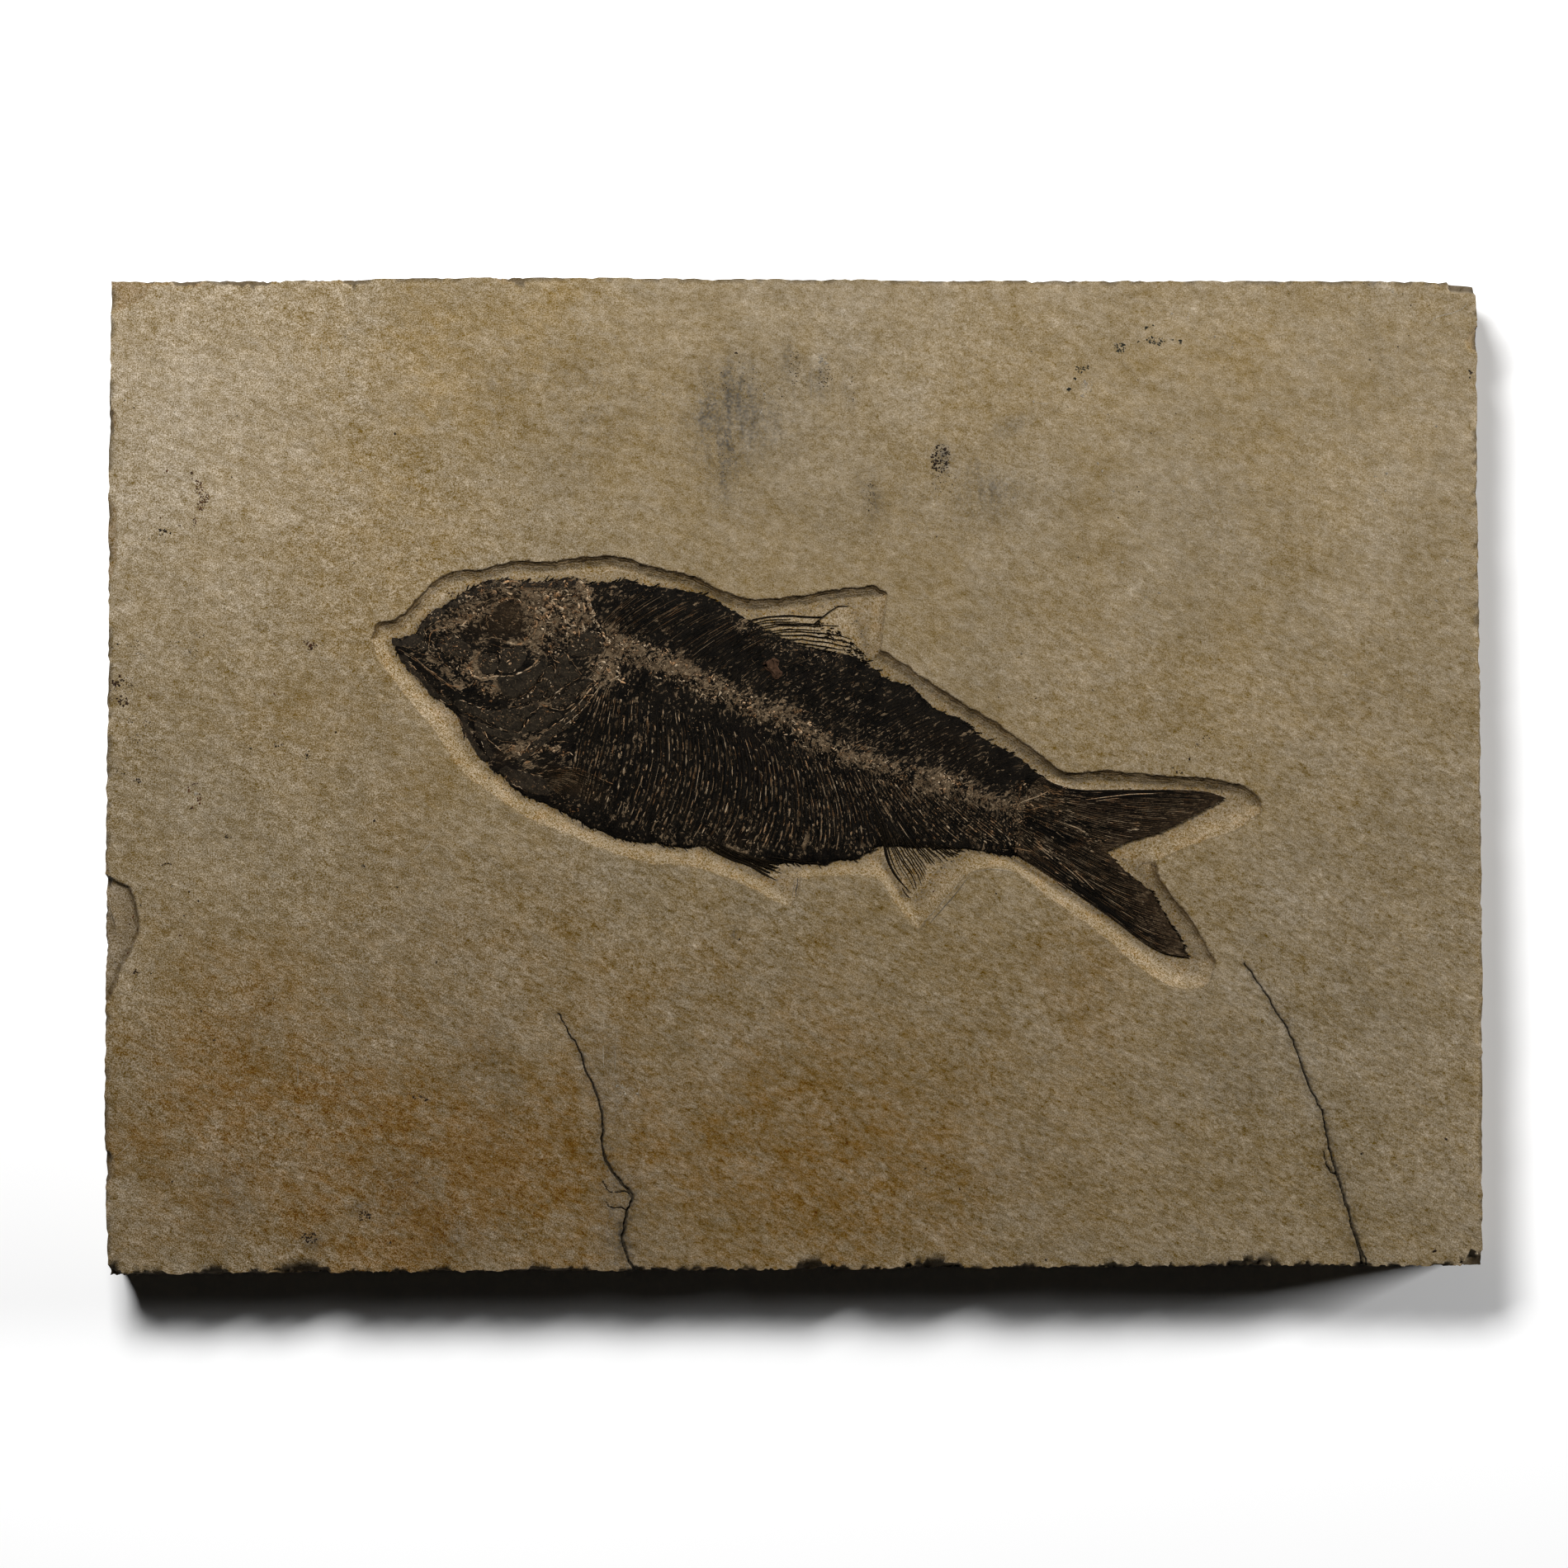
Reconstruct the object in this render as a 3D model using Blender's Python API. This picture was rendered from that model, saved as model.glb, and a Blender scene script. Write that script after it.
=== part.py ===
# A fossil fish in its limestone slab, lying on its back face with the fish looking up.
# Metres, +Z up. The origin is the middle of the slab's flat underside.
# The fish's snout points to -X and its back to +Y.
import math
import random

import bmesh
import bpy
from mathutils import Vector

# Slab of laminated limestone
SLAB_TOP = 0.0220
TOP_WAVE = 0.00016
LONG_WAVE = (34, 21, 0.7)
CROSS_WAVE = (-15, 47, 0.6)
CUTTER_RISE = 0.002
SLAB_COLUMNS = 30
SLAB_ROWS = 22
EDGE_RAGGEDNESS = 0.00035
CORNER_POWER = 21
SLAB_COLOUR = (0.30, 0.24, 0.16)
SLAB_ROUGHNESS = 0.92

# Edges of the slab as seen from above, each from -X to +X or from -Y to +Y
SLAB_UPPER_EDGE = (
    (-0.2150, 0.1562), (-0.1512, 0.1567), (-0.0940, 0.1575), (-0.0030, 0.1570),
    (0.0880, 0.1565), (0.2025, 0.1562), (0.2155, 0.1552),
)
SLAB_LOWER_EDGE = (
    (-0.2160, -0.1575), (-0.1850, -0.1570), (-0.1200, -0.1562), (-0.0160, -0.1555),
    (0.0880, -0.1547), (0.1660, -0.1542), (0.2172, -0.1542),
)
SLAB_LEFT_EDGE = (
    (-0.2160, -0.1575), (-0.2172, -0.1140), (-0.2170, -0.0672), (-0.2170, -0.0320),
    (-0.2165, 0.0107), (-0.2160, 0.0472), (-0.2160, 0.0992), (-0.2150, 0.1562),
)
SLAB_RIGHT_EDGE = (
    (0.2172, -0.1542), (0.2172, -0.0672), (0.2167, -0.0152), (0.2162, 0.0472),
    (0.2155, 0.0992), (0.2155, 0.1552),
)

# Bedding ledges down the slab's sides: height, and how far the stone stands out there
SIDE_LEDGES = (
    (0.0184, 0.0002), (0.0172, -0.0005), (0.0118, -0.0001),
    (0.0106, -0.0009), (0.0046, -0.0006), (0.0000, -0.0020),
)

# Conchoidal chips off the edges: place, reach along X and Y, depth below the top
CHIPS = (
    (-0.2152, 0.1560, 0.0110, 0.0085, 0.0013),
    (-0.1915, 0.1570, 0.0055, 0.0030, 0.0016),
    (-0.1720, 0.1572, 0.0095, 0.0026, 0.0016),
    (-0.1380, 0.1574, 0.0120, 0.0019, 0.0013),
    (0.2160, 0.1578, 0.0130, 0.0048, 0.0120),
    (0.2164, 0.1370, 0.0038, 0.0046, 0.0040),
    (0.2170, 0.1270, 0.0024, 0.0030, 0.0024),
    (0.2172, -0.1545, 0.0086, 0.0046, 0.0040),
    (0.1426, -0.1556, 0.0105, 0.0036, 0.0026),
    (0.0438, -0.1560, 0.0105, 0.0040, 0.0034),
    (0.0067, -0.1560, 0.0062, 0.0040, 0.0040),
    (-0.1538, -0.1572, 0.0075, 0.0036, 0.0036),
    (-0.1819, -0.1578, 0.0065, 0.0032, 0.0026),
    (-0.2165, -0.1580, 0.0050, 0.0044, 0.0050),
    (-0.2176, -0.1228, 0.0030, 0.0062, 0.0030),
    (-0.2168, -0.0505, 0.0105, 0.0195, 0.0014),
    (-0.2172, -0.0460, 0.0040, 0.0080, 0.0034),
    (-0.2162, 0.1110, 0.0022, 0.0085, 0.0022),
)
CHIP_BUMP = 0.16

# Hairline cracks that run in from the lower edge
CRACK_WIDTH = 0.0008
CRACK_DEPTH = 0.0013
CRACK_STATIONS = 14
CRACK_START = 0.25
CRACK_PINCH = 0.75
CRACKS = {
    "crack_left": (
        (-0.0727, -0.0775), (-0.0662, -0.0952), (-0.0600, -0.1165), (-0.0590, -0.1255),
        (-0.0525, -0.1337), (-0.0530, -0.1452), (-0.0490, -0.1590),
    ),
    "crack_right": (
        (0.1432, -0.0607), (0.1525, -0.0730), (0.1587, -0.0905), (0.1672, -0.1127),
        (0.1742, -0.1352), (0.1815, -0.1585),
    ),
}

# Trench cut round the fish. The stretches meet at sharp corners.
TRENCH_FLOOR = 0.0198
TRENCH_STEP = 0.0041
STEEP_WALL = 0.0018
SLOPED_WALL = 0.0042
CORNER_WALL = 0.0007
CORNER_LEAN = 0.55
TRENCH = (
    (
        (-0.1332, 0.0432), (-0.1312, 0.0482), (-0.1252, 0.0497), (-0.1197, 0.0547), (-0.1142, 0.0607),
        (-0.0980, 0.0655), (-0.0785, 0.0677), (-0.0545, 0.0692), (-0.0440, 0.0660), (-0.0310, 0.0630),
        (-0.0232, 0.0587), (-0.0135, 0.0560), (0.0017, 0.0570), (0.0185, 0.0595), (0.0297, 0.0577),
    ),
    ((0.0297, 0.0577), (0.0285, 0.0497), (0.0275, 0.0402)),
    (
        (0.0275, 0.0402), (0.0442, 0.0292), (0.0642, 0.0167), (0.0817, 0.0037), (0.0875, 0.0012),
        (0.1082, 0.0010), (0.1340, -0.0010), (0.1432, -0.0035), (0.1477, -0.0085), (0.1462, -0.0122),
        (0.1382, -0.0172), (0.1140, -0.0265),
    ),
    (
        (0.1140, -0.0265), (0.1160, -0.0332), (0.1242, -0.0437), (0.1307, -0.0540), (0.1327, -0.0595),
        (0.1305, -0.0655), (0.1252, -0.0670), (0.1102, -0.0612), (0.0900, -0.0447), (0.0732, -0.0322),
        (0.0632, -0.0287), (0.0565, -0.0300), (0.0440, -0.0430), (0.0395, -0.0480),
    ),
    ((0.0395, -0.0480), (0.0332, -0.0415), (0.0272, -0.0330), (0.0127, -0.0312), (0.0022, -0.0317)),
    ((0.0022, -0.0317), (0.0012, -0.0372), (-0.0002, -0.0407)),
    (
        (-0.0002, -0.0407), (-0.0155, -0.0342), (-0.0367, -0.0277), (-0.0597, -0.0232), (-0.0842, -0.0127),
        (-0.0945, -0.0057), (-0.1045, 0.0015), (-0.1137, 0.0150), (-0.1230, 0.0265), (-0.1332, 0.0432),
    ),
)

# Fish body: matching stations from the snout to the root of the tail
FISH_UNDERSIDE = 0.0201
UNDERSIDE_STEP = 0.00001
FISH_RIM = 0.0205
FISH_CROWN = 0.0211
FLANK_ROUNDING = 3
SPINE_CREST = 0.0004
SPINE_WIDTH = 0.16
RIB_RELIEF = 0.00016
BODY_COLUMNS = 80
BODY_ROWS = 9
SPINE_ROW = 4 / 9
RIB_BOW = 0.0040
FISH_COLOUR = (0.020, 0.016, 0.012)
FISH_ROUGHNESS = 0.62
BACK_LINE = (
    (-0.1260, 0.0435), (-0.1187, 0.0450), (-0.1147, 0.0515), (-0.1045, 0.0577), (-0.0907, 0.0625),
    (-0.0770, 0.0622), (-0.0640, 0.0612), (-0.0485, 0.0610), (-0.0342, 0.0587), (-0.0200, 0.0530),
    (-0.0042, 0.0442), (0.0100, 0.0400), (0.0242, 0.0347), (0.0385, 0.0270), (0.0530, 0.0180),
    (0.0660, 0.0092), (0.0797, -0.0010),
)
SPINE_LINE = (
    (-0.1262, 0.0427), (-0.1192, 0.0407), (-0.1122, 0.0380), (-0.1030, 0.0367), (-0.0915, 0.0372),
    (-0.0762, 0.0407), (-0.0615, 0.0460), (-0.0482, 0.0395), (-0.0355, 0.0337), (-0.0225, 0.0270),
    (-0.0095, 0.0207), (0.0042, 0.0135), (0.0177, 0.0080), (0.0307, 0.0030), (0.0437, -0.0012),
    (0.0567, -0.0047), (0.0702, -0.0112),
)
BELLY_LINE = (
    (-0.1260, 0.0417), (-0.1207, 0.0347), (-0.1130, 0.0255), (-0.1057, 0.0180), (-0.0992, 0.0082),
    (-0.0887, -0.0025), (-0.0752, -0.0102), (-0.0615, -0.0170), (-0.0472, -0.0207), (-0.0315, -0.0220),
    (-0.0160, -0.0262), (0.0010, -0.0272), (0.0177, -0.0265), (0.0295, -0.0220), (0.0425, -0.0222),
    (0.0555, -0.0227), (0.0712, -0.0245),
)
HEAD_END = 0.29
RIBS_END = 0.74
BLEND = 0.06
TRUNK_RELIEF = 0.35
HEAD_RELIEF = 0.2

# Fins: root line, tip line, number of rays and rows along a ray
FIN_ROOT_TOP = 0.0209
FIN_TIP_TOP = 0.0205
RAY_RELIEF = 0.00014
FINS = {
    "tail_fin": (
        ((0.0770, -0.0012), (0.0705, -0.0075), (0.0672, -0.0155), (0.0690, -0.0245)),
        (
            (0.1357, -0.0062), (0.1315, -0.0095), (0.1240, -0.0140), (0.1160, -0.0172), (0.1082, -0.0202),
            (0.0997, -0.0215), (0.0985, -0.0232), (0.1020, -0.0270), (0.1097, -0.0317), (0.1160, -0.0410),
            (0.1200, -0.0487), (0.1257, -0.0555), (0.1245, -0.0575),
        ),
        18,
        4,
    ),
    "dorsal_fin": (
        ((-0.0165, 0.0475), (-0.0085, 0.0440), (-0.0010, 0.0405), (0.0095, 0.0370), (0.0190, 0.0350)),
        ((0.0150, 0.0545), (0.0140, 0.0502), (0.0177, 0.0480), (0.0215, 0.0432), (0.0222, 0.0392)),
        11,
        3,
    ),
    "anal_fin": (
        ((0.0265, -0.0190), (0.0347, -0.0195), (0.0437, -0.0200), (0.0537, -0.0208)),
        ((0.0362, -0.0375), (0.0377, -0.0380), (0.0415, -0.0340), (0.0450, -0.0290), (0.0515, -0.0255)),
        12,
        3,
    ),
    "pelvic_fin": (
        ((-0.0300, -0.0190), (-0.0257, -0.0198), (-0.0212, -0.0200)),
        ((-0.0057, -0.0327), (-0.0052, -0.0307), (-0.0040, -0.0282)),
        7,
        2,
    ),
    "pectoral_fin": (
        ((-0.0797, 0.0030), (-0.0800, 0.0015), (-0.0790, -0.0005)),
        ((-0.0547, -0.0053), (-0.0600, -0.0075), (-0.0701, -0.0085)),
        7,
        2,
    ),
}
PECTORAL_LIFT = 0.0004

# Skull plates: outline and top height
PLATE_SLOPE = 0.80
PLATE_SIDES = 16
PLATE_CROWN = 0.0001
PLATES = {
    "gill_cover": (
        (
            (-0.0815, 0.0300), (-0.0740, 0.0355), (-0.0680, 0.0367), (-0.0622, 0.0270),
            (-0.0647, 0.0190), (-0.0705, 0.0095), (-0.0797, 0.0030), (-0.0882, 0.0070),
        ),
        0.0216,
    ),
    "cheek": (
        ((-0.0990, 0.0380), (-0.0900, 0.0392), (-0.0828, 0.0378), (-0.0835, 0.0322), (-0.0930, 0.0305)),
        0.0214,
    ),
    "jaw_hinge": (
        ((-0.1057, 0.0240), (-0.0960, 0.0236), (-0.0862, 0.0222), (-0.0866, 0.0150), (-0.0985, 0.0120)),
        0.0213,
    ),
    "skull_roof": (
        (
            (-0.1090, 0.0548), (-0.0985, 0.0590), (-0.0880, 0.0605), (-0.0700, 0.0600),
            (-0.0660, 0.0540), (-0.0740, 0.0480), (-0.0830, 0.0560), (-0.0980, 0.0550),
        ),
        0.0215,
    ),
}
EYE_PLACE = (-0.0898, 0.0503)
EYE_RADIUS = 0.0044
EYE_BULGE = 0.0010

# Long bones of the head: centre line, half width at the middle, top height
BONES = {
    "snout_bone": (((-0.1179, 0.0467), (-0.1148, 0.0508), (-0.1096, 0.0537)), 0.0014, 0.0214),
    "jaw_bone": (((-0.1236, 0.0400), (-0.1140, 0.0338), (-0.1030, 0.0268)), 0.0024, 0.0215),
    "gill_bone": (((-0.1010, 0.0165), (-0.0955, 0.0105), (-0.0915, 0.0045)), 0.0016, 0.0214),
    "shoulder_bone": (
        ((-0.0612, 0.0310), (-0.0650, 0.0235), (-0.0715, 0.0130), (-0.0800, 0.0060), (-0.0870, 0.0035)),
        0.0015,
        0.0218,
    ),
}
BONE_STATIONS = 8
BONE_END_WIDTH = 0.35
BONE_END_HEIGHT = 0.6


CURVE_READS = 400


def clear_scene():
    for old in list(bpy.data.objects):
        bpy.data.objects.remove(old, do_unlink=True)


def stone_material(name, colour, roughness):
    material = bpy.data.materials.new(name)
    material.use_nodes = True
    shader = material.node_tree.nodes["Principled BSDF"]
    shader.inputs["Base Color"].default_value = (*colour, 1.0)
    shader.inputs["Roughness"].default_value = roughness
    shader.inputs["Metallic"].default_value = 0.0
    return material


def add_solid(name, shape, material=None):
    # Closes the bmesh into an object. With no material it is a cutter or a lump to be joined.
    bmesh.ops.recalc_face_normals(shape, faces=shape.faces)
    mesh = bpy.data.meshes.new(name)
    shape.to_mesh(mesh)
    shape.free()
    solid = bpy.data.objects.new(name, mesh)
    bpy.context.scene.collection.objects.link(solid)
    if material:
        mesh.materials.append(material)
    else:
        solid.hide_render = True
        solid.display_type = "WIRE"
    return solid


def combine(solid, tool, operation):
    step = solid.modifiers.new(tool.name, "BOOLEAN")
    step.operation = operation
    step.solver = "EXACT"
    step.object = tool


def curve_point(points, share):
    # Catmull-Rom reading of an open run of points, share from 0 to 1.
    place = min(max(share, 0.0), 1.0) * (len(points) - 1)
    index = min(int(place), len(points) - 2)
    part = place - index
    here = Vector(points[index])
    there = Vector(points[index + 1])
    before = Vector(points[index - 1]) if index > 0 else here * 2 - there
    after = Vector(points[index + 2]) if index + 2 < len(points) else there * 2 - here
    slope = (there - before) * part
    bend = (before * 2 - here * 5 + there * 4 - after) * part ** 2
    twist = (here * 3 - before - there * 3 + after) * part ** 3
    return here + (slope + bend + twist) * 0.5


def even_points(points, count):
    # The same curve read at equal lengths, count steps from end to end.
    fine = [curve_point(points, step / CURVE_READS) for step in range(CURVE_READS + 1)]
    lengths = [0.0]
    for one, two in zip(fine, fine[1:]):
        lengths.append(lengths[-1] + (two - one).length)
    places = []
    index = 0
    for step in range(count + 1):
        target = lengths[-1] * step / count
        while index < CURVE_READS - 1 and lengths[index + 1] < target:
            index += 1
        span = lengths[index + 1] - lengths[index]
        places.append(fine[index].lerp(fine[index + 1], (target - lengths[index]) / span))
    return places


def ragged_edge(points, count, outward, seed):
    # An edge of broken stone: small steps in and out, with its two corners kept.
    draw = random.Random(seed)
    places = even_points(points, count)
    for place in places[1:-1]:
        place -= outward * draw.uniform(0.0, 2 * EDGE_RAGGEDNESS)
    return places


def sheet_solid(shape, columns, rows, surface, levels):
    # A grid laid on surface(u, v), with its border drawn down through the levels and closed flat.
    # Each level is a height and how far the border stands out there.
    bmesh.ops.create_grid(shape, x_segments=columns, y_segments=rows, size=0.5)
    for vertex in shape.verts:
        vertex.co = surface(vertex.co.x + 0.5, vertex.co.y + 0.5)
    border = [edge for edge in shape.edges if edge.is_boundary]
    reach_x = max(abs(vertex.co.x) for vertex in shape.verts)
    reach_y = max(abs(vertex.co.y) for vertex in shape.verts)
    rim = {vertex: vertex.co.copy() for edge in border for vertex in edge.verts}
    for height, outset in levels:
        drawn = bmesh.ops.extrude_edge_only(shape, edges=border)["geom"]
        border = [item for item in drawn if isinstance(item, bmesh.types.BMEdge)]
        lower = {}
        for vertex in [item for item in drawn if isinstance(item, bmesh.types.BMVert)]:
            start = min(rim, key=lambda upper: (upper.co - vertex.co).length_squared)
            home = rim[start]
            away = Vector(((home.x / reach_x) ** CORNER_POWER, (home.y / reach_y) ** CORNER_POWER, 0.0))
            if outset:
                vertex.co = home + away.normalized() * outset
            vertex.co.z = height
            lower[vertex] = home
        rim = lower
    bmesh.ops.contextual_create(shape, geom=border)


def slab_solid(material):
    upper = ragged_edge(SLAB_UPPER_EDGE, SLAB_COLUMNS, Vector((0.0, 1.0)), 3)
    lower = ragged_edge(SLAB_LOWER_EDGE, SLAB_COLUMNS, Vector((0.0, -1.0)), 5)
    left = ragged_edge(SLAB_LEFT_EDGE, SLAB_ROWS, Vector((-1.0, 0.0)), 7)
    right = ragged_edge(SLAB_RIGHT_EDGE, SLAB_ROWS, Vector((1.0, 0.0)), 9)

    def top_face(u, v):
        # A patch stretched between the four edges, with the low waves of a split bed.
        column = round(u * SLAB_COLUMNS)
        row = round(v * SLAB_ROWS)
        place = lower[column] * (1 - v) + upper[column] * v + left[row] * (1 - u) + right[row] * u
        place -= lower[0] * (1 - u) * (1 - v) + lower[-1] * u * (1 - v)
        place -= upper[0] * (1 - u) * v + upper[-1] * u * v
        run_x, run_y, shift = LONG_WAVE
        wave = math.sin(place.x * run_x + place.y * run_y + shift)
        run_x, run_y, strength = CROSS_WAVE
        wave += strength * math.sin(place.x * run_x + place.y * run_y)
        return Vector((place.x, place.y, SLAB_TOP + TOP_WAVE * wave))

    shape = bmesh.new()
    sheet_solid(shape, SLAB_COLUMNS, SLAB_ROWS, top_face, SIDE_LEDGES)
    return add_solid("limestone_slab", shape, material)


def trench_cutter():
    rim = []
    widths = []
    for stretch in TRENCH:
        length = sum((Vector(two) - Vector(one)).length for one, two in zip(stretch, stretch[1:]))
        count = max(2, round(length / TRENCH_STEP))
        rim += even_points(stretch, count)[:-1]
        # The wall stands steep in a corner, and leans out to its full width away from it.
        spacing = length / count
        widths += [CORNER_WALL + CORNER_LEAN * spacing * min(step, count - step) for step in range(count)]
    shape = bmesh.new()
    top = shape.faces.new([shape.verts.new((place.x, place.y, SLAB_TOP + CUTTER_RISE)) for place in rim])
    for height in (SLAB_TOP, TRENCH_FLOOR):
        drawn = bmesh.ops.extrude_face_region(shape, geom=[top])["geom"]
        if height == TRENCH_FLOOR:
            bmesh.ops.delete(shape, geom=[top], context="FACES_ONLY")
        top = next(item for item in drawn if isinstance(item, bmesh.types.BMFace))
        for vertex in top.verts:
            vertex.co.z = height
    for vertex in top.verts:
        index = min(range(len(rim)), key=lambda number: (rim[number] - vertex.co.xy).length_squared)
        along = (rim[(index + 1) % len(rim)] - rim[index - 1]).normalized()
        inward = Vector((along.y, -along.x))
        lean = STEEP_WALL + (SLOPED_WALL - STEEP_WALL) * (1 + inward.y) / 2
        vertex.co.xy += inward * min(lean, widths[index])
    return add_solid("trench_cutter", shape)


def crack_cutter(name, line):
    # A V groove that widens from a hairline at its inner end to its full width at the slab's edge.
    places = even_points(line, CRACK_STATIONS)
    shape = bmesh.new()
    first = places[0]
    corners = [shape.verts.new((first.x, first.y, SLAB_TOP)) for corner in range(3)]
    section = shape.faces.new(corners)
    for number, place in enumerate(places):
        if number:
            drawn = bmesh.ops.extrude_face_region(shape, geom=[section])["geom"]
            if number > 1:
                bmesh.ops.delete(shape, geom=[section], context="FACES_ONLY")
            section = next(item for item in drawn if isinstance(item, bmesh.types.BMFace))
        ahead = places[min(number + 1, len(places) - 1)] - places[max(number - 1, 0)]
        side = Vector((-ahead.y, ahead.x)).normalized()
        share = CRACK_START + (1 - CRACK_START) * number / CRACK_STATIONS
        half = CRACK_WIDTH * share * (1.0 if number % 2 else CRACK_PINCH)
        for corner, offset in zip(section.verts, (-half, 0.0, half)):
            corner.co.x = place.x + side.x * offset
            corner.co.y = place.y + side.y * offset
            corner.co.z = SLAB_TOP + CUTTER_RISE if offset else SLAB_TOP - CRACK_DEPTH * share
    return add_solid(name, shape)


def chip_cutter(number, x, y, reach_x, reach_y, depth):
    draw = random.Random(40 + number)
    shape = bmesh.new()
    bmesh.ops.create_icosphere(shape, subdivisions=2, radius=1.0)
    for vertex in shape.verts:
        bump = 1 + draw.uniform(-CHIP_BUMP, CHIP_BUMP)
        vertex.co = Vector((
            x + vertex.co.x * reach_x * bump,
            y + vertex.co.y * reach_y * bump,
            SLAB_TOP + vertex.co.z * depth * bump,
        ))
    return add_solid("chip_cutter_%02d" % number, shape)


def slope_between(low, high, value):
    share = min(max((value - low) / (high - low), 0.0), 1.0)
    return share * share * (3 - 2 * share)


def body_solid(material):
    def flank(u, v):
        # v runs from the back, over the spine at SPINE_ROW, to the belly.
        back = curve_point(BACK_LINE, u)
        spine = curve_point(SPINE_LINE, u)
        belly = curve_point(BELLY_LINE, u)
        if v < SPINE_ROW:
            across = v / SPINE_ROW - 1
            place = spine.lerp(back, -across)
        else:
            across = (v - SPINE_ROW) / (1 - SPINE_ROW)
            place = spine.lerp(belly, across)
        trunk = slope_between(HEAD_END - BLEND, HEAD_END + BLEND, u)
        ribbed = trunk * (1 - slope_between(RIBS_END - BLEND, RIBS_END + BLEND, u))
        if across > 0:
            place.x += RIB_BOW * ribbed * math.sin(math.pi * across)
        height = FISH_RIM + (FISH_CROWN - FISH_RIM) * (1 - abs(across) ** FLANK_ROUNDING)
        height += SPINE_CREST * trunk * math.exp(-(across / SPINE_WIDTH) ** 2)
        inside = 1 - abs(across) ** (2 * FLANK_ROUNDING)
        ridge = 1 if round(u * BODY_COLUMNS) % 2 else -1
        strength = TRUNK_RELIEF + (1 - TRUNK_RELIEF) * ribbed
        height += RIB_RELIEF * ridge * inside * strength * max(trunk, HEAD_RELIEF)
        return Vector((place.x, place.y, height))

    shape = bmesh.new()
    sheet_solid(shape, BODY_COLUMNS, BODY_ROWS, flank, ((FISH_UNDERSIDE, 0.0),))
    return add_solid("fossil_fish", shape, material)


def fin_solid(name, root, tips, rays, rows, underside, lift):
    columns = 2 * rays

    def web(u, v):
        place = curve_point(root, u).lerp(curve_point(tips, u), v)
        height = FIN_ROOT_TOP + lift + (FIN_TIP_TOP - FIN_ROOT_TOP) * v
        height += RAY_RELIEF if round(u * columns) % 2 else -RAY_RELIEF
        return Vector((place.x, place.y, height))

    shape = bmesh.new()
    sheet_solid(shape, columns, rows, web, ((underside, 0.0),))
    return add_solid(name, shape)


def plate_solid(name, outline, top, underside):
    # A flat skull bone with sloped rims and a raised middle.
    middle = sum((Vector(place) for place in outline), Vector((0.0, 0.0))) / len(outline)
    looped = outline[-1:] + outline + outline[:2]
    ring = [
        curve_point(looped, (1 + len(outline) * step / PLATE_SIDES) / (len(looped) - 1))
        for step in range(PLATE_SIDES)
    ]
    shape = bmesh.new()
    base = shape.faces.new([shape.verts.new((place.x, place.y, underside)) for place in ring])
    for scale, height in ((1.0, FISH_RIM), (PLATE_SLOPE, top - PLATE_CROWN), (PLATE_SLOPE / 2, top)):
        drawn = bmesh.ops.extrude_face_region(shape, geom=[base])["geom"]
        if height != FISH_RIM:
            bmesh.ops.delete(shape, geom=[base], context="FACES_ONLY")
        base = next(item for item in drawn if isinstance(item, bmesh.types.BMFace))
        for vertex, place in zip(base.verts, ring):
            vertex.co.xy = middle + (place - middle) * scale
            vertex.co.z = height
    return add_solid(name, shape)


def bone_solid(name, line, half_width, top, underside):
    # A long bone: a low five-sided bar that narrows to both ends.
    shape = bmesh.new()
    section = None
    for number in range(BONE_STATIONS + 1):
        share = number / BONE_STATIONS
        place = curve_point(line, share)
        ahead = curve_point(line, share + 0.02) - curve_point(line, share - 0.02)
        side = Vector((-ahead.y, ahead.x)).normalized()
        swell = math.sin(math.pi * share)
        half = half_width * (BONE_END_WIDTH + (1 - BONE_END_WIDTH) * swell ** 0.7)
        crest = FISH_RIM + (top - FISH_RIM) * (BONE_END_HEIGHT + (1 - BONE_END_HEIGHT) * swell)
        profile = ((-1.0, underside), (-1.0, FISH_RIM), (0.0, crest), (1.0, FISH_RIM), (1.0, underside))
        if section is None:
            section = shape.faces.new([shape.verts.new() for corner in profile])
        else:
            drawn = bmesh.ops.extrude_face_region(shape, geom=[section])["geom"]
            if number > 1:
                bmesh.ops.delete(shape, geom=[section], context="FACES_ONLY")
            section = next(item for item in drawn if isinstance(item, bmesh.types.BMFace))
        for corner, (offset, height) in zip(section.verts, profile):
            corner.co = (place.x + side.x * offset * half, place.y + side.y * offset * half, height)
    return add_solid(name, shape)


def eye_solid():
    shape = bmesh.new()
    bmesh.ops.create_icosphere(shape, subdivisions=2, radius=EYE_RADIUS)
    for vertex in shape.verts:
        height = FISH_CROWN + vertex.co.z / EYE_RADIUS * EYE_BULGE * 0.5
        vertex.co = Vector((vertex.co.x + EYE_PLACE[0], vertex.co.y + EYE_PLACE[1], height))
    return add_solid("eye_socket", shape)


def build_slab():
    slab = slab_solid(stone_material("limestone", SLAB_COLOUR, SLAB_ROUGHNESS))
    combine(slab, trench_cutter(), "DIFFERENCE")
    for name, line in CRACKS.items():
        combine(slab, crack_cutter(name, line), "DIFFERENCE")
    for number, chip in enumerate(CHIPS):
        combine(slab, chip_cutter(number, *chip), "DIFFERENCE")


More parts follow.
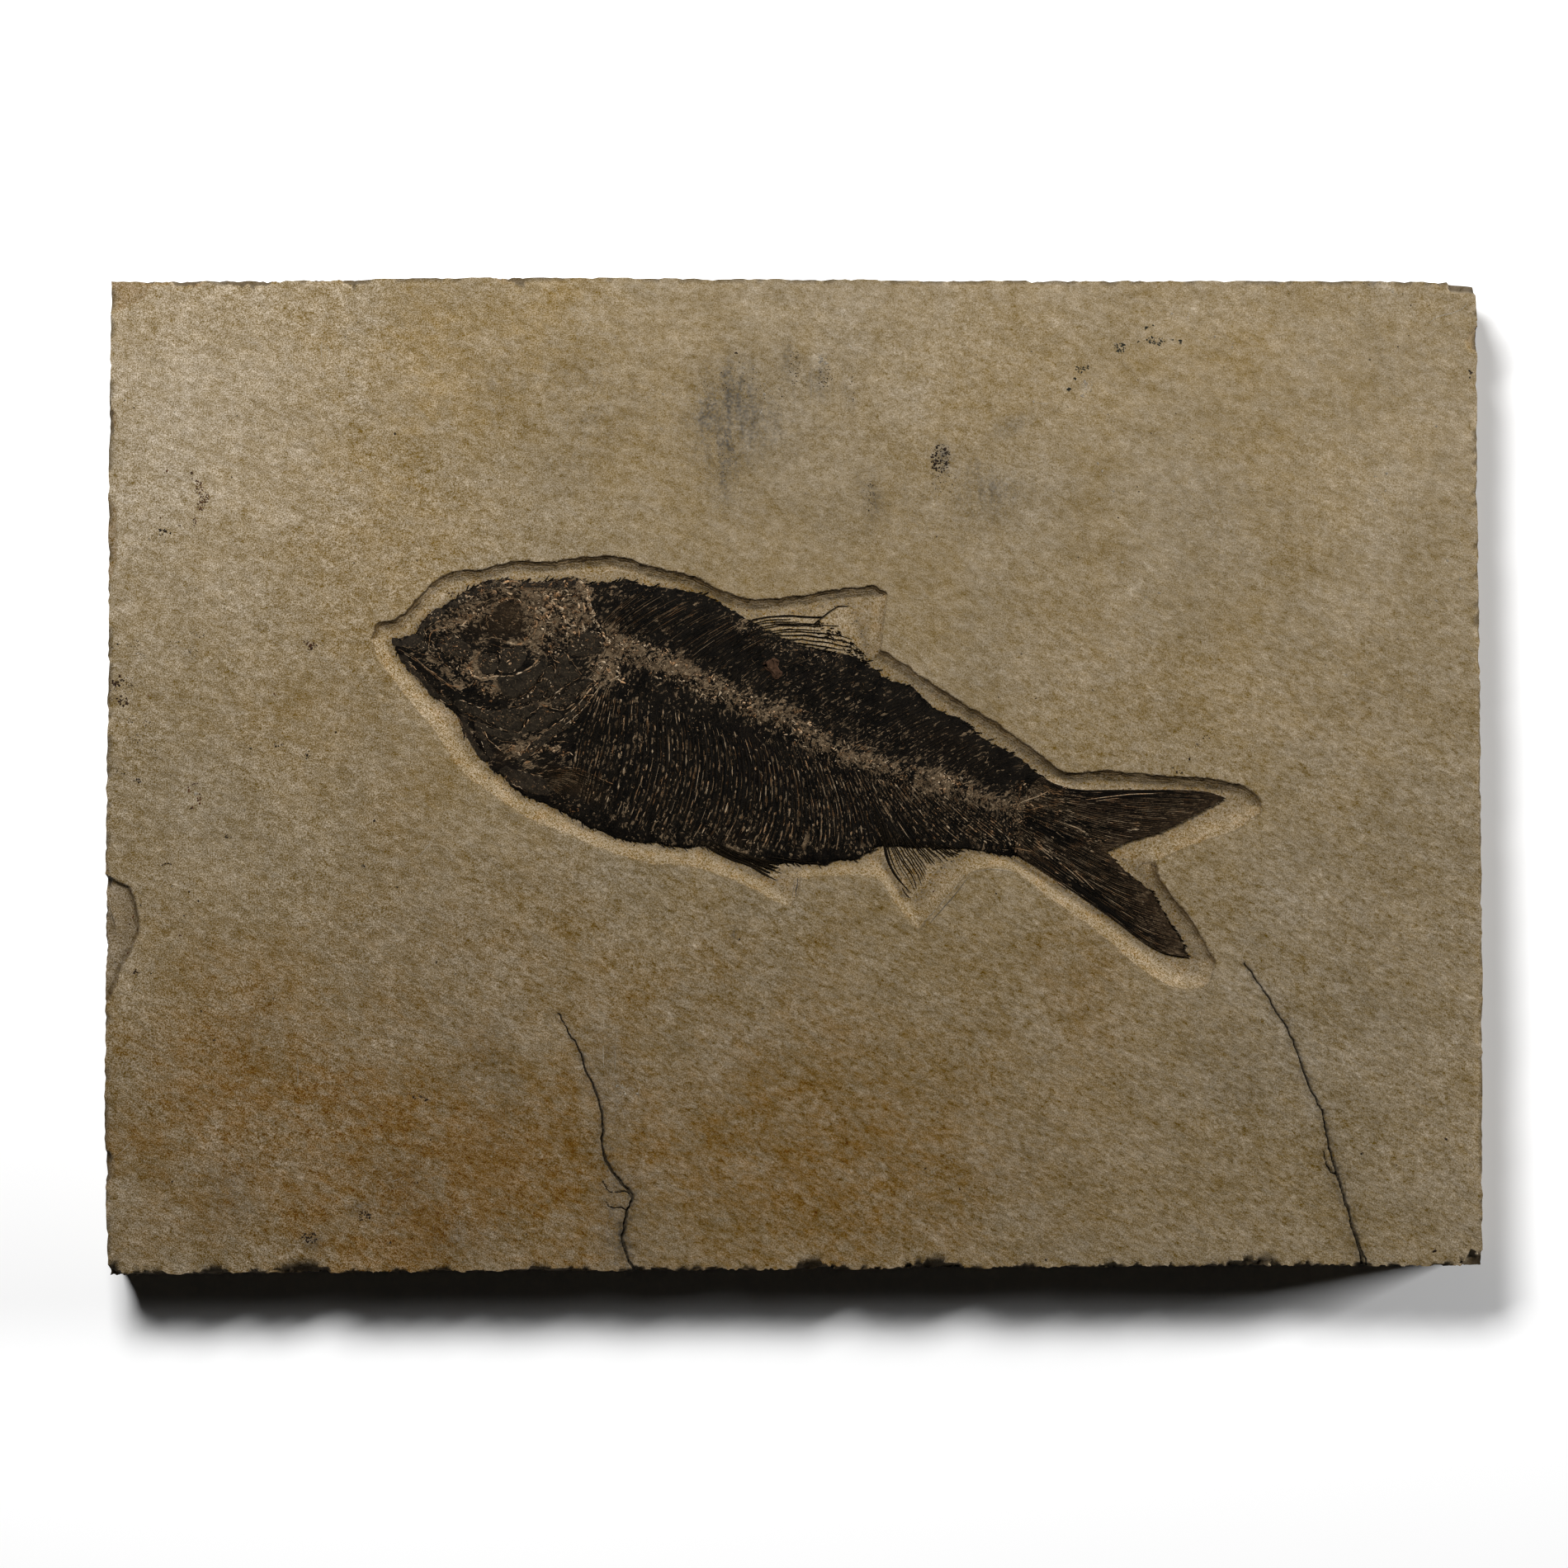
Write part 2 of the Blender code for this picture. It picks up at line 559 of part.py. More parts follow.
def build_fish():
    fish = body_solid(stone_material("fossil_bone", FISH_COLOUR, FISH_ROUGHNESS))
    # Each piece's underside lies a hair above the last one's, so that no two are level.
    depth = FISH_UNDERSIDE + UNDERSIDE_STEP
    for name, (root, tips, rays, rows) in FINS.items():
        lift = PECTORAL_LIFT if name == "pectoral_fin" else 0.0
        combine(fish, fin_solid(name, root, tips, rays, rows, depth, lift), "UNION")
        depth += UNDERSIDE_STEP
    for name, (outline, top) in PLATES.items():
        combine(fish, plate_solid(name, outline, top, depth), "UNION")
        depth += UNDERSIDE_STEP
    for name, (line, half_width, top) in BONES.items():
        combine(fish, bone_solid(name, line, half_width, top, depth), "UNION")
        depth += UNDERSIDE_STEP
    combine(fish, eye_solid(), "UNION")


clear_scene()
build_slab()
build_fish()
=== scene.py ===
# Fossil fish in its limestone slab: the split stone, the cut trench, the dark film and the bones on it
import math

import bmesh
import bpy
import numpy as np
from mathutils.bvhtree import BVHTree
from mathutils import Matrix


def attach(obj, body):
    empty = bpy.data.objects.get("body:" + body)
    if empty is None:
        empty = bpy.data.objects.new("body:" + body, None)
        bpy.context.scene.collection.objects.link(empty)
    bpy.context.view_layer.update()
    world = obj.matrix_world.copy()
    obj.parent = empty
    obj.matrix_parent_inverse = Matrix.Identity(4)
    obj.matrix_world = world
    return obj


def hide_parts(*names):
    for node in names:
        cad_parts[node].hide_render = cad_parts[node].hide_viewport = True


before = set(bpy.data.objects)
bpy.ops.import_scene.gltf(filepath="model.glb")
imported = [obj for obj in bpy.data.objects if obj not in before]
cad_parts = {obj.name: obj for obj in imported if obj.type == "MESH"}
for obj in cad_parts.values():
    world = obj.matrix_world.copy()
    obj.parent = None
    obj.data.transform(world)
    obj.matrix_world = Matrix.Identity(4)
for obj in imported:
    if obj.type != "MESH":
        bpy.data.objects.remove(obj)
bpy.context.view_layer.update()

photo = {    # metres for one pixel, and the pixel over the origin
    "scale": 0.00026, "middle": (961.5, 941.5),
}


def fromPhoto(points):
    # Pixels of the photo to metres on the slab
    return (np.asarray(points, float) - photo["middle"]) * (photo["scale"], -photo["scale"])


# Lines and fields

def smoothRun(points, spans=8):
    # A curve through all the points
    points = np.asarray(points, float)
    padded = np.vstack([2 * points[0] - points[1], points, 2 * points[-1] - points[-2]])
    part = np.linspace(0, 1, spans, endpoint=False)[:, None]
    pieces = []
    for k in range(len(points) - 1):
        a, b, c, d = padded[k:k + 4]
        bend = (2 * a - 5 * b + 4 * c - d) * part ** 2 + (3 * b - a - 3 * c + d) * part ** 3
        pieces.append(b + ((c - a) * part + bend) / 2)
    return np.vstack(pieces + [points[-1:]])


def closedRun(points, spans=6):
    points = np.asarray(points, float)
    looped = smoothRun(np.vstack([points[-2:], points, points[:2]]), spans)
    return looped[2 * spans:-2 * spans]


def readAlong(run, shares):
    # Points of the run at shares of its length, from 0 to 1
    travelled = np.r_[0, np.cumsum(np.hypot(*np.diff(run, axis=0).T))]
    at = np.asarray(shares, float) * travelled[-1]
    return np.column_stack([np.interp(at, travelled, run[:, 0]), np.interp(at, travelled, run[:, 1])])


def wobbly(run, size, reach, seed):
    # The same run with small wavers, as stone breaks
    shift = np.column_stack([softNoise(run, size, seed), softNoise(run, size, seed + 1)])
    return run + shift * reach


def fanLines(guides, across, along):
    # Lines between guide lines: across runs over the guides, along runs down each of them
    runs = np.array([readAlong(smoothRun(fromPhoto(guide)), along) for guide in guides])
    place = np.asarray(across, float) * (len(guides) - 1)
    low = np.clip(place.astype(int), 0, len(guides) - 2)
    part = (place - low)[:, None, None]
    return runs[low] * (1 - part) + runs[low + 1] * part


def lineField(where, line):
    # For each place: the distance to the line, its side, and the direction of the line there
    best = np.full(len(where), 9.0)
    side = np.zeros(len(where))
    heading = np.zeros((len(where), 2))
    for start, step in zip(line[:-1], np.diff(line, axis=0)):
        length = math.hypot(*step)
        if length < 1e-9:
            continue
        offset = where - start
        share = np.clip(offset @ step / length ** 2, 0, 1)
        gap = np.hypot(*(offset - share[:, None] * step).T)
        nearer = gap < best
        best[nearer] = gap[nearer]
        side[nearer] = np.sign(step[0] * offset[nearer, 1] - step[1] * offset[nearer, 0])
        heading[nearer] = step / length
    return best, side, heading


def insideOf(where, outline):
    inside = np.zeros(len(where), bool)
    for start, end in zip(outline, np.roll(outline, -1, axis=0)):
        spans = (start[1] > where[:, 1]) != (end[1] > where[:, 1])
        rise = end[1] - start[1]
        crossing = start[0] + (where[:, 1] - start[1]) * (end[0] - start[0]) / (rise if rise else 1)
        inside ^= spans & (where[:, 0] < crossing)
    return inside


def depthInside(where, outline):
    # Distance from the outline, positive inside it
    gap = lineField(where, np.vstack([outline, outline[:1]]))[0]
    return np.where(insideOf(where, outline), gap, -gap)


def softNoise(where, size, seed, stretch=1.0, angle=0.0):
    # Smooth noise from -1 to 1 in lumps of that size, drawn out along the angle
    turn = math.radians(angle)
    u = (where[:, 0] * math.cos(turn) + where[:, 1] * math.sin(turn)) / (size * stretch)
    v = (where[:, 1] * math.cos(turn) - where[:, 0] * math.sin(turn)) / size
    table = np.random.default_rng(seed).uniform(-1, 1, (256, 256))
    column = np.floor(u).astype(int)
    row = np.floor(v).astype(int)
    u = (u - column) ** 2 * (3 - 2 * (u - column))
    v = (v - row) ** 2 * (3 - 2 * (v - row))
    low = table[column % 256, row % 256] * (1 - u) + table[(column + 1) % 256, row % 256] * u
    high = table[column % 256, (row + 1) % 256] * (1 - u) + table[(column + 1) % 256, (row + 1) % 256] * u
    return low * (1 - v) + high * v


def eased(low, high, value):
    share = np.clip((value - low) / (high - low), 0, 1)
    return share * share * (3 - 2 * share)


def blobs(where, spots, waver):
    # Soft stains: each spot is a pixel place, its reach along X and Y in pixels, a turn and a strength
    moved = wobbly(where, 0.014, waver, 61)
    total = np.zeros(len(where))
    for x, y, reachX, reachY, angle, strength in spots:
        gap = (moved - fromPhoto((x, y))) / photo["scale"]
        turn = math.radians(angle)
        along = (gap[:, 0] * math.cos(turn) + gap[:, 1] * math.sin(turn)) / reachX
        over = (gap[:, 1] * math.cos(turn) - gap[:, 0] * math.sin(turn)) / reachY
        total += strength * np.exp(-along ** 2 - over ** 2)
    return total


# Mesh helpers

def keepMesh(name, mesh, material, node):
    # A finished piece at the origin that rides with the slab
    piece = bpy.data.objects.new(name, mesh)
    bpy.context.scene.collection.objects.link(piece)
    mesh.materials.clear()
    mesh.materials.append(material)
    mesh.shade_smooth()
    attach(piece, "root")
    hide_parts(node)
    print(name, len(mesh.vertices), "points,", sum((len(face.vertices) - 2 for face in mesh.polygons)),
          "triangles")
    return piece


def meshFrom(name, bm):
    mesh = bpy.data.meshes.new(name)
    bm.to_mesh(mesh)
    bm.free()
    return mesh


def setValues(mesh, **layers):
    for name, values in layers.items():
        layer = mesh.attributes.new(name, "FLOAT", "POINT")
        layer.data.foreach_set("value", np.asarray(values, np.float32))


def placesOf(mesh):
    flat = np.zeros(len(mesh.vertices) * 3, np.float32)
    mesh.vertices.foreach_get("co", flat)
    return flat.reshape(-1, 3).astype(float)


def setPlaces(mesh, places):
    mesh.vertices.foreach_set("co", np.asarray(places, np.float32).ravel())
    mesh.update()


def copiesOf(template, count):
    # One mesh that holds the template count times, one after another
    holder = bpy.data.objects.new("holder", template)
    bpy.context.scene.collection.objects.link(holder)
    rows = holder.modifiers.new("rows", "ARRAY")
    rows.count = count
    rows.use_merge_vertices = False
    mesh = bpy.data.meshes.new_from_object(holder.evaluated_get(bpy.context.evaluated_depsgraph_get()))
    bpy.data.objects.remove(holder)
    return mesh


def barMesh(name, strokes, height, stations=10, sink=0.00015, endWidth=0.25, waver=0.00006):
    # Strokes laid on the fish as low closed bars: each has a run of points, a width, a rise and a tint
    bm = bmesh.new()
    bmesh.ops.create_cube(bm, size=1)
    lengthwise = [edge for edge in bm.edges if abs(edge.verts[0].co.x - edge.verts[1].co.x) > 0.5]
    bmesh.ops.subdivide_edges(bm, edges=lengthwise, cuts=stations - 2)
    template = meshFrom(name + "Template", bm)
    corner = placesOf(template)
    station = np.rint((corner[:, 0] + 0.5) * (stations - 1)).astype(int)
    shares = np.linspace(0, 1, stations)
    runs = np.array([readAlong(stroke[0], shares) for stroke in strokes])
    width = np.array([stroke[1] for stroke in strokes])[:, None]
    rise = np.array([stroke[2] for stroke in strokes])[:, None]
    tint = np.array([stroke[3] for stroke in strokes])
    flat = runs.reshape(-1, 2)
    flat = wobbly(flat, 0.0009, waver, 17)
    runs = flat.reshape(runs.shape)
    heading = np.gradient(runs, axis=1)
    heading /= np.maximum(np.linalg.norm(heading, axis=2, keepdims=True), 1e-9)
    across = np.stack([-heading[..., 1], heading[..., 0]], axis=2)
    swell = endWidth + (1 - endWidth) * np.sin(np.pi * shares) ** 0.6
    base = height(flat).reshape(runs.shape[:2])
    half = width / 2 * swell * (1 + 0.25 * softNoise(flat, 0.0013, 23).reshape(base.shape))
    isTop = corner[:, 2] > 0
    lean = np.where(isTop, 0.42, 1.0) * np.sign(corner[:, 1])
    places = np.zeros((len(strokes), len(corner), 3))
    places[..., :2] = runs[:, station] + across[:, station] * (half[:, station] * lean)[..., None]
    places[..., 2] = base[:, station] + np.where(isTop, (rise * swell)[:, station], -sink)
    mesh = copiesOf(template, len(strokes))
    setPlaces(mesh, places.reshape(-1, 3))
    setValues(mesh, tint=np.repeat(tint, len(corner)))
    return mesh


def chipMesh(name, chips, height, seed, sides=7, sink=0.00015, tilt=0.06, draped=False):
    # Small broken plates: each has a place, two half sizes, a turn, a rise and a tint.
    # A draped one follows the surface at each corner.
    bm = bmesh.new()
    bmesh.ops.create_circle(bm, segments=sides, radius=1, cap_ends=True)
    drawn = bmesh.ops.extrude_face_region(bm, geom=bm.faces[:])["geom"]
    for vertex in (item for item in drawn if isinstance(item, bmesh.types.BMVert)):
        vertex.co.z = 1
    bmesh.ops.recalc_face_normals(bm, faces=bm.faces)
    template = meshFrom(name + "Template", bm)
    corner = placesOf(template)
    draw = np.random.default_rng(seed)
    x, y, halfX, halfY, turn, rise, tint = np.asarray(chips, float).T[:, :, None]
    which = np.rint(np.arctan2(corner[:, 1], corner[:, 0]) / (2 * np.pi) * sides).astype(int) % sides
    ragged = draw.uniform(0.40, 1.25, (len(chips), sides))[:, which]
    isTop = corner[:, 2] > 0.5
    ragged = ragged * np.where(isTop, 0.74, 1.0)
    spreadX = corner[:, 0] * ragged * halfX
    spreadY = corner[:, 1] * ragged * halfY
    slopeX, slopeY = draw.uniform(-tilt, tilt, (2, len(chips), 1))
    places = np.zeros((len(chips), len(corner), 3))
    places[..., 0] = x + spreadX * np.cos(turn) - spreadY * np.sin(turn)
    places[..., 1] = y + spreadX * np.sin(turn) + spreadY * np.cos(turn)
    if draped:
        base = height(places[..., :2].reshape(-1, 2)).reshape(len(chips), -1)
    else:
        base = height(np.column_stack([x[:, 0], y[:, 0]]))[:, None]
    lean = slopeX * spreadX + slopeY * spreadY
    places[..., 2] = base + np.where(isTop, rise + lean, -sink)
    mesh = copiesOf(template, len(chips))
    setPlaces(mesh, places.reshape(-1, 3))
    setValues(mesh, tint=np.repeat(tint[:, 0], len(corner)))
    return mesh


# Material helpers

making = {    # the node tree of the material that is being made
}


class Number:
    # A socket that carries a number, so that sums of sockets read as sums
    def __init__(self, socket):
        self.socket = socket

    def __add__(self, other):
        return mathOf("ADD", self, other)

    def __sub__(self, other):
        return mathOf("SUBTRACT", self, other)

    def __rsub__(self, other):
        return mathOf("SUBTRACT", other, self)

    def __mul__(self, other):
        return mathOf("MULTIPLY", self, other)

    def __radd__(self, other):
        return mathOf("ADD", other, self)

    def __rmul__(self, other):
        return mathOf("MULTIPLY", other, self)


def startMaterial(name):
    material = bpy.data.materials.new(name)
    material.use_nodes = True
    making["tree"] = material.node_tree
    return material, material.node_tree.nodes["Principled BSDF"]


def link(value, socket):
    # A value, or what another socket carries, goes into the socket
    if isinstance(value, Number):
        value = value.socket
    if isinstance(value, bpy.types.NodeSocket):
        making["tree"].links.new(value, socket)
    else:
        socket.default_value = value


def addNode(kind, links=None, **settings):
    # A node with its settings; links gives a value or another node's socket for each input
    node = making["tree"].nodes.new("ShaderNode" + kind)
    for key, value in settings.items():
        setattr(node, key, value)
    for key, value in (links or {}).items():
        link(value, node.inputs[key])
    return node


def noiseOf(vector, scale, detail=2.0, rough=0.5, twist=0.0):
    links = {"Vector": vector, "Scale": scale, "Detail": detail, "Roughness": rough, "Distortion": twist}
    return Number(addNode("TexNoise", links).outputs["Fac"])


def mappedTo(vector, turn=0.0, stretch=(1, 1, 1)):
    # The pattern turned by that many degrees and drawn out along its own axes
    links = {"Vector": vector, "Rotation": (0, 0, math.radians(turn)), "Scale": stretch}
    return addNode("Mapping", links, vector_type="TEXTURE").outputs["Vector"]


def rangeOf(value, low, high, start=0.0, end=1.0):
    links = {"Value": value, "From Min": low, "From Max": high, "To Min": start, "To Max": end}
    return Number(addNode("MapRange", links).outputs["Result"])


def mathOf(operation, first, second=0.0):
    return Number(addNode("Math", {0: first, 1: second}, operation=operation).outputs[0])


def mixOf(share, first, second, blend="MIX"):
    node = addNode("Mix", data_type="RGBA", blend_type=blend)
    for index, value in ((0, share), (6, first), (7, second)):
        link((*value, 1) if isinstance(value, tuple) else value, node.inputs[index])
    return node.outputs[2]


def tonedBy(colour, tone):
    # The colour made lighter or darker by a number
    grey = addNode("CombineColor", {0: tone, 1: tone, 2: tone}).outputs[0]
    return mixOf(1.0, colour, grey, "MULTIPLY")


def finished(made, colour, rough, shine, relief=None):
    # The material once its colour, its roughness, its shine and its relief are set
    material, shader = made
    link(colour, shader.inputs["Base Color"])
    shader.inputs["Roughness"].default_value = rough
    shader.inputs["Specular IOR Level"].default_value = shine
    if relief:
        link(relief, shader.inputs["Normal"])
    return material


def valueOf(name):
    return Number(addNode("Attribute", attribute_name=name).outputs["Fac"])


def blendOf(share, first, second):
    # A number between two numbers
    return first + share * (second - first)


def swungBy(noise, amount):
    # A number about 1 that follows a noise
    return 1.0 + (noise - 0.5) * amount


def bumpOf(height, depth, normal=None):
    links = {"Height": height, "Distance": depth, "Strength": 1.0}
    if normal:
        links["Normal"] = normal
    return addNode("Bump", links).outputs["Normal"]


# The trench and where the fish lies in it

trench = {
    "floor": 0.0198,
    "steepWall": 0.0034,       # width of the walls that face down the slab
    "slopedWall": 0.0054,      # width of the walls that face up the slab
    "rim": (                   # stretches that meet at corners, clockwise from the snout
        (
            (-0.1332, 0.0432), (-0.1312, 0.0482), (-0.1252, 0.0497), (-0.1197, 0.0547), (-0.1142, 0.0607),
            (-0.1077, 0.0645), (-0.0980, 0.0655), (-0.0877, 0.0680), (-0.0785, 0.0677), (-0.0660, 0.0692),
            (-0.0545, 0.0692), (-0.0440, 0.0660), (-0.0310, 0.0630), (-0.0232, 0.0587), (-0.0135, 0.0560),
            (-0.0057, 0.0562), (0.0017, 0.0570), (0.0100, 0.0587), (0.0185, 0.0595), (0.0255, 0.0602),
            (0.0297, 0.0577),
        ),
        ((0.0297, 0.0577), (0.0285, 0.0497), (0.0275, 0.0402)),
        (
            (0.0275, 0.0402), (0.0345, 0.0357), (0.0442, 0.0292), (0.0535, 0.0232), (0.0642, 0.0167),
            (0.0735, 0.0102), (0.0817, 0.0037), (0.0875, 0.0012), (0.0967, 0.0020), (0.1082, 0.0010),
            (0.1200, 0.0002), (0.1340, -0.0010), (0.1432, -0.0035), (0.1477, -0.0085), (0.1462, -0.0122),
            (0.1382, -0.0172), (0.1267, -0.0212), (0.1140, -0.0265),
        ),
        (
            (0.1140, -0.0265), (0.1160, -0.0332), (0.1242, -0.0437), (0.1307, -0.0540), (0.1327, -0.0595),
            (0.1305, -0.0655), (0.1252, -0.0670), (0.1195, -0.0662), (0.1102, -0.0612), (0.1002, -0.0525),
            (0.0900, -0.0447), (0.0812, -0.0385), (0.0732, -0.0322), (0.0692, -0.0297), (0.0632, -0.0287),
            (0.0565, -0.0300), (0.0505, -0.0355), (0.0440, -0.0430), (0.0395, -0.0480),
        ),
        (
            (0.0395, -0.0480), (0.0332, -0.0415), (0.0272, -0.0330), (0.0225, -0.0312), (0.0127, -0.0312),
            (0.0022, -0.0317),
        ),
        ((0.0022, -0.0317), (0.0012, -0.0372), (-0.0002, -0.0407)),
        (
            (-0.0002, -0.0407), (-0.005, -0.0397), (-0.0155, -0.0342), (-0.027, -0.0297), (-0.0367, -0.0277),
            (-0.0445, -0.0275), (-0.0597, -0.0232), (-0.0722, -0.0177), (-0.0842, -0.0127),
            (-0.0945, -0.0057), (-0.1045, 0.0015), (-0.1137, 0.015), (-0.123, 0.0265), (-0.1302, 0.036),
            (-0.1332, 0.0432),
        ),
    ),
}

# The fish's body, as matching stretches of its back, its spine and its belly, from the snout to the tail
bodyStretches = (
    {   # head
        "columns": 190,
        "back": (
            (476, 776), (486, 773), (502, 769.5), (508, 759), (517, 746), (534, 736), (555, 722), (578, 708),
            (612, 701), (650, 704), (689, 700), (706, 703),
        ),
        "spine": ((476.5, 778), (520, 785), (580, 800), (640, 805), (700, 795), (735, 780)),
        "belly": (
            (477, 780), (480, 790), (490, 802), (507, 819), (520, 836), (536, 851), (549, 863), (557, 874),
            (562, 888), (574, 901), (588, 918), (594, 930), (608, 940), (631, 962), (657, 972), (673, 980),
        ),
    },
    {   # shoulder and front ribs
        "columns": 105,
        "back": (
            (706, 703), (715, 706), (748, 703.5), (767, 704), (780, 708), (818, 714), (851, 719), (863, 725),
            (878, 734), (895, 744), (903, 748),
        ),
        "spine": ((735, 780), (776, 792), (800, 802), (859, 833), (900, 851)),
        "belly": (
            (673, 980), (692, 989), (713, 1003), (730, 1008), (759, 1018), (790, 1020), (803, 1024),
            (829, 1027), (849, 1024), (868, 1033),
        ),
    },
    {   # under the dorsal fin
        "columns": 75,
        "back": ((903, 748), (918, 757), (930, 763), (947, 771), (977, 783), (1008, 790), (1040, 797)),
        "spine": ((900, 851), (915, 858), (953, 873), (989, 899), (1042, 917)),
        "belly": (
            (868, 1033), (906, 1043), (930, 1045), (965, 1046), (984, 1045), (1000, 1047.6), (1011, 1043),
            (1036, 1041), (1057, 1031),
        ),
    },
    {   # rear trunk, down to the root of the tail
        "columns": 95,
        "back": (
            (1040, 797), (1065, 814), (1071, 821), (1105, 833), (1117, 844), (1128, 856), (1144, 864),
            (1167, 873), (1176, 881), (1186, 891), (1216, 908), (1235, 919), (1265, 942),
        ),
        "spine": ((1042, 917), (1081, 935), (1119, 945), (1157, 955), (1200, 968), (1240, 982)),
        "belly": (
            (1057, 1031), (1066, 1025), (1120, 1027), (1158, 1028), (1175, 1029), (1194, 1032), (1213, 1035),
            (1236, 1037),
        ),
    },
)
finReaches = {    # simple outlines of what lies in the trench beside the body
    "tail": (
        (1230, 915), (1300, 952), (1400, 955), (1480, 962), (1485, 970), (1438, 995), (1365, 1020),
        (1350, 1032), (1386, 1064), (1436, 1142), (1445, 1158), (1430, 1165), (1340, 1108), (1225, 1038),
    ),
    "dorsal": ((890, 748), (980, 742), (1005, 733), (1030, 733), (1050, 790), (1040, 800)),
    "anal": ((1055, 1020), (1070, 1040), (1098, 1088), (1110, 1088), (1140, 1050), (1175, 1030)),
    "pelvic": ((840, 1015), (890, 1046), (938, 1068), (950, 1052), (1000, 1048)),
}


def wholeLine(key):
    run = [fromPhoto(stretch[key]) for stretch in bodyStretches]
    return np.vstack([run[0]] + [part[1:] for part in run[1:]])


spineLine = smoothRun(wholeLine("spine"))
bodyOutline = np.vstack([smoothRun(wholeLine("back"), 5), smoothRun(wholeLine("belly"), 5)[::-1]])
rimLine = np.vstack([smoothRun(stretch, 5)[:-1] for stretch in trench["rim"]])


def roomAround(where):
    # Distance inside the rim, distance to the fish, and the width of the wall at each place
    rough = 0.00022 * softNoise(where, 0.0023, 5) + 0.00012 * softNoise(where, 0.0009, 6)
    gap, _, heading = lineField(where, np.vstack([rimLine, rimLine[:1]]))
    depth = np.where(insideOf(where, rimLine), gap, -gap) + rough
    toFish = np.clip(-depthInside(where, bodyOutline), 0, None)
    for outline in finReaches.values():
        toFish = np.minimum(toFish, np.clip(-depthInside(where, fromPhoto(outline)), 0, None))
    lean = eased(-0.5, 0.8, -heading[:, 0])
    wall = trench["steepWall"] + (trench["slopedWall"] - trench["steepWall"]) * lean
    wall = np.minimum(wall, 0.75 * (np.clip(depth, 0, None) + toFish) + 0.0003)
    return depth, toFish, wall, lean


# The limestone slab

slabForm = {
    "cell": 0.0019,            # the top grid, before it is cut finer where there is detail
    "top": 0.02197,
    "highest": 0.02223,
    "upper": (
        (-0.2150, 0.1562), (-0.1512, 0.1567), (-0.0940, 0.1575), (-0.0030, 0.1570),
        (0.0880, 0.1565), (0.2025, 0.1562), (0.2155, 0.1552),
    ),
    "lower": (
        (-0.2160, -0.1575), (-0.1850, -0.1570), (-0.1200, -0.1562), (-0.0160, -0.1555),
        (0.0880, -0.1547), (0.1660, -0.1542), (0.2172, -0.1542),
    ),
    "left": (
        (-0.2160, -0.1575), (-0.2172, -0.1140), (-0.2170, -0.0672), (-0.2170, -0.0320),
        (-0.2165, 0.0107), (-0.2160, 0.0472), (-0.2160, 0.0992), (-0.2150, 0.1562),
    ),
    "right": (
        (0.2172, -0.1542), (0.2172, -0.0672), (0.2167, -0.0152), (0.2162, 0.0472),
        (0.2155, 0.0992), (0.2155, 0.1552),
    ),
    "wear": 0.00030,           # how far the edges are nibbled inward
    "sideRows": 9,
    "sideRelief": 0.00075,
    "backCell": 0.008,
}
cracks = {    # pixel runs, and the width of the gap at each end in metres
    "left": (
        (
            (676, 1228), (686, 1245), (703, 1275), (709, 1295), (722, 1325), (730, 1355), (731, 1395),
            (745, 1425), (765, 1450), (760, 1466), (757, 1485), (755, 1510), (772, 1548),
        ),
        0.00042, 0.0012,
    ),
    "leftLoop": (((731, 1432), (736, 1442), (745, 1445), (757, 1444), (764, 1449)), 0.00018, 0.00032),
    "leftHook": (((734, 1456), (741, 1464), (752, 1463), (761, 1468)), 0.00022, 0.00042),
    "right": (
        (
            (1508, 1168), (1527, 1195), (1548, 1228), (1565, 1258), (1588, 1320), (1603, 1350), (1610, 1390),
            (1626, 1440), (1640, 1490), (1656, 1548),
        ),
        0.00034, 0.001,
    ),
    "rightSplinter": (((1603, 1396), (1609, 1415), (1618, 1424)), 0.0003, 0.0005),
    "rightSliver": (((1640, 1490), (1648, 1512), (1660, 1540)), 0.0002, 0.0004),
}
chips = (    # place, reach along X and Y, and depth of the scoops broken off the edges
    (-0.1915, 0.157, 0.0055, 0.0024, 0.001), (-0.172, 0.1572, 0.0095, 0.0026, 0.001),
    (-0.138, 0.1574, 0.005, 0.0024, 0.001), (-0.086, 0.1576, 0.0048, 0.0022, 0.0009),
    (0.216, 0.1578, 0.013, 0.0048, 0.012), (0.2164, 0.137, 0.0022, 0.0046, 0.003),
    (0.217, 0.127, 0.0014, 0.003, 0.002), (0.2172, -0.1545, 0.0086, 0.0046, 0.004),
    (0.1426, -0.1556, 0.0105, 0.0034, 0.0026), (0.0438, -0.156, 0.0105, 0.0036, 0.0034),
    (0.0067, -0.156, 0.0062, 0.0036, 0.0036), (-0.1538, -0.1572, 0.0075, 0.0034, 0.0036),
    (-0.1819, -0.1578, 0.0065, 0.0028, 0.0026), (-0.2165, -0.158, 0.005, 0.0044, 0.005),
    (-0.2176, -0.1228, 0.0026, 0.0062, 0.0022), (-0.2172, -0.033, 0.0026, 0.0024, 0.005),
    (-0.2162, 0.111, 0.0018, 0.0065, 0.0018),
)
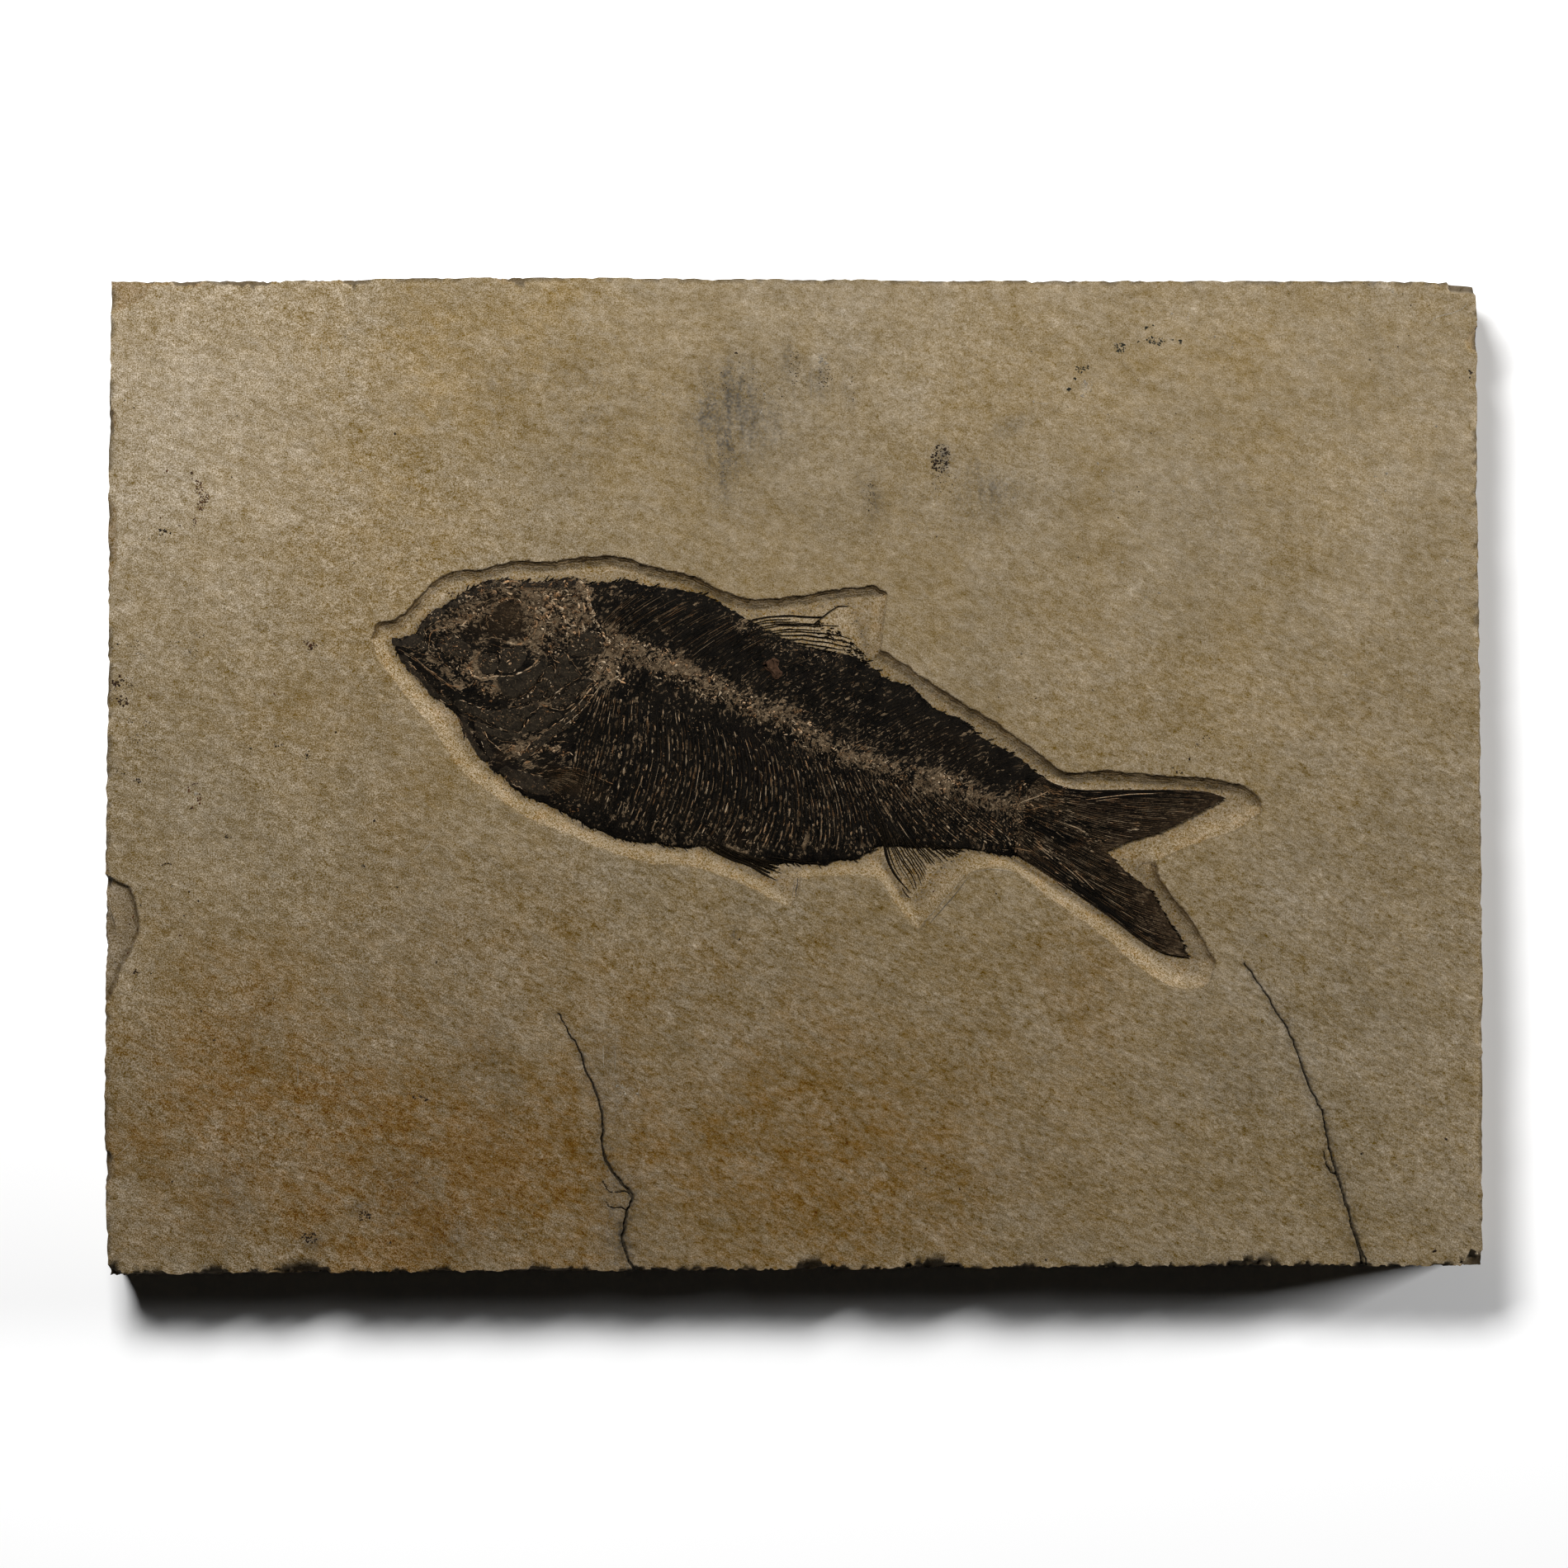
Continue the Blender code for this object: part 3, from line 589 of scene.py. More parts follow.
flakes = {    # outline in pixels, drop at the edge, further drop for each metre inward, width of the edge
    "topLeft": (
        (
            (120, 378), (134, 379), (148, 376), (155, 371), (167, 366), (174, 362), (178, 357), (181, 349),
            (186, 345), (192, 344), (197, 346), (205, 344), (210, 340), (212, 328), (120, 328),
        ),
        0.0005, 0.02, 0.0004,
    ),
    "topStripA": (
        ((214, 328), (214, 341), (222, 346), (232, 349), (241, 347), (247, 342), (249, 328)), 0.0005, 0.1,
        0.0003,
    ),
    "topStripB": (
        (
            (273, 328), (274, 338), (279, 344), (293, 347), (306, 344), (316, 343), (320, 345), (331, 343),
            (341, 340), (350, 336), (353, 328),
        ),
        0.0005, 0.1, 0.0003,
    ),
    "topStripC": (
        ((375, 328), (377, 338), (383, 342), (394, 343), (406, 341), (415, 343), (433, 340), (437, 328)),
        0.0004, 0.1, 0.0003,
    ),
    "topStripD": (
        ((600, 326), (602, 340), (612, 345), (622, 342), (632, 338), (634, 326)), 0.0004, 0.1, 0.0003,
    ),
    "leftScar": (
        (
            (110, 1061), (127, 1062), (137, 1065), (148, 1070), (157, 1074), (160, 1081), (165, 1095),
            (168, 1111), (169, 1127), (165, 1138), (161, 1150), (153, 1162), (145, 1178), (141, 1193),
            (134, 1210), (126, 1219), (110, 1222),
        ),
        0.00125, 0.0, 0.0008,
    ),
    "leftScarOuter": (
        (
            (110, 1084), (125, 1088), (132, 1106), (136, 1119), (139, 1132), (134, 1148), (132, 1162),
            (129, 1176), (110, 1180),
        ),
        0.0008, 0.12, 0.0007,
    ),
    "leftFacet": (((110, 1020), (126, 1026), (130, 1044), (133, 1060), (110, 1064)), 0.0004, 0.12, 0.0005),
    "leftUpper": (
        ((110, 484), (133, 489), (142, 505), (142, 515), (136, 522), (110, 526)), 0.0004, 0.08, 0.0004,
    ),
    "leftEdge": (
        ((110, 598), (133, 601), (141, 617), (142, 649), (141, 680), (133, 706), (110, 710)), 0.0004, 0.1,
        0.0005,
    ),
    "leftLow": (
        ((110, 1393), (134, 1395), (139, 1410), (137, 1430), (132, 1440), (110, 1442)), 0.0006, 0.1, 0.0005,
    ),
    "rightNick": (
        (
            (1800, 392), (1786, 396), (1780, 403), (1776, 412), (1776, 419), (1780, 423), (1782, 427),
            (1800, 427),
        ),
        0.0006, 0.12, 0.0006,
    ),
    "bottomRight": (
        ((1768, 1550), (1772, 1533), (1782, 1526), (1799, 1518), (1810, 1550)), 0.0007, 0.1, 0.0005,
    ),
}


def slabSheet(columns, rows):
    # The slab's outline as a patch stretched between its four worn edges
    def edgeOf(key, count, inward, seed):
        run = readAlong(smoothRun(slabForm[key]), np.linspace(0, 1, count + 1))
        bite = np.clip(softNoise(run, 0.004, seed) + softNoise(run, 0.0016, seed + 1), -0.2, 2) + 0.2
        bite[[0, -1]] = 0
        return run + np.outer(bite * slabForm["wear"], inward)

    upper = edgeOf("upper", columns, (0, -1), 3)
    lower = edgeOf("lower", columns, (0, 1), 5)
    left = edgeOf("left", rows, (1, 0), 7)
    right = edgeOf("right", rows, (-1, 0), 9)

    def place(u, v):
        column = np.rint(u * columns).astype(int)
        row = np.rint(v * rows).astype(int)
        u = u[:, None]
        v = v[:, None]
        spot = lower[column] * (1 - v) + upper[column] * v + left[row] * (1 - u) + right[row] * u
        spot -= (lower[0] * (1 - u) + lower[-1] * u) * (1 - v)
        return spot - (upper[0] * (1 - u) + upper[-1] * u) * v

    return place


def crackField(where):
    # Signed distance to the nearest crack, in half widths of its gap
    nearest = np.full(len(where), 40.0)
    for number, (run, thin, wide) in enumerate(cracks.values()):
        line = wobbly(smoothRun(fromPhoto(run), 12), 0.0022, 0.00034, 70 + number)
        line = wobbly(line, 0.0008, 0.00016, 75 + number)
        gap, side, _ = lineField(where, line)
        ends = lineField(where, line[:2])[0] + lineField(where, line[-2:])[0]
        share = lineField(where, line[:2])[0] / np.maximum(ends, 1e-6)
        uneven = 1 + 0.4 * softNoise(where, 0.003, 80 + number) + 0.35 * softNoise(where, 0.001, 86 + number)
        half = (thin + (wide - thin) * share) / 2 * np.clip(uneven, 0.35, 2)
        signed = side * gap / half
        nearer = np.abs(signed) < np.abs(nearest)
        nearest[nearer] = signed[nearer]
    return nearest


def cellNeeded(where):
    # How fine the grid has to be at each place
    need = np.full(len(where), slabForm["cell"])
    depth, toFish, wall, lean = roomAround(where)
    need[(depth > -0.0022) & (toFish > 0)] = slabForm["cell"] / 2
    need[(depth > -0.0008) & (depth < wall + 0.0005) & (toFish > 0)] = slabForm["cell"] / 4
    for crack in cracks.values():
        gap = lineField(where, smoothRun(fromPhoto(crack[0]), 4))[0]
        need[gap < 0.0026] = slabForm["cell"] / 4
        need[gap < 0.0009] = slabForm["cell"] / 8
    for name, flake in flakes.items():
        gap = lineField(where, fromPhoto(flake[0]))[0]
        need[gap < (0.0022 if "Scar" in name else 0.0010)] = slabForm["cell"] / 4
    low = lineField(where, smoothRun(slabForm["lower"]))[0]
    need[low < 0.0012] = slabForm["cell"] / 4
    return need


def topHeights(where):
    # Height of the split face, with everything cut or broken into it, and what the finish reads
    lower = eased(0.05, -0.05, where[:, 1])
    height = 0.00006 * np.sin(where[:, 0] * 34 + where[:, 1] * 21 + 0.7)
    height += 0.00004 * np.sin(where[:, 1] * 47 - where[:, 0] * 15)
    height += 0.00006 * softNoise(where, 0.0110, 13, 1.5, -15)
    height += (0.00004 + 0.00004 * lower) * softNoise(where, 0.0046, 11, 1.8, -24)
    height += (0.00003 + 0.00004 * lower) * softNoise(where, 0.0024, 12, 1.7, -27)
    height = np.minimum(slabForm["top"] + height, slabForm["highest"])

    scooped = np.zeros(len(where))
    fresh = np.zeros(len(where))
    draw = np.random.default_rng(31)
    small = []
    for edge, count in (("upper", 70), ("lower", 110), ("left", 60), ("right", 60)):
        run = readAlong(smoothRun(slabForm[edge]), draw.uniform(0.01, 0.99, count))
        for x, y in run:
            long = draw.uniform(0.0008, 0.0036)
            deep = draw.uniform(0.0003, 0.0009) * (1.5 if edge == "lower" else 1.0)
            reach = (long, deep) if edge in ("upper", "lower") else (deep, long)
            small.append((x, y, *reach, deep * draw.uniform(0.6, 1.3)))
    for x, y, reachX, reachY, deep in chips + tuple(small):
        offset = (where - (x, y)) / (reachX, reachY)
        ragged = 1 + 0.30 * softNoise(where, 0.0014, 33)
        share = np.hypot(*offset.T) * ragged
        scoop = deep * np.sqrt(np.clip(1 - share ** 2, 0, 1))
        height -= scoop * (share < 1)
        scooped = np.maximum(scooped, (share < 1) * 1.0)
    for name, (outline, drop, slope, edge) in flakes.items():
        inside = depthInside(where, fromPhoto(outline)) + 0.00022 * softNoise(where, 0.0016, 34)
        sink = (drop + slope * np.clip(inside, 0, 0.010)) * eased(0, edge, inside)
        height -= sink * (1 + 0.12 * softNoise(where, 0.0030, 35))
        if name == "leftScar":
            crumbling = inside + 0.0005 * softNoise(where, 0.0013, 36)
            scarFloor = eased(0.0009, 0.0017, crumbling)
            scarWall = eased(-0.0003, 0.0001, inside) * eased(0.0021, 0.0010, crumbling)
        else:
            fresh = np.maximum(fresh, eased(0, edge / 2, inside))

    crack = crackField(where)
    height -= 0.00110 * np.clip(1 - np.abs(crack), 0, 1) ** 0.7
    height -= 0.00006 * np.exp(-np.abs(crack) / 9) * (crack > 0)

    depth, toFish, wall, lean = roomAround(where)
    share = np.clip(depth / wall, 0, 1)
    waver = share + 0.10 * softNoise(where, 0.0030, 43)
    ledges = 0.30 * eased(0, 0.12, share) + 0.26 * eased(0.22, 0.42, waver) + 0.24 * eased(0.50, 0.72, waver)
    ledges += 0.20 * eased(0.62, 1, share)
    slope = 0.16 * eased(0, 0.10, share) + 0.84 * eased(0.0, 1, share)
    drop = ledges * (1 - lean) + slope * lean
    floor = trench["floor"] + 0.00006 * softNoise(where, 0.0019, 41) + 0.00005 * softNoise(where, 0.0008, 42)
    height = height * (1 - drop) + floor * drop
    smudge = blobs(where, stainsAndRimShade["smudge"], 0.004) + 0.40 * np.exp(-np.abs(crack) / 6)
    return height, {
        "cut": eased(-0.0001, 0.0003, depth),
        "wallShare": np.clip(depth / wall, -3, 4),
        "wallLean": lean,
        "rimLine": np.clip(0.42 + blobs(where, stainsAndRimShade["rimLine"], 0.003), 0, 1),
        "nearFish": np.exp(-toFish / 0.0016) * (toFish > 0) * (depth > 0),
        "crack": np.clip(crack, -12, 12),
        "crackNear": eased(10, 6, np.abs(crack)),
        "scooped": scooped,
        "fresh": fresh,
        "scarFloor": scarFloor,
        "scarWall": scarWall,
        "ochre": np.clip(blobs(where, stainsAndRimShade["ochre"], 0.012), 0, 1.2),
        "smudge": np.clip(smudge, 0, 1.2),
        "pale": np.clip(blobs(where, stainsAndRimShade["pale"], 0.006), -1, 1),
    }


stainsAndRimShade = {    # pixel place, reach along X and Y in pixels, turn in degrees, strength
    # rimLine: strength of the dark lines on the steep trench walls, partly bedding and partly painted shade
    "rimLine": (
        (500, 735, 60, 50, 0, 0.45), (600, 690, 60, 30, 0, 0.35), (700, 670, 90, 40, 0, 0.4),
        (860, 690, 120, 50, 0, 0.5), (1030, 715, 80, 40, 0, 0.55), (1180, 850, 90, 70, 0, 0.3),
        (1300, 925, 90, 30, 0, 0.35), (1440, 940, 70, 40, 0, 0.5), (1425, 1090, 40, 80, 0, 0.15),
        (1075, 760, 20, 40, 0, 0.2),
    ),
    "ochre": (
        (620, 1430, 620, 230, 0, 0.4), (330, 1330, 190, 150, 10, 0.28), (420, 1430, 130, 120, 0, 0.48),
        (500, 1330, 90, 80, 30, 0.15), (690, 1440, 60, 110, 0, 0.38), (620, 1400, 90, 80, 30, 0.26),
        (190, 1360, 70, 160, 0, 0.22), (720, 1170, 160, 60, 0, 0.1), (860, 1420, 120, 90, 0, 0.2),
        (960, 1300, 120, 80, 0, 0.14), (1120, 1440, 140, 80, 0, 0.12), (560, 430, 120, 60, 10, 0.34),
        (640, 370, 80, 30, 0, 0.22), (470, 520, 80, 110, 30, 0.22), (450, 640, 70, 60, 20, 0.18),
        (560, 640, 70, 50, 0, 0.14), (420, 830, 120, 80, 20, 0.16), (560, 1130, 160, 70, 20, 0.16),
        (490, 1010, 60, 70, 0, 0.14), (1330, 1230, 60, 60, 0, 0.14), (1290, 1180, 50, 50, 0, 0.18),
        (900, 1230, 70, 60, 0, 0.12), (1480, 480, 220, 80, 0, 0.05), (1620, 820, 60, 120, 0, 0.12),
        (1350, 800, 120, 80, 0, 0.08), (235, 605, 40, 30, 0, 0.1), (960, 1350, 260, 160, 0, 0.13),
        (820, 1150, 220, 80, 0, 0.03), (1130, 1460, 160, 90, 0, 0.08),
    ),
    "smudge": (
        (890, 480, 46, 50, 0, 0.4), (962, 440, 12, 34, 0, 0.45), (1000, 460, 16, 26, 0, 0.45),
        (930, 520, 50, 40, 0, 0.22), (882, 555, 16, 50, 0, 0.3), (860, 520, 40, 70, 0, 0.22),
        (1034, 470, 8, 40, 0, 0.22), (1053, 600, 10, 30, 0, 0.3), (900, 610, 50, 60, 0, 0.16),
        (1250, 600, 90, 50, 0, 0.12), (1235, 513, 40, 12, 15, 0.24), (690, 455, 40, 20, 0, 0.16),
        (740, 500, 60, 60, 0, 0.16), (690, 540, 40, 60, 0, 0.12), (1140, 555, 14, 24, 0, 0.55),
        (1205, 600, 26, 40, 20, 0.25), (1150, 620, 60, 50, 0, 0.16), (1060, 600, 60, 60, 0, 0.12),
        (1500, 650, 80, 60, 0, 0.12), (1450, 600, 60, 50, 0, 0.1), (375, 1500, 12, 9, 0, 0.7),
        (441, 1473, 9, 7, 0, 0.7), (500, 1440, 60, 40, 20, 0.18), (745, 1300, 22, 70, 15, 0.22),
        (590, 1290, 46, 90, 25, 0.2), (560, 1500, 60, 40, 20, 0.22), (742, 1480, 20, 50, 0, 0.25),
        (1500, 1300, 80, 160, 10, 0.12), (1640, 1180, 80, 120, 0, 0.1), (280, 1440, 30, 50, 0, 0.22),
        (320, 1250, 30, 25, 0, 0.16), (600, 470, 30, 40, 0, 0.18), (895, 1138, 5, 7, 0, 0.8),
        (1655, 343, 8, 5, 0, 0.7), (1780, 358, 6, 5, 0, 0.8), (1690, 430, 60, 40, 0, 0.1),
    ),
    "pale": (
        (250, 450, 220, 150, 0, 0.5), (180, 620, 170, 200, 0, 0.38), (1000, 370, 300, 70, 0, 0.14),
        (694, 382, 8, 14, 0, 0.5), (712, 394, 16, 10, 30, 0.4), (740, 358, 22, 9, 45, 0.4),
        (702, 412, 10, 12, 0, 0.4), (998, 436, 9, 7, 0, 0.5), (1437, 383, 8, 7, 0, 0.5),
        (780, 1170, 160, 50, 0, 0.14), (1150, 400, 120, 60, 0, 0.12), (1300, 540, 90, 40, 20, 0.12),
        (250, 1060, 120, 90, 0, 0.18), (1676, 343, 14, 5, 0, 0.7), (1685, 350, 6, 8, 0, 0.6),
        (995, 435, 5, 8, 0, 0.6), (1314, 464, 6, 7, 0, 0.9), (1123, 1426, 9, 9, 0, 0.35),
        (1388, 727, 8, 6, 0, 0.9), (373, 781, 6, 6, 0, 0.6), (1530, 1140, 120, 80, 0, 0.12),
        (640, 1210, 60, 40, 0, 0.2), (1780, 1300, 120, 200, 0, 0.12), (145, 1140, 16, 60, 0, 0.35),
    ),
}


def buildSlab():
    width = slabForm["right"][0][0] - slabForm["left"][0][0]
    depth = slabForm["upper"][0][1] - slabForm["lower"][0][1]
    columns = round(width / slabForm["cell"])
    rows = round(depth / slabForm["cell"])
    bm = bmesh.new()
    bmesh.ops.create_grid(bm, x_segments=columns, y_segments=rows, size=0.5)
    spread = np.array([vertex.co[:2] for vertex in bm.verts]) + 0.5
    for vertex, spot in zip(bm.verts, slabSheet(columns, rows)(spread[:, 0], spread[:, 1])):
        vertex.co.xy = spot
    for level in range(3):
        faces = bm.faces[:]
        centres = np.array([face.calc_center_median()[:2] for face in faces])
        size = np.sqrt([face.calc_area() for face in faces])
        coarse = size > 1.4 * cellNeeded(centres)
        edges = {edge for face, split in zip(faces, coarse) if split for edge in face.edges}
        bmesh.ops.subdivide_edges(bm, edges=list(edges), cuts=1, use_grid_fill=True)
        print("stone grid, cut", level + 1, len(bm.faces), "faces")

    # small bites out of the edges
    reach = np.abs([vertex.co[:2] for vertex in bm.verts]).max(axis=0)
    rim = [vertex for vertex in bm.verts if vertex.is_boundary]
    spots = np.array([vertex.co[:2] for vertex in rim])
    out = (spots / reach) ** 41
    out /= np.maximum(np.linalg.norm(out, axis=1, keepdims=True), 1e-9)
    bite = 0.5 * softNoise(spots, 0.0017, 15) + 0.5 * softNoise(spots, 0.0007, 16)
    bite = np.clip(bite + 0.15, 0, 2) * np.where(out[:, 1] < -0.7, 0.0012, 0.0005)
    for vertex, spot in zip(rim, spots - out * bite[:, None]):
        vertex.co.xy = spot

    where = np.array([vertex.co[:2] for vertex in bm.verts])
    height, finish = topHeights(where)
    layers = {name: bm.verts.layers.float.new(name) for name in finish}
    side = bm.verts.layers.float.new("side")
    home = bm.verts.layers.float_vector.new("home")
    for vertex, spot, z in zip(bm.verts, where, height):
        vertex.co.z = z
        vertex[home] = (*spot, z)
    for name, layer in layers.items():
        for vertex, value in zip(bm.verts, finish[name]):
            vertex[layer] = value

    # The sides hang from the border in rows, rough and bedded
    border = [edge for edge in bm.edges if edge.is_boundary]
    bedding = np.random.default_rng(8).uniform(0, 1, slabForm["sideRows"] + 1)
    for row in range(1, slabForm["sideRows"] + 1):
        drawn = bmesh.ops.extrude_edge_only(bm, edges=border)["geom"]
        border = [item for item in drawn if isinstance(item, bmesh.types.BMEdge)]
        ring = [item for item in drawn if isinstance(item, bmesh.types.BMVert)]
        homes = np.array([vertex[home][:] for vertex in ring])
        out = (homes[:, :2] / reach) ** 21
        out /= np.maximum(np.linalg.norm(out, axis=1, keepdims=True), 1e-9)
        share = row / slabForm["sideRows"]
        run = np.column_stack([homes[:, 0] + homes[:, 1], np.full(len(ring), 0.02 * share)])
        inset = 0.0002 + 0.0007 * bedding[row] + 0.0012 * share ** 3
        inset = inset + slabForm["sideRelief"] * (0.5 + 0.5 * softNoise(run, 0.006, 50, 2.5))
        inset += 0.0004 * (0.5 + 0.5 * softNoise(run, 0.0022, 51 + row))
        level = homes[:, 2] * (1 - share) + 0.0004 * softNoise(run, 0.01, 90 + row) * (share < 1)
        spots = homes[:, :2] - out * (inset * min(1, row / 2))[:, None]
        for vertex, spot, z in zip(ring, spots, level):
            vertex.co = (*spot, max(z, 0) if row < slabForm["sideRows"] else 0)
            vertex[side] = 1

    # The underside is one face, cut into a loose grid and roughened
    base = bmesh.ops.contextual_create(bm, geom=border)["faces"]
    faces = set(base)
    for axis in (0, 1):
        normal = (1, 0, 0) if axis == 0 else (0, 1, 0)
        for step in np.arange(-reach[axis] + 0.006, reach[axis] - 0.004, slabForm["backCell"]):
            geom = list(faces) + list({edge for face in faces for edge in face.edges})
            geom += list({vertex for face in faces for vertex in face.verts})
            point = tuple(step * value for value in normal)
            cut = bmesh.ops.bisect_plane(bm, geom=geom, plane_co=point, plane_no=normal, dist=1e-6)
            faces = {item for item in cut["geom"] if isinstance(item, bmesh.types.BMFace)}
    corners = {vertex for face in faces for vertex in face.verts}
    inner = [vertex for vertex in corners if all(f in faces for f in vertex.link_faces)]
    spots = np.array([vertex.co[:2] for vertex in inner])
    lift = 0.00022 * (0.5 + 0.5 * softNoise(spots, 0.020, 95)) * (softNoise(spots, 0.017, 96) > -0.4)
    for vertex, z in zip(inner, lift):
        vertex.co.z = z
    bmesh.ops.triangulate(bm, faces=[face for face in bm.faces if len(face.verts) > 4])
    bmesh.ops.recalc_face_normals(bm, faces=bm.faces)
    mesh = meshFrom("limestoneSlab", bm)
    keepMesh("limestoneSlab", mesh, limestone(), "limestone_slab")
    mesh.set_sharp_from_angle(angle=math.radians(50))
    corners = [vertex.co[:] for vertex in mesh.vertices]
    return BVHTree.FromPolygons(corners, [face.vertices[:] for face in mesh.polygons])


def limestone():
    tones = {
        "tan": (0.129, 0.0985, 0.0582),
        "warm": (0.138, 0.0990, 0.0495),
        "pale": (0.183, 0.149, 0.103),
        "ochre": (0.102, 0.0570, 0.0155),
        "honey": (0.138, 0.094, 0.039),
        "smudge": (0.044, 0.038, 0.030),
        "cut": (0.152, 0.112, 0.063),
        "scraped": (0.170, 0.112, 0.052),
        # painted shade for the steep walls that face away from the light
        "wall": (0.052, 0.028, 0.007),
        "fresh": (0.112, 0.076, 0.037),
        "scar": (0.131, 0.0985, 0.0600),
        "scarWall": (0.040, 0.0255, 0.0110),
        # the sides' dark colour, partly painted shade
        "side": (0.024, 0.018, 0.010),
        "crackShade": (0.0120, 0.0095, 0.0060),
    }
    made = startMaterial("limestone")
    place = addNode("TexCoord").outputs["Object"]
    parts = addNode("SeparateXYZ", {"Vector": place})
    acrossSlab, upSlab = Number(parts.outputs["X"]), Number(parts.outputs["Y"])
    lower = rangeOf(upSlab, 0.1, -0.05)
    leftward = rangeOf(acrossSlab, -0.02, -0.14)
    # the lumps run down to the right over the lower right, and lie nearly level up the left
    slant = rangeOf(upSlab - acrossSlab * 0.4, 0.1, -0.03)
    levelLumps = noiseOf(mappedTo(place, 6, (1.25, 1.0, 1.0)), 830, 4, 0.66, 0.3)
    slantLumps = noiseOf(mappedTo(place, -27, (1.8, 1.0, 1.0)), 850, 4, 0.66, 0.3)
    lumps = blendOf(slant, levelLumps, slantLumps)
    mottle = noiseOf(mappedTo(place, -18, (1.45, 1.0, 1.0)), 360, 3, 0.6, 0.3)
    blotch = noiseOf(mappedTo(place, -12, (1.5, 1.0, 1.0)), 75, 3, 0.55)
    broad = noiseOf(place, 24, 2, 0.5)
    soak = noiseOf(mappedTo(place, -20, (1.5, 1.0, 1.0)), 290, 4, 0.66, 0.3)
    grit = noiseOf(place, 2500, 2, 0.7)
    crumbs = noiseOf(place, 1250, 3, 0.68)
    cut = valueOf("cut")
    colour = mixOf(rangeOf(broad, 0.4, 0.6, 0, 0.45), tones["tan"], tones["warm"])
    colour = mixOf(rangeOf(valueOf("pale"), 0, 1), colour, tones["pale"])
    # ochre soaks in unevenly, and is honey coloured up the slab
    ochre = valueOf("ochre") * rangeOf(broad, 0.38, 0.62, 0.7, 1.3)
    ochre = ochre * rangeOf(soak, 0.32, 0.68, 0.5, 1.55)
    soaked = mixOf(lower, tones["honey"], tones["ochre"])
    colour = mixOf(mathOf("MINIMUM", ochre, 0.95), colour, soaked)
    streaks = noiseOf(mappedTo(place, 0, (1.0, 5.0, 1.0)), 420, 3, 0.6)
    smudge = valueOf("smudge") * rangeOf(streaks, 0.36, 0.64, 0.45, 1.0)
    smudge = smudge * rangeOf(crumbs, 0.36, 0.64, 0.35, 2.05)
    colour = mixOf(smudge, colour, tones["smudge"])
    # cut and broken faces
    colour = mixOf(cut * 0.85, colour, tones["cut"])
    scraped = cut * rangeOf(soak, 0.5, 0.66, 0, 0.55)
    colour = mixOf(scraped, colour, tones["scraped"])
    colour = mixOf(valueOf("fresh") * rangeOf(mottle, 0.4, 0.6, 0.35, 0.95), colour, tones["fresh"])
    # the old scar on the left edge: a smooth floor inside a crumbling brown wall
    scarFloor = valueOf("scarFloor")
    colour = mixOf(scarFloor * 0.8, colour, tones["scar"])
    crumbled = valueOf("scarWall") * rangeOf(crumbs, 0.4, 0.6, 0.35, 0.95)
    colour = mixOf(crumbled, colour, tones["scarWall"])
    # the tint drifts a little over a few millimetres
    drift = addNode("HueSaturation", {"Saturation": swungBy(soak, 0.38), "Color": colour}).outputs[0]
    colour = mixOf(rangeOf(cut, 0, 1, 1, 0.3), colour, drift)
    # tone: lumps, mottles and grit, stronger down the slab; painted light then makes it lighter up the slab
    # and to the right
    calm = mathOf("MAXIMUM", cut * 0.5, scarFloor * 0.6)
    upLeft = leftward * rangeOf(upSlab, -0.09, -0.02)
    swing = rangeOf(upLeft, 0, 1, 0.95, 1.2) * (1.0 - calm)
    tone = swungBy(lumps, rangeOf(lower, 0, 1, 0.9, 1.6) * swing)
    tone = tone * swungBy(mottle, swing * 1.05)
    tone = tone * swungBy(blotch, 0.62)
    gritSwing = rangeOf(leftward, 0, 1, 2.2, 3.8) + rangeOf(lower, 0, 1, 0, 0.3)
    tone = tone * swungBy(grit, gritSwing)
    gaps = rangeOf(lumps, 0.4, 0.28) * rangeOf(lower, 0, 1, 0.18, 0.26)
    tone = tone - gaps * rangeOf(cut, 0, 1, 1, 0.3)
    grains = (crumbs - 0.5) * (cut * 1.7)
    tone = mathOf("MAXIMUM", tone + grains, 0.4)
    # light and dark keep nearly the same tint, so the change of tone is greyer than the stone
    muted = addNode("HueSaturation", {"Saturation": 0.42, "Color": colour}).outputs[0]
    colour = mixOf(1.0, colour, tonedBy(muted, tone - 1.0), "ADD")
    # painted light: lighter up the slab and to the right, as if more light falls there
    paintedLightFall = rangeOf(upSlab, -0.03, 0.09, 1.02, 1.19) * rangeOf(acrossSlab, 0.02, 0.17, 1.0, 1.17)
    colour = tonedBy(colour, paintedLightFall)
    # small pale crystals
    sparks = addNode("TexVoronoi", {"Vector": place, "Scale": 210.0})
    spark = mathOf("GREATER_THAN", addNode("SeparateColor", {0: sparks.outputs["Color"]}).outputs[1], 0.9)
    spark = spark * rangeOf(sparks.outputs["Distance"], 0.05, 0.14, 0.55, 0)
    colour = mixOf(spark * rangeOf(lumps, 0.4, 0.6), colour, (0.25, 0.21, 0.155))
    # dark grains, and crumbs of the fish left on the trench floor
    for scale, size, rarity in ((110.0, 0.050, 0.90), (250.0, 0.070, 0.86), (560.0, 0.085, 0.92)):
        cells = addNode("TexVoronoi", {"Vector": place, "Scale": scale})
        dots = rangeOf(cells.outputs["Distance"], size * 0.45, size, 1, 0)
        pick = addNode("SeparateColor", {0: cells.outputs["Color"]}).outputs[0]
        dots = dots * mathOf("GREATER_THAN", pick, rarity)
        colour = mixOf(dots * 0.8, colour, (0.02, 0.014, 0.008))
    left = valueOf("nearFish") * rangeOf(crumbs, 0.46, 0.62)
    colour = mixOf(left * 0.85, colour, (0.026, 0.018, 0.01))
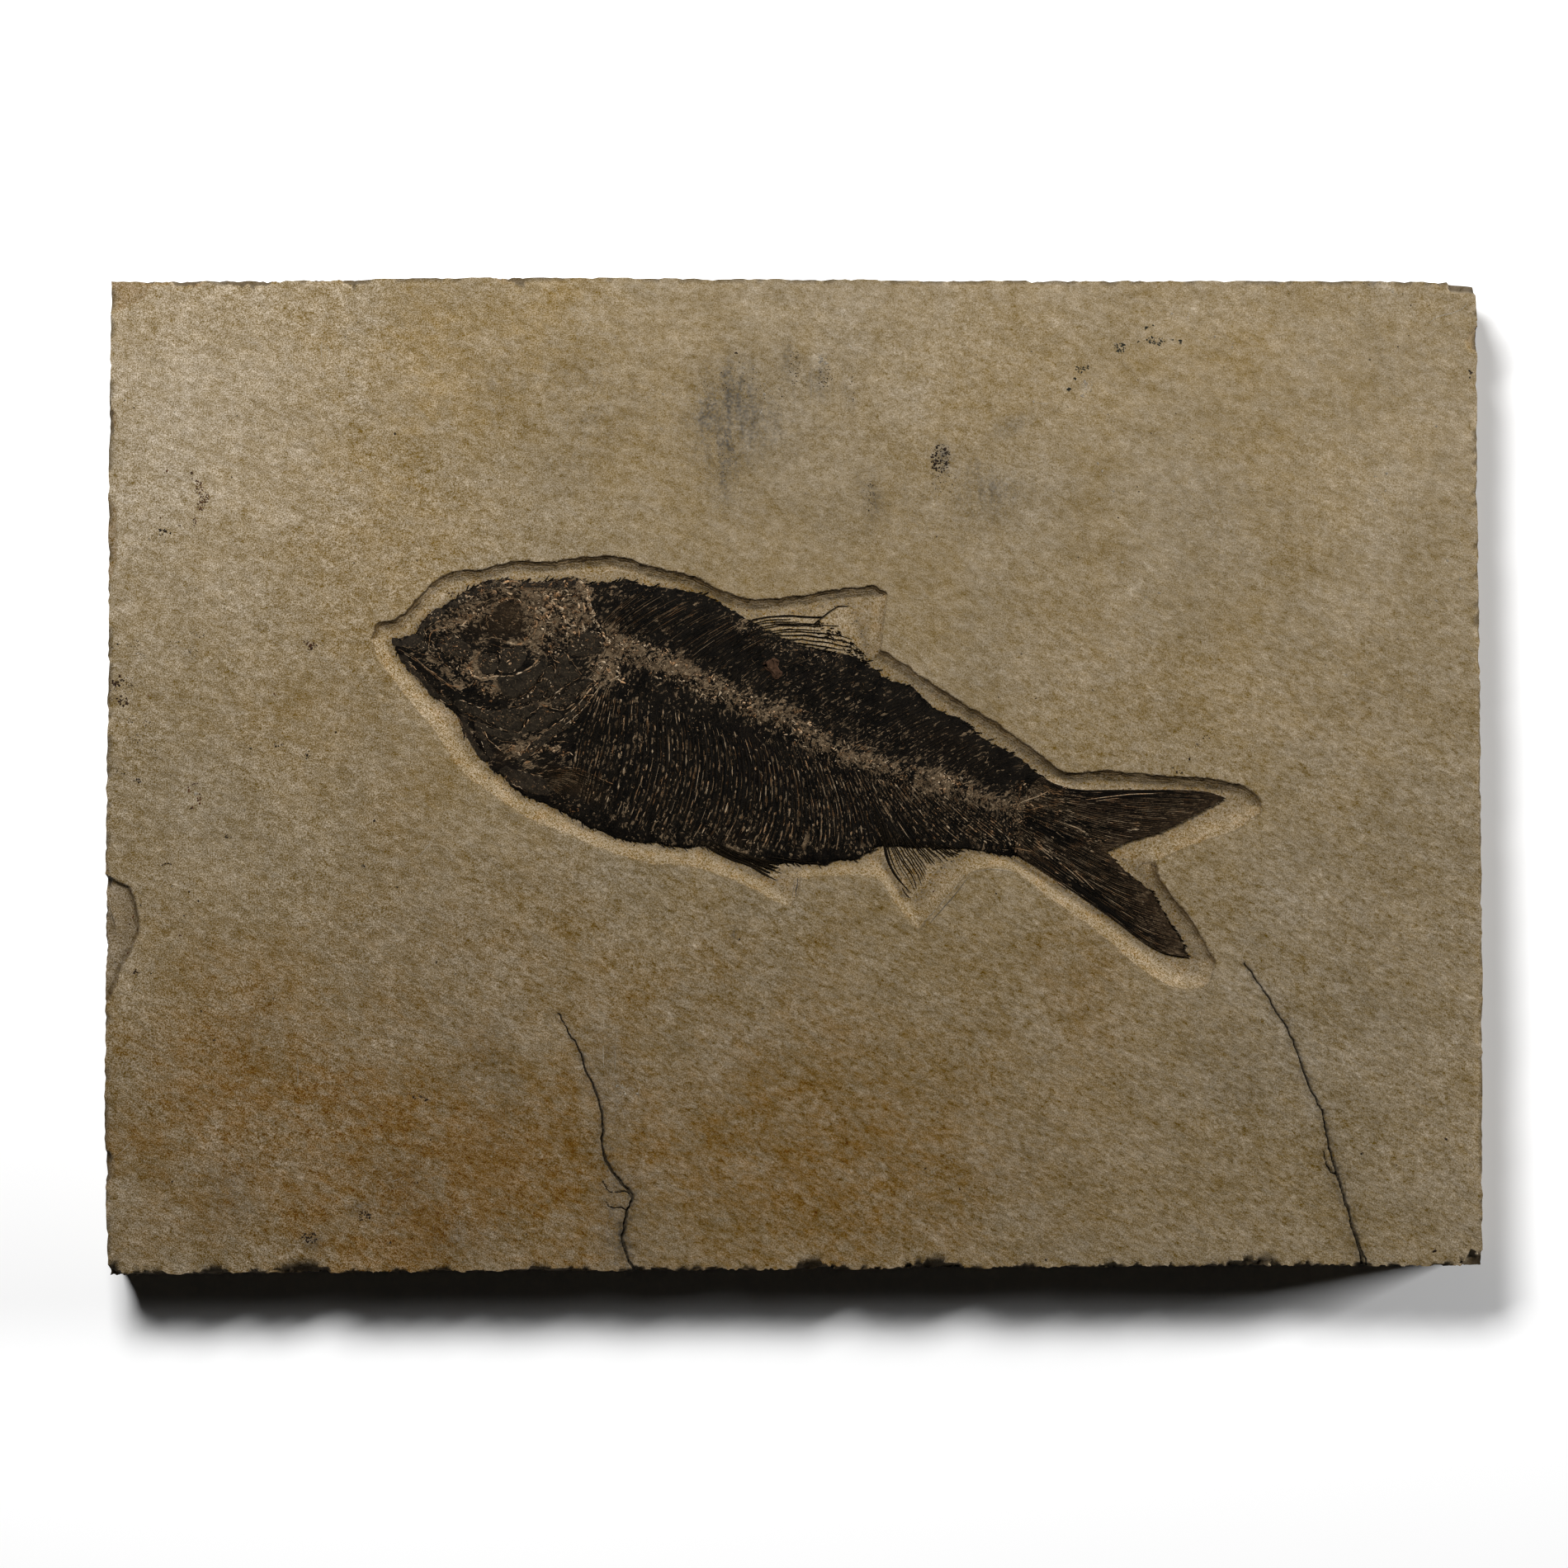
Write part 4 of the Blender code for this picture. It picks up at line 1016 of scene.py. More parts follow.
    # the broken rim: on the steep walls, which face down the slab away from the light, painted shade as a
    # dark band and dark lines that are partly bedding; a brown line where the wall slopes
    wander = noiseOf(place, 300, 3, 0.65)
    share = valueOf("wallShare") + rangeOf(wander, 0.3, 0.7, -0.12, 0.12)
    fade = noiseOf(place, 90, 3, 0.6)
    lines = None
    beds = ((0.08, 0.13, 0.9, 1.0), (0.32, 0.1, 0.1, 0.95), (0.56, 0.06, 0.0, 0.6))
    for level, half, low, high in beds:
        line = rangeOf(mathOf("ABSOLUTE", share - level), half * 0.3, half, 1, 0)
        line = line * rangeOf(fade, 0.36, 0.6, low, high)
        lines = line if lines is None else mathOf("MAXIMUM", lines, line)
        fade = 1.0 - fade
    lines = lines * valueOf("rimLine")
    steep = rangeOf(valueOf("wallLean"), 0.05, 0.6, 1, 0)
    # painted shade: a dark band down the steep walls, which face away from the light
    band = rangeOf(share, 0.7, 0.16) * rangeOf(share, -0.08, 0.02)
    band = band * steep * rangeOf(fade, 0.36, 0.62, 0.42, 0.82)
    colour = mixOf(band, colour, tones["wall"])
    # the dark lines stay on the steep shaded walls: partly bedding, partly painted shade
    lines = lines * steep
    colour = mixOf(lines * 0.92, colour, (0.012, 0.0066, 0.0018))
    softLine = rangeOf(mathOf("ABSOLUTE", share), 0.02, 0.07, 0.45, 0)
    colour = mixOf(softLine * rangeOf(steep, 0, 1, 1, 0), colour, (0.07, 0.049, 0.025))
    # painted shade: the scoops broken off the edges are darkened
    colour = mixOf(valueOf("scooped") * 0.72, colour, (0.03, 0.021, 0.011))
    # painted shade in the crack's gap, and a speckled darker band along its edges
    crackLine = rangeOf(mathOf("ABSOLUTE", valueOf("crack")), 0.5, 1.6, 0.9, 0)
    crackLine = crackLine * rangeOf(crumbs, 0.36, 0.56, 0.55, 1.0)
    beside = rangeOf(mathOf("ABSOLUTE", valueOf("crack")), 1.0, 4.5, 0.6, 0)
    beside = beside * rangeOf(crumbs, 0.42, 0.62)
    crackLine = mathOf("MAXIMUM", crackLine, beside) * valueOf("crackNear")
    colour = mixOf(crackLine, colour, tones["crackShade"])
    # sides: bedding planes in a colour darkened as painted shade, and a film of dirt
    bedding = noiseOf(mappedTo(place, 0, (10.0, 10.0, 1.0)), 900, 3, 0.6, 0.2)
    sideColour = mixOf(rangeOf(bedding, 0.35, 0.65), tones["side"], tones["tan"])
    dirt = noiseOf(place, 90, 4, 0.6)
    sideColour = mixOf(rangeOf(dirt, 0.5, 0.75, 0, 0.6), sideColour, tones["ochre"])
    sideColour = tonedBy(sideColour, rangeOf(lumps, 0.3, 0.7, 0.7, 1.15))
    colour = mixOf(valueOf("side"), colour, sideColour)
    softLumps = noiseOf(mappedTo(place, -27, (1.9, 1.0, 1.0)), 820, 2, 0.45, 0.3)
    grain = softLumps * rangeOf(lower, 0, 1, 0.32, 0.52)
    grain = grain + mottle * 0.35
    grain = grain + grit * 0.05
    grain = grain + crumbs * cut * 0.25
    grain = grain - lines * 0.35
    return finished(made, colour, 0.93, 0.1, bumpOf(grain, 0.0004))


# Dark mineral film and bones

film = {
    "rows": 150,
    "rim": 0.02020,
    "crown": 0.02100,
    "shoulder": 0.0030,        # how soon the film rises from its edge
    "spineRise": 0.00030,
    "spineWidth": 0.0024,
    "skirt": 0.0196,
}


def fishHeight(where):
    # Top of the film at any place on the fish
    depth = np.clip(depthInside(where, bodyOutline), 0, None)
    height = film["rim"] + (film["crown"] - film["rim"]) * (1 - np.exp(-depth / film["shoulder"]))
    gap = lineField(where, spineLine)[0]
    trunk = eased(-0.066, -0.056, where[:, 0])
    height += film["spineRise"] * trunk * np.exp(-(gap / film["spineWidth"]) ** 2)
    height += 0.00007 * softNoise(where, 0.0048, 101) + 0.00005 * softNoise(where, 0.0017, 102)
    cheek = np.hypot(*((where - fromPhoto((655, 825))) / (0.016, 0.014)).T)
    height += 0.00035 * eased(1.2, 0.2, cheek)
    return height


def buildFilm():
    columns = sum(stretch["columns"] for stretch in bodyStretches)
    rows = film["rows"]
    lines = {}
    for key in ("back", "spine", "belly"):
        runs = []
        for stretch in bodyStretches:
            shares = np.arange(stretch["columns"]) / stretch["columns"]
            runs.append(readAlong(smoothRun(fromPhoto(stretch[key])), shares))
        runs.append(fromPhoto(bodyStretches[-1][key][-1:]))
        lines[key] = np.vstack(runs)
    bm = bmesh.new()
    bmesh.ops.create_grid(bm, x_segments=columns, y_segments=rows, size=0.5)
    spread = np.array([vertex.co[:2] for vertex in bm.verts]) + 0.5
    column = np.rint(spread[:, 0] * columns).astype(int)
    v = 1 - spread[:, 1]                      # 0 at the back, 1 at the belly
    middle = 0.45
    upper = np.clip(v / middle, 0, 1)
    lower = np.clip((v - middle) / (1 - middle), 0, 1)
    where = lines["back"][column] * (1 - upper)[:, None] + lines["spine"][column] * (upper
                                                                                     * (1 - lower))[:, None]
    where += lines["belly"][column] * lower[:, None]
    edge = (v < 1e-6) | (v > 1 - 1e-6)
    frayed = wobbly(wobbly(where, 0.0028, 0.00045, 111), 0.0009, 0.00040, 115)
    where[edge] = frayed[edge]
    height = fishHeight(where)
    height[edge] = film["rim"] - 0.00005
    for vertex, spot, z in zip(bm.verts, where, height):
        vertex.co = (*spot, z)

    # UV map in metres: the grain runs along its second axis, up the ribs and along the head
    travelled = np.r_[0, np.cumsum(np.hypot(*np.diff(lines["spine"], axis=0).T))][column]
    above = np.hypot(*(lines["back"] - lines["spine"]).T)[column] * (1 - upper)
    below = np.hypot(*(lines["belly"] - lines["spine"]).T)[column] * lower
    headColumns = bodyStretches[0]["columns"]
    grain = bm.loops.layers.uv.new("grain")
    for face in bm.faces:
        inHead = min(column[vertex.index] for vertex in face.verts) < headColumns
        for loop in face.loops:
            index = loop.vert.index
            over = above[index] - below[index]
            if inHead:
                loop[grain].uv = (over, travelled[index])
            else:
                loop[grain].uv = (travelled[index] - 0.8 * above[index], over)
    border = [edge for edge in bm.edges if edge.is_boundary]
    drawn = bmesh.ops.extrude_edge_only(bm, edges=border)["geom"]
    for vertex in (item for item in drawn if isinstance(item, bmesh.types.BMVert)):
        vertex.co.z = film["skirt"]
    bmesh.ops.contextual_create(bm, geom=[item for item in drawn if isinstance(item, bmesh.types.BMEdge)])
    bmesh.ops.recalc_face_normals(bm, faces=bm.faces)
    mesh = meshFrom("fishFilm", bm)
    where = placesOf(mesh)[:, :2]
    band = np.exp(-(lineField(where, spineLine)[0] / 0.0042) ** 2) * eased(-0.062, -0.052, where[:, 0])
    speckled = 0.035 + blobs(where, headMottle, 0.0008) + 0.42 * band + blobs(where, trunkMottle, 0.001)
    setValues(mesh, speckled=np.clip(speckled, 0, 1),
              browned=np.clip(blobs(where, brownPatches, 0.001), 0, 1))
    keepMesh("fishFilm", mesh, darkFilm(), "fossil_fish")
    mesh.set_sharp_from_angle(angle=math.radians(60))


headMottle = (    # where the stone shows between the broken bones: place, reach, turn and share of it in pale
    (575, 735, 44, 16, 30, 0.42), (640, 716, 56, 9, 0, 0.45), (672, 742, 36, 28, 0, 0.55),
    (704, 728, 14, 34, 0, 0.4), (596, 778, 34, 9, 0, 0.3), (535, 762, 20, 14, 30, 0.4),
    (566, 812, 18, 16, -40, 0.4), (652, 772, 14, 30, 0, 0.45), (736, 785, 16, 20, 0, 0.4),
    (612, 842, 26, 6, -30, 0.3), (640, 903, 44, 10, 24, 0.35), (722, 818, 12, 12, 0, 0.25),
    (520, 800, 50, 8, -42, 0.28), (570, 885, 10, 30, -25, 0.25), (700, 920, 34, 10, 10, 0.25),
    (625, 708, 60, 5, 0, 0.2), (617, 750, 16, 14, 0, 0.08), (636, 750, 6, 24, 0, 0.35),
    (671, 734, 9, 5, 0, 1.1), (626, 780, 10, 3.5, 0, 1.0), (577, 797, 7, 5, 40, 1.0),
    (572, 816, 6, 5, 0, 1.1), (594, 838, 6, 4, 0, 0.9), (608, 836, 13, 3.5, -35, 1.0),
    (620, 912, 9, 6, 0, 1.2), (648, 899, 8, 4, 20, 1.0), (674, 906, 7, 4, 25, 0.9),
    (633, 889, 6, 3.5, 0, 0.9), (715, 780, 4, 10, 0, 0.9), (701, 746, 7, 5, 0, 0.8),
    (694, 762, 6, 4, 0, 0.8), (650, 752, 5, 12, 0, 0.5), (588, 744, 8, 5, 30, 0.6), (660, 716, 9, 3, 0, 0.6),
    (560, 752, 9, 4, 35, 0.5), (657, 853, 20, 3, 0, 0.6), (706, 838, 3, 14, -30, 0.6),
    (668, 822, 3, 16, 20, 0.35), (554, 832, 8, 4, -30, 0.6), (640, 928, 8, 4, 0, 0.6),
    (598, 822, 16, 3, 8, 0.6), (536, 812, 14, 3, -35, 0.5),
)
trunkMottle = (
    (745, 800, 26, 34, 0, 0.34), (800, 800, 60, 12, -25, 0.24), (1000, 860, 90, 26, -20, 0.06),
    (1120, 905, 90, 30, -18, 0.09), (1080, 960, 110, 22, -10, 0.11), (1190, 1000, 60, 24, -10, 0.11),
    (760, 915, 60, 70, 0, 0.08), (880, 1000, 110, 26, 0, 0.09), (1150, 943, 26, 10, -15, 0.3),
    (830, 1020, 60, 10, -20, 0.16), (755, 722, 36, 14, 0, 0.16), (950, 775, 60, 14, -25, 0.14),
    (1235, 985, 20, 16, 0, 0.12), (690, 950, 40, 16, -20, 0.14), (905, 757, 14, 10, 0, 0.3),
    (1000, 1030, 90, 8, 0, 0.1), (985, 985, 30, 40, 0, 0.08), (745, 762, 6, 4, 0, 0.9),
    (808, 766, 6, 4, 0, 0.9), (834, 804, 6, 4, 0, 0.8), (822, 800, 4, 9, 0, 0.8), (859, 832, 6, 4, -20, 0.7),
    (741, 812, 7, 8, 0, 0.6), (895, 1030, 12, 4, -20, 0.9), (978, 1018, 3, 8, -20, 0.7),
    (912, 985, 3, 9, -12, 0.6), (1072, 982, 5, 8, -30, 0.6), (1150, 943, 12, 5, -15, 0.6),
    (1063, 925, 8, 5, -20, 0.5), (1100, 940, 8, 5, -20, 0.4),
)
brownPatches = (
    (617, 750, 20, 18, 0, 0.45), (692, 950, 34, 12, -25, 0.85), (890, 1020, 30, 20, 0, 0.15),
    (1150, 900, 60, 20, -25, 0.2), (740, 780, 7, 12, 0, 1.0), (600, 765, 36, 14, 0, 0.25),
    (809, 766, 5, 4, 0, 0.6), (834, 803, 5, 4, 0, 0.6), (612, 912, 12, 10, 0, 0.5),
    (625, 735, 70, 30, 0, 0.4), (655, 840, 50, 16, 0, 0.16),
)


def shardsOf(grain, across, along, share):
    # Broken bits in the film: which are pale, how pale, and how high each one stands
    cellPlace = mappedTo(grain, 0, (across, along, 1))
    links = {"Vector": cellPlace, "Scale": 1.0}
    cells = addNode("TexVoronoi", links, voronoi_dimensions="2D")
    joints = addNode("TexVoronoi", links, voronoi_dimensions="2D", feature="DISTANCE_TO_EDGE")
    parts = addNode("SeparateColor", {0: cells.outputs["Color"]})
    score = parts.outputs[0] + (share - 1.0)
    pale = rangeOf(score, -0.01, 0.03)
    pale = pale * rangeOf(joints.outputs["Distance"], 0.02, 0.09)
    return pale, parts.outputs[1], Number(parts.outputs[2])


def darkFilm():
    tones = {
        "dark": (0.0014, 0.0012, 0.0010), "soft": (0.0046, 0.0037, 0.0027), "fibre": (0.0120, 0.0085, 0.0050),
        "brown": (0.0150, 0.0098, 0.0055), "tan": (0.110, 0.077, 0.045), "patch": (0.024, 0.0145, 0.0072),
        "rust": (0.042, 0.0255, 0.0125), "pale": (0.200, 0.152, 0.100),
    }
    made = startMaterial("darkFilm")
    place = addNode("TexCoord").outputs["Object"]
    grain = addNode("UVMap", uv_map="grain").outputs["UV"]
    drift = addNode("TexNoise", {"Vector": place, "Scale": 700.0, "Detail": 2.0}).outputs["Color"]
    drift = addNode("VectorMath", {0: drift, 1: (0.5, 0.5, 0.5)}, operation="SUBTRACT").outputs[0]
    drift = addNode("VectorMath", {0: drift, "Scale": 0.0022}, operation="SCALE").outputs[0]
    bent = addNode("VectorMath", {0: grain, 1: drift}, operation="ADD").outputs[0]
    fibres = noiseOf(mappedTo(bent, 0, (0.00034, 0.005, 1)), 1.0, 3, 0.6, 0.2)
    clouds = noiseOf(place, 210, 3, 0.6)
    crumbs = noiseOf(place, 1500, 3, 0.65)
    colour = mixOf(rangeOf(clouds, 0.36, 0.64), tones["dark"], tones["soft"])
    colour = mixOf(rangeOf(fibres, 0.52, 0.74, 0, 0.75), colour, tones["fibre"])
    colour = mixOf(rangeOf(crumbs, 0.56, 0.72, 0, 0.8), colour, tones["fibre"])
    share = valueOf("speckled") * rangeOf(clouds, 0.34, 0.66, 0.35, 1.75)
    # ragged patches of stone, cut by streaks of the film
    torn = noiseOf(mappedTo(bent, 0, (0.0015, 0.0026, 1)), 1.0, 5, 0.66, 0.4)
    torn = torn + share * 0.36
    torn = rangeOf(torn, 0.69, 0.725) * rangeOf(fibres, 0.64, 0.56, 0.15, 1.0)
    tornTone = noiseOf(place, 900, 3, 0.6)
    tornColour = mixOf(rangeOf(tornTone, 0.36, 0.56), tones["rust"], tones["tan"])
    tornColour = mixOf(rangeOf(tornTone, 0.54, 0.68), tornColour, tones["pale"])
    colour = mixOf(torn, colour, tornColour)
    share = share * 0.75
    fineShare = share * 0.85
    fine, fineTone, fineLevel = shardsOf(bent, 0.00027, 0.0006, fineShare)
    coarse, coarseTone, coarseLevel = shardsOf(bent, 0.00056, 0.00125, share)
    colour = mixOf(fine, colour, mixOf(fineTone, tones["brown"], tones["tan"]))
    colour = mixOf(coarse, colour, mixOf(coarseTone, tones["brown"], tones["tan"]))
    patches = valueOf("browned") * rangeOf(crumbs, 0.35, 0.6, 0.35, 0.9)
    colour = mixOf(patches, colour, tones["patch"])
    relief = fibres * 0.7 + crumbs * 0.35 + coarseLevel * 0.3 + fineLevel * 0.15
    return finished(made, colour, 0.6, 0.018, bumpOf(relief, 0.0003))


def tintedStone(name, tones, rough=0.8, shine=0.04, grain=1700.0, relief=0.00010, rust=0.0):
    # A finish that runs through its tones, from dark to pale, with each fleck's own tint
    made = startMaterial(name)
    place = addNode("TexCoord").outputs["Object"]
    specks = noiseOf(place, grain, 3, 0.6)
    tint = valueOf("tint")
    colour = tones[0]
    steps = len(tones) - 1
    for step in range(steps):
        colour = mixOf(rangeOf(tint, step / steps, (step + 1) / steps), colour, tones[step + 1])
    if rust:
        patches = rangeOf(noiseOf(place, 330, 3, 0.6), 0.47, 0.62, 0, rust)
        colour = mixOf(patches, colour, (1.1, 0.74, 0.46), "MULTIPLY")
    colour = tonedBy(colour, rangeOf(specks, 0.32, 0.68, 0.45, 1.4))
    return finished(made, colour, rough, shine, bumpOf(specks, relief))


def boneFinish():
    return tintedStone("darkBone", ((0.0014, 0.0012, 0.0010), (0.0110, 0.0080, 0.0050)), 0.55, 0.025)


def rayFinish():
    return tintedStone("finRay", ((0.0030, 0.0020, 0.0010), (0.0210, 0.0140, 0.0070)), 0.60, 0.025)


def sliverFinish():
    return tintedStone("stoneSliver", ((0.014, 0.0088, 0.0045), (0.076, 0.051, 0.028), (0.21, 0.158, 0.101)),
                       0.85, 0.03, rust=0.6)


def fleckFinish():
    return tintedStone("paleFleck", ((0.0052, 0.0036, 0.0022), (0.1, 0.066, 0.036), (0.33, 0.257, 0.172)),
                       0.75, 0.04, rust=0.7)


# Ribs, the bones above the spine, and the slivers of stone between them

ribGuides = (
    ((728, 826), (712, 862), (700, 890), (694, 925), (690, 950)),
    ((745, 838), (738, 880), (732, 915), (722, 950), (712, 985)),
    ((797, 850), (800, 890), (799, 930), (786, 975), (770, 1010)),
    ((838, 862), (844, 900), (843, 940), (832, 985), (815, 1018)),
    ((880, 880), (889, 915), (890, 950), (882, 990), (866, 1022)),
    ((925, 890), (937, 925), (940, 965), (934, 1005), (920, 1036)),
    ((965, 900), (978, 940), (986, 980), (986, 1012), (980, 1038)),
    ((1005, 920), (1018, 955), (1026, 985), (1028, 1010), (1024, 1036)),
    ((1040, 930), (1058, 965), (1074, 995), (1086, 1015), (1094, 1024)),
    ((1085, 945), (1108, 975), (1130, 1000), (1146, 1015), (1158, 1024)),
    ((1130, 958), (1158, 985), (1182, 1005), (1200, 1018), (1214, 1028)),
    ((1180, 972), (1202, 990), (1218, 1002), (1230, 1014), (1238, 1026)),
)
neuralGuides = (
    ((715, 770), (732, 750), (748, 735), (765, 722), (782, 712)),
    ((745, 776), (770, 757), (795, 742), (818, 729), (838, 720)),
    ((790, 790), (820, 768), (845, 752), (866, 742), (884, 736)),
    ((835, 812), (862, 790), (885, 775), (905, 764), (925, 757)),
    ((880, 836), (905, 812), (930, 797), (952, 786), (972, 780)),
    ((925, 856), (950, 832), (975, 816), (1000, 806), (1020, 800)),
    ((970, 880), (998, 858), (1022, 842), (1045, 832), (1066, 826)),
    ((1020, 905), (1045, 885), (1070, 868), (1092, 858), (1112, 850)),
    ((1070, 925), (1095, 908), (1120, 892), (1142, 882), (1160, 876)),
    ((1120, 940), (1142, 925), (1162, 912), (1180, 903), (1196, 898)),
    ((1170, 955), (1190, 942), (1208, 932), (1222, 926), (1236, 922)),
)
bones = {
    "ribs": 92, "ribWidth": 0.00074, "ribRise": 0.00018, "neurals": 96, "neuralWidth": 0.0005,
    "neuralRise": 0.00012, "slivers": 1500, "sliverWidth": 0.00046, "sliverRise": 0.00006,
    "neuralSlivers": 250, "squiggles": 520,
}


def buildRibs():
    draw = np.random.default_rng(201)
    shares = np.linspace(0, 1, 12)
    strokes = []
    for across in np.linspace(0.0, 1.0, bones["ribs"]):
        run = fanLines(ribGuides, [across], shares)[0]
        start = draw.uniform(0, 0.08)
        end = draw.uniform(0.90, 1.0)
        run = readAlong(run, np.linspace(start, end, 12)) + draw.uniform(-0.00018, 0.00018, 2)
        rear = eased(0.62, 0.85, across)
        width = bones["ribWidth"] * draw.uniform(0.75, 1.15) * (1 - 0.35 * rear)
        strokes.append((run, width, bones["ribRise"] * (1 - 0.45 * rear)
                        * draw.uniform(0.7, 1.2), draw.uniform(0, 0.35)))
    for across in np.linspace(0.02, 1.0, bones["neurals"]):
        run = fanLines(neuralGuides, [across], shares)[0]
        start = draw.uniform(0.05, 0.30)
        end = draw.uniform(0.70, 0.97)
        run = readAlong(run, np.linspace(start, end, 12)) + draw.uniform(-0.0003, 0.0003, 2)
        width = bones["neuralWidth"] * draw.uniform(0.6, 1.1)
        strokes.append((run, width, bones["neuralRise"] * draw.uniform(0.6, 1.2), draw.uniform(0, 0.30)))
    mesh = barMesh("ribBones", strokes, fishHeight, 12)
    keepMesh("ribBones", mesh, boneFinish(), "fossil_fish")


def sliverDensity(where):
    # How much tan stone shows between the ribs
    dense = (
        (745, 895, 45, 60), (800, 960, 50, 45), (900, 1000, 60, 35), (730, 850, 30, 30), (985, 985, 50, 45),
        (860, 930, 60, 45), (1080, 960, 70, 25), (1200, 1000, 40, 25), (690, 930, 30, 20),
    )
    total = np.full(len(where), 0.22)
    for x, y, reachX, reachY in dense:
        gap = (where - fromPhoto((x, y))) / photo["scale"] / (reachX, reachY)
        total += 0.70 * np.exp(-np.sum(gap ** 2, axis=1))
    return total


def buildSlivers():
    draw = np.random.default_rng(211)
    strokes = []
    step = 1.0 / (bones["ribs"] - 1)
    while len(strokes) < bones["slivers"]:
        gapNumber = draw.integers(0, bones["ribs"] - 1)
        across = (gapNumber + draw.uniform(0.25, 0.75)) * step
        long = draw.random()
        length = draw.uniform(0.012, 0.06) if long < 0.7 else draw.uniform(0.06,
                                                                           0.13 if long < 0.94 else 0.26)
        start = draw.uniform(0.02, 0.97 - length)
        run = fanLines(ribGuides, [across], np.linspace(start, start + length, 5))[0]
        if draw.random() > sliverDensity(run[2:3])[0]:
            continue
        width = bones["sliverWidth"] * draw.uniform(0.3, 1.9 if length < 0.1 else 1.0)
        strokes.append((run, width, bones["sliverRise"] * draw.uniform(0.5, 1.5), draw.random() ** 1.8))
    for number in range(bones["neuralSlivers"]):
        across = draw.random() ** 1.4
        length = draw.uniform(0.03, 0.12) if across > 0.35 else draw.uniform(0.06, 0.40)
        start = draw.uniform(0.04, 0.93 - length)
        run = fanLines(neuralGuides, [across], np.linspace(start, start + length, 5))[0]
        strokes.append((run, draw.uniform(0.00012, 0.00030), 0.00007, draw.random() ** 1.6 * 0.75))
    # short curled bits of scale over the rear of the body
    while len(strokes) < bones["slivers"] + bones["neuralSlivers"] + bones["squiggles"]:
        x, y = (draw.uniform(900, 1240), draw.uniform(770, 1030))
        spot = fromPhoto(((x, y),))
        if depthInside(spot, bodyOutline)[0] < 0.0015 or draw.random() > 0.35 + 0.65 * (x - 900) / 340:
            continue
        if x > 1050 and y < 921 + 0.3 * (x - 1081) and (draw.random() < 0.8):
            continue
        turn = draw.normal(0.9, 0.9)
        reach = draw.uniform(1.2, 4.0)
        bow = draw.uniform(-1.4, 1.4)
        across = np.array((-math.sin(turn), math.cos(turn)))
        along = np.array((math.cos(turn), math.sin(turn)))
        ends = np.array((x, y)) + np.outer((-1, 0, 1), along) * reach + np.outer((0, 1, 0), across) * bow
        strokes.append((smoothRun(fromPhoto(ends)), draw.uniform(0.00013, 0.00032), 0.00007,
                        draw.random() ** 1.5))
    mesh = barMesh("stoneSlivers", strokes, fishHeight, 6, endWidth=0.15)
    keepMesh("stoneSlivers", mesh, sliverFinish(), "fossil_fish")


# Backbone and broken flecks

fleckBands = {    # run of pixels, half width in pixels, number, half sizes in pixels, tint range
    "backboneFront": (
        ((735, 776), (776, 792), (800, 802), (859, 833), (905, 853)), 17, 430, (0.7, 2.8), (0.15, 0.95),
    ),
    "backboneMiddle": (((900, 851), (953, 873), (989, 899), (1042, 917)), 17, 330, (0.7, 2.8), (0.15, 0.95)),
    "backboneRear": (((1040, 917), (1081, 935), (1119, 945), (1157, 955)), 15, 260, (0.7, 2.6), (0.15, 0.9)),
    "backboneEnd": (((1157, 955), (1200, 968), (1236, 982)), 11, 120, (0.6, 2.0), (0.1, 0.8)),
    "upperLine": (
        ((757, 775), (790, 785), (810, 790), (824, 812), (870, 823), (900, 843)), 3, 110, (0.8, 2.4),
        (0.4, 1.0),
    ),
    "shoulder": (((722, 815), (735, 800), (745, 815), (752, 830)), 10, 90, (0.9, 3.2), (0.3, 1.0)),
    "branch": (((938, 868), (955, 864), (979, 861)), 3, 26, (1.0, 3.0), (0.4, 0.9)),
    "dense": (((1140, 940), (1165, 948)), 6, 40, (1.0, 3.4), (0.4, 0.95)),
    "rearScatter": (((1000, 860), (1100, 900), (1200, 940)), 26, 60, (0.5, 1.6), (0.05, 0.6)),
    "rearBelly": (((1060, 975), (1130, 990), (1220, 1005)), 24, 90, (0.5, 1.7), (0.05, 0.6)),
    "tailRoot": (((1234, 950), (1233, 985), (1236, 1028)), 9, 120, (0.6, 2.0), (0.05, 0.7)),
    "midFlank": (((780, 860), (880, 895), (1000, 940)), 26, 130, (0.5, 1.6), (0.05, 0.55)),
    "nape": (((715, 712), (760, 718), (850, 735)), 12, 60, (0.5, 1.6), (0.05, 0.5)),
    "dorsalBase": (((905, 770), (960, 790), (1040, 805)), 9, 80, (0.6, 2.2), (0.1, 0.7)),
}


def scatterChips(bands, seed):
    draw = np.random.default_rng(seed)
    chips = []
    for run, half, count, sizes, tints in bands.values():
        line = smoothRun(fromPhoto(run))
        shares = draw.random(count)
        places = readAlong(line, shares)
        heading = readAlong(line, np.clip(shares + 0.03, 0, 1)) - readAlong(line,
                                                                            np.clip(shares - 0.03, 0, 1))
        angles = np.arctan2(heading[:, 1], heading[:, 0])
        spread = np.clip(draw.normal(0, 0.5, count), -1.1, 1.1) * half * photo["scale"]
        places = places + np.column_stack([-np.sin(angles), np.cos(angles)]) * spread[:, None]
        for (x, y), angle in zip(places, angles):
            size = photo["scale"] * (sizes[0] + (sizes[1] - sizes[0]) * draw.random() ** 2.2)
            turn = angle + draw.normal(0, 0.9)
            rise = draw.uniform(0.00003, 0.00010)
            tint = tints[0] + (tints[1] - tints[0]) * draw.random() ** 1.4
            if draw.random() < 0.30:
                tint = 0
            slim = draw.random() ** 1.6
            chips.append((x, y, size * (1.0 + 1.5 * slim), size * (0.85 - 0.50 * slim), turn, rise, tint))
    return chips


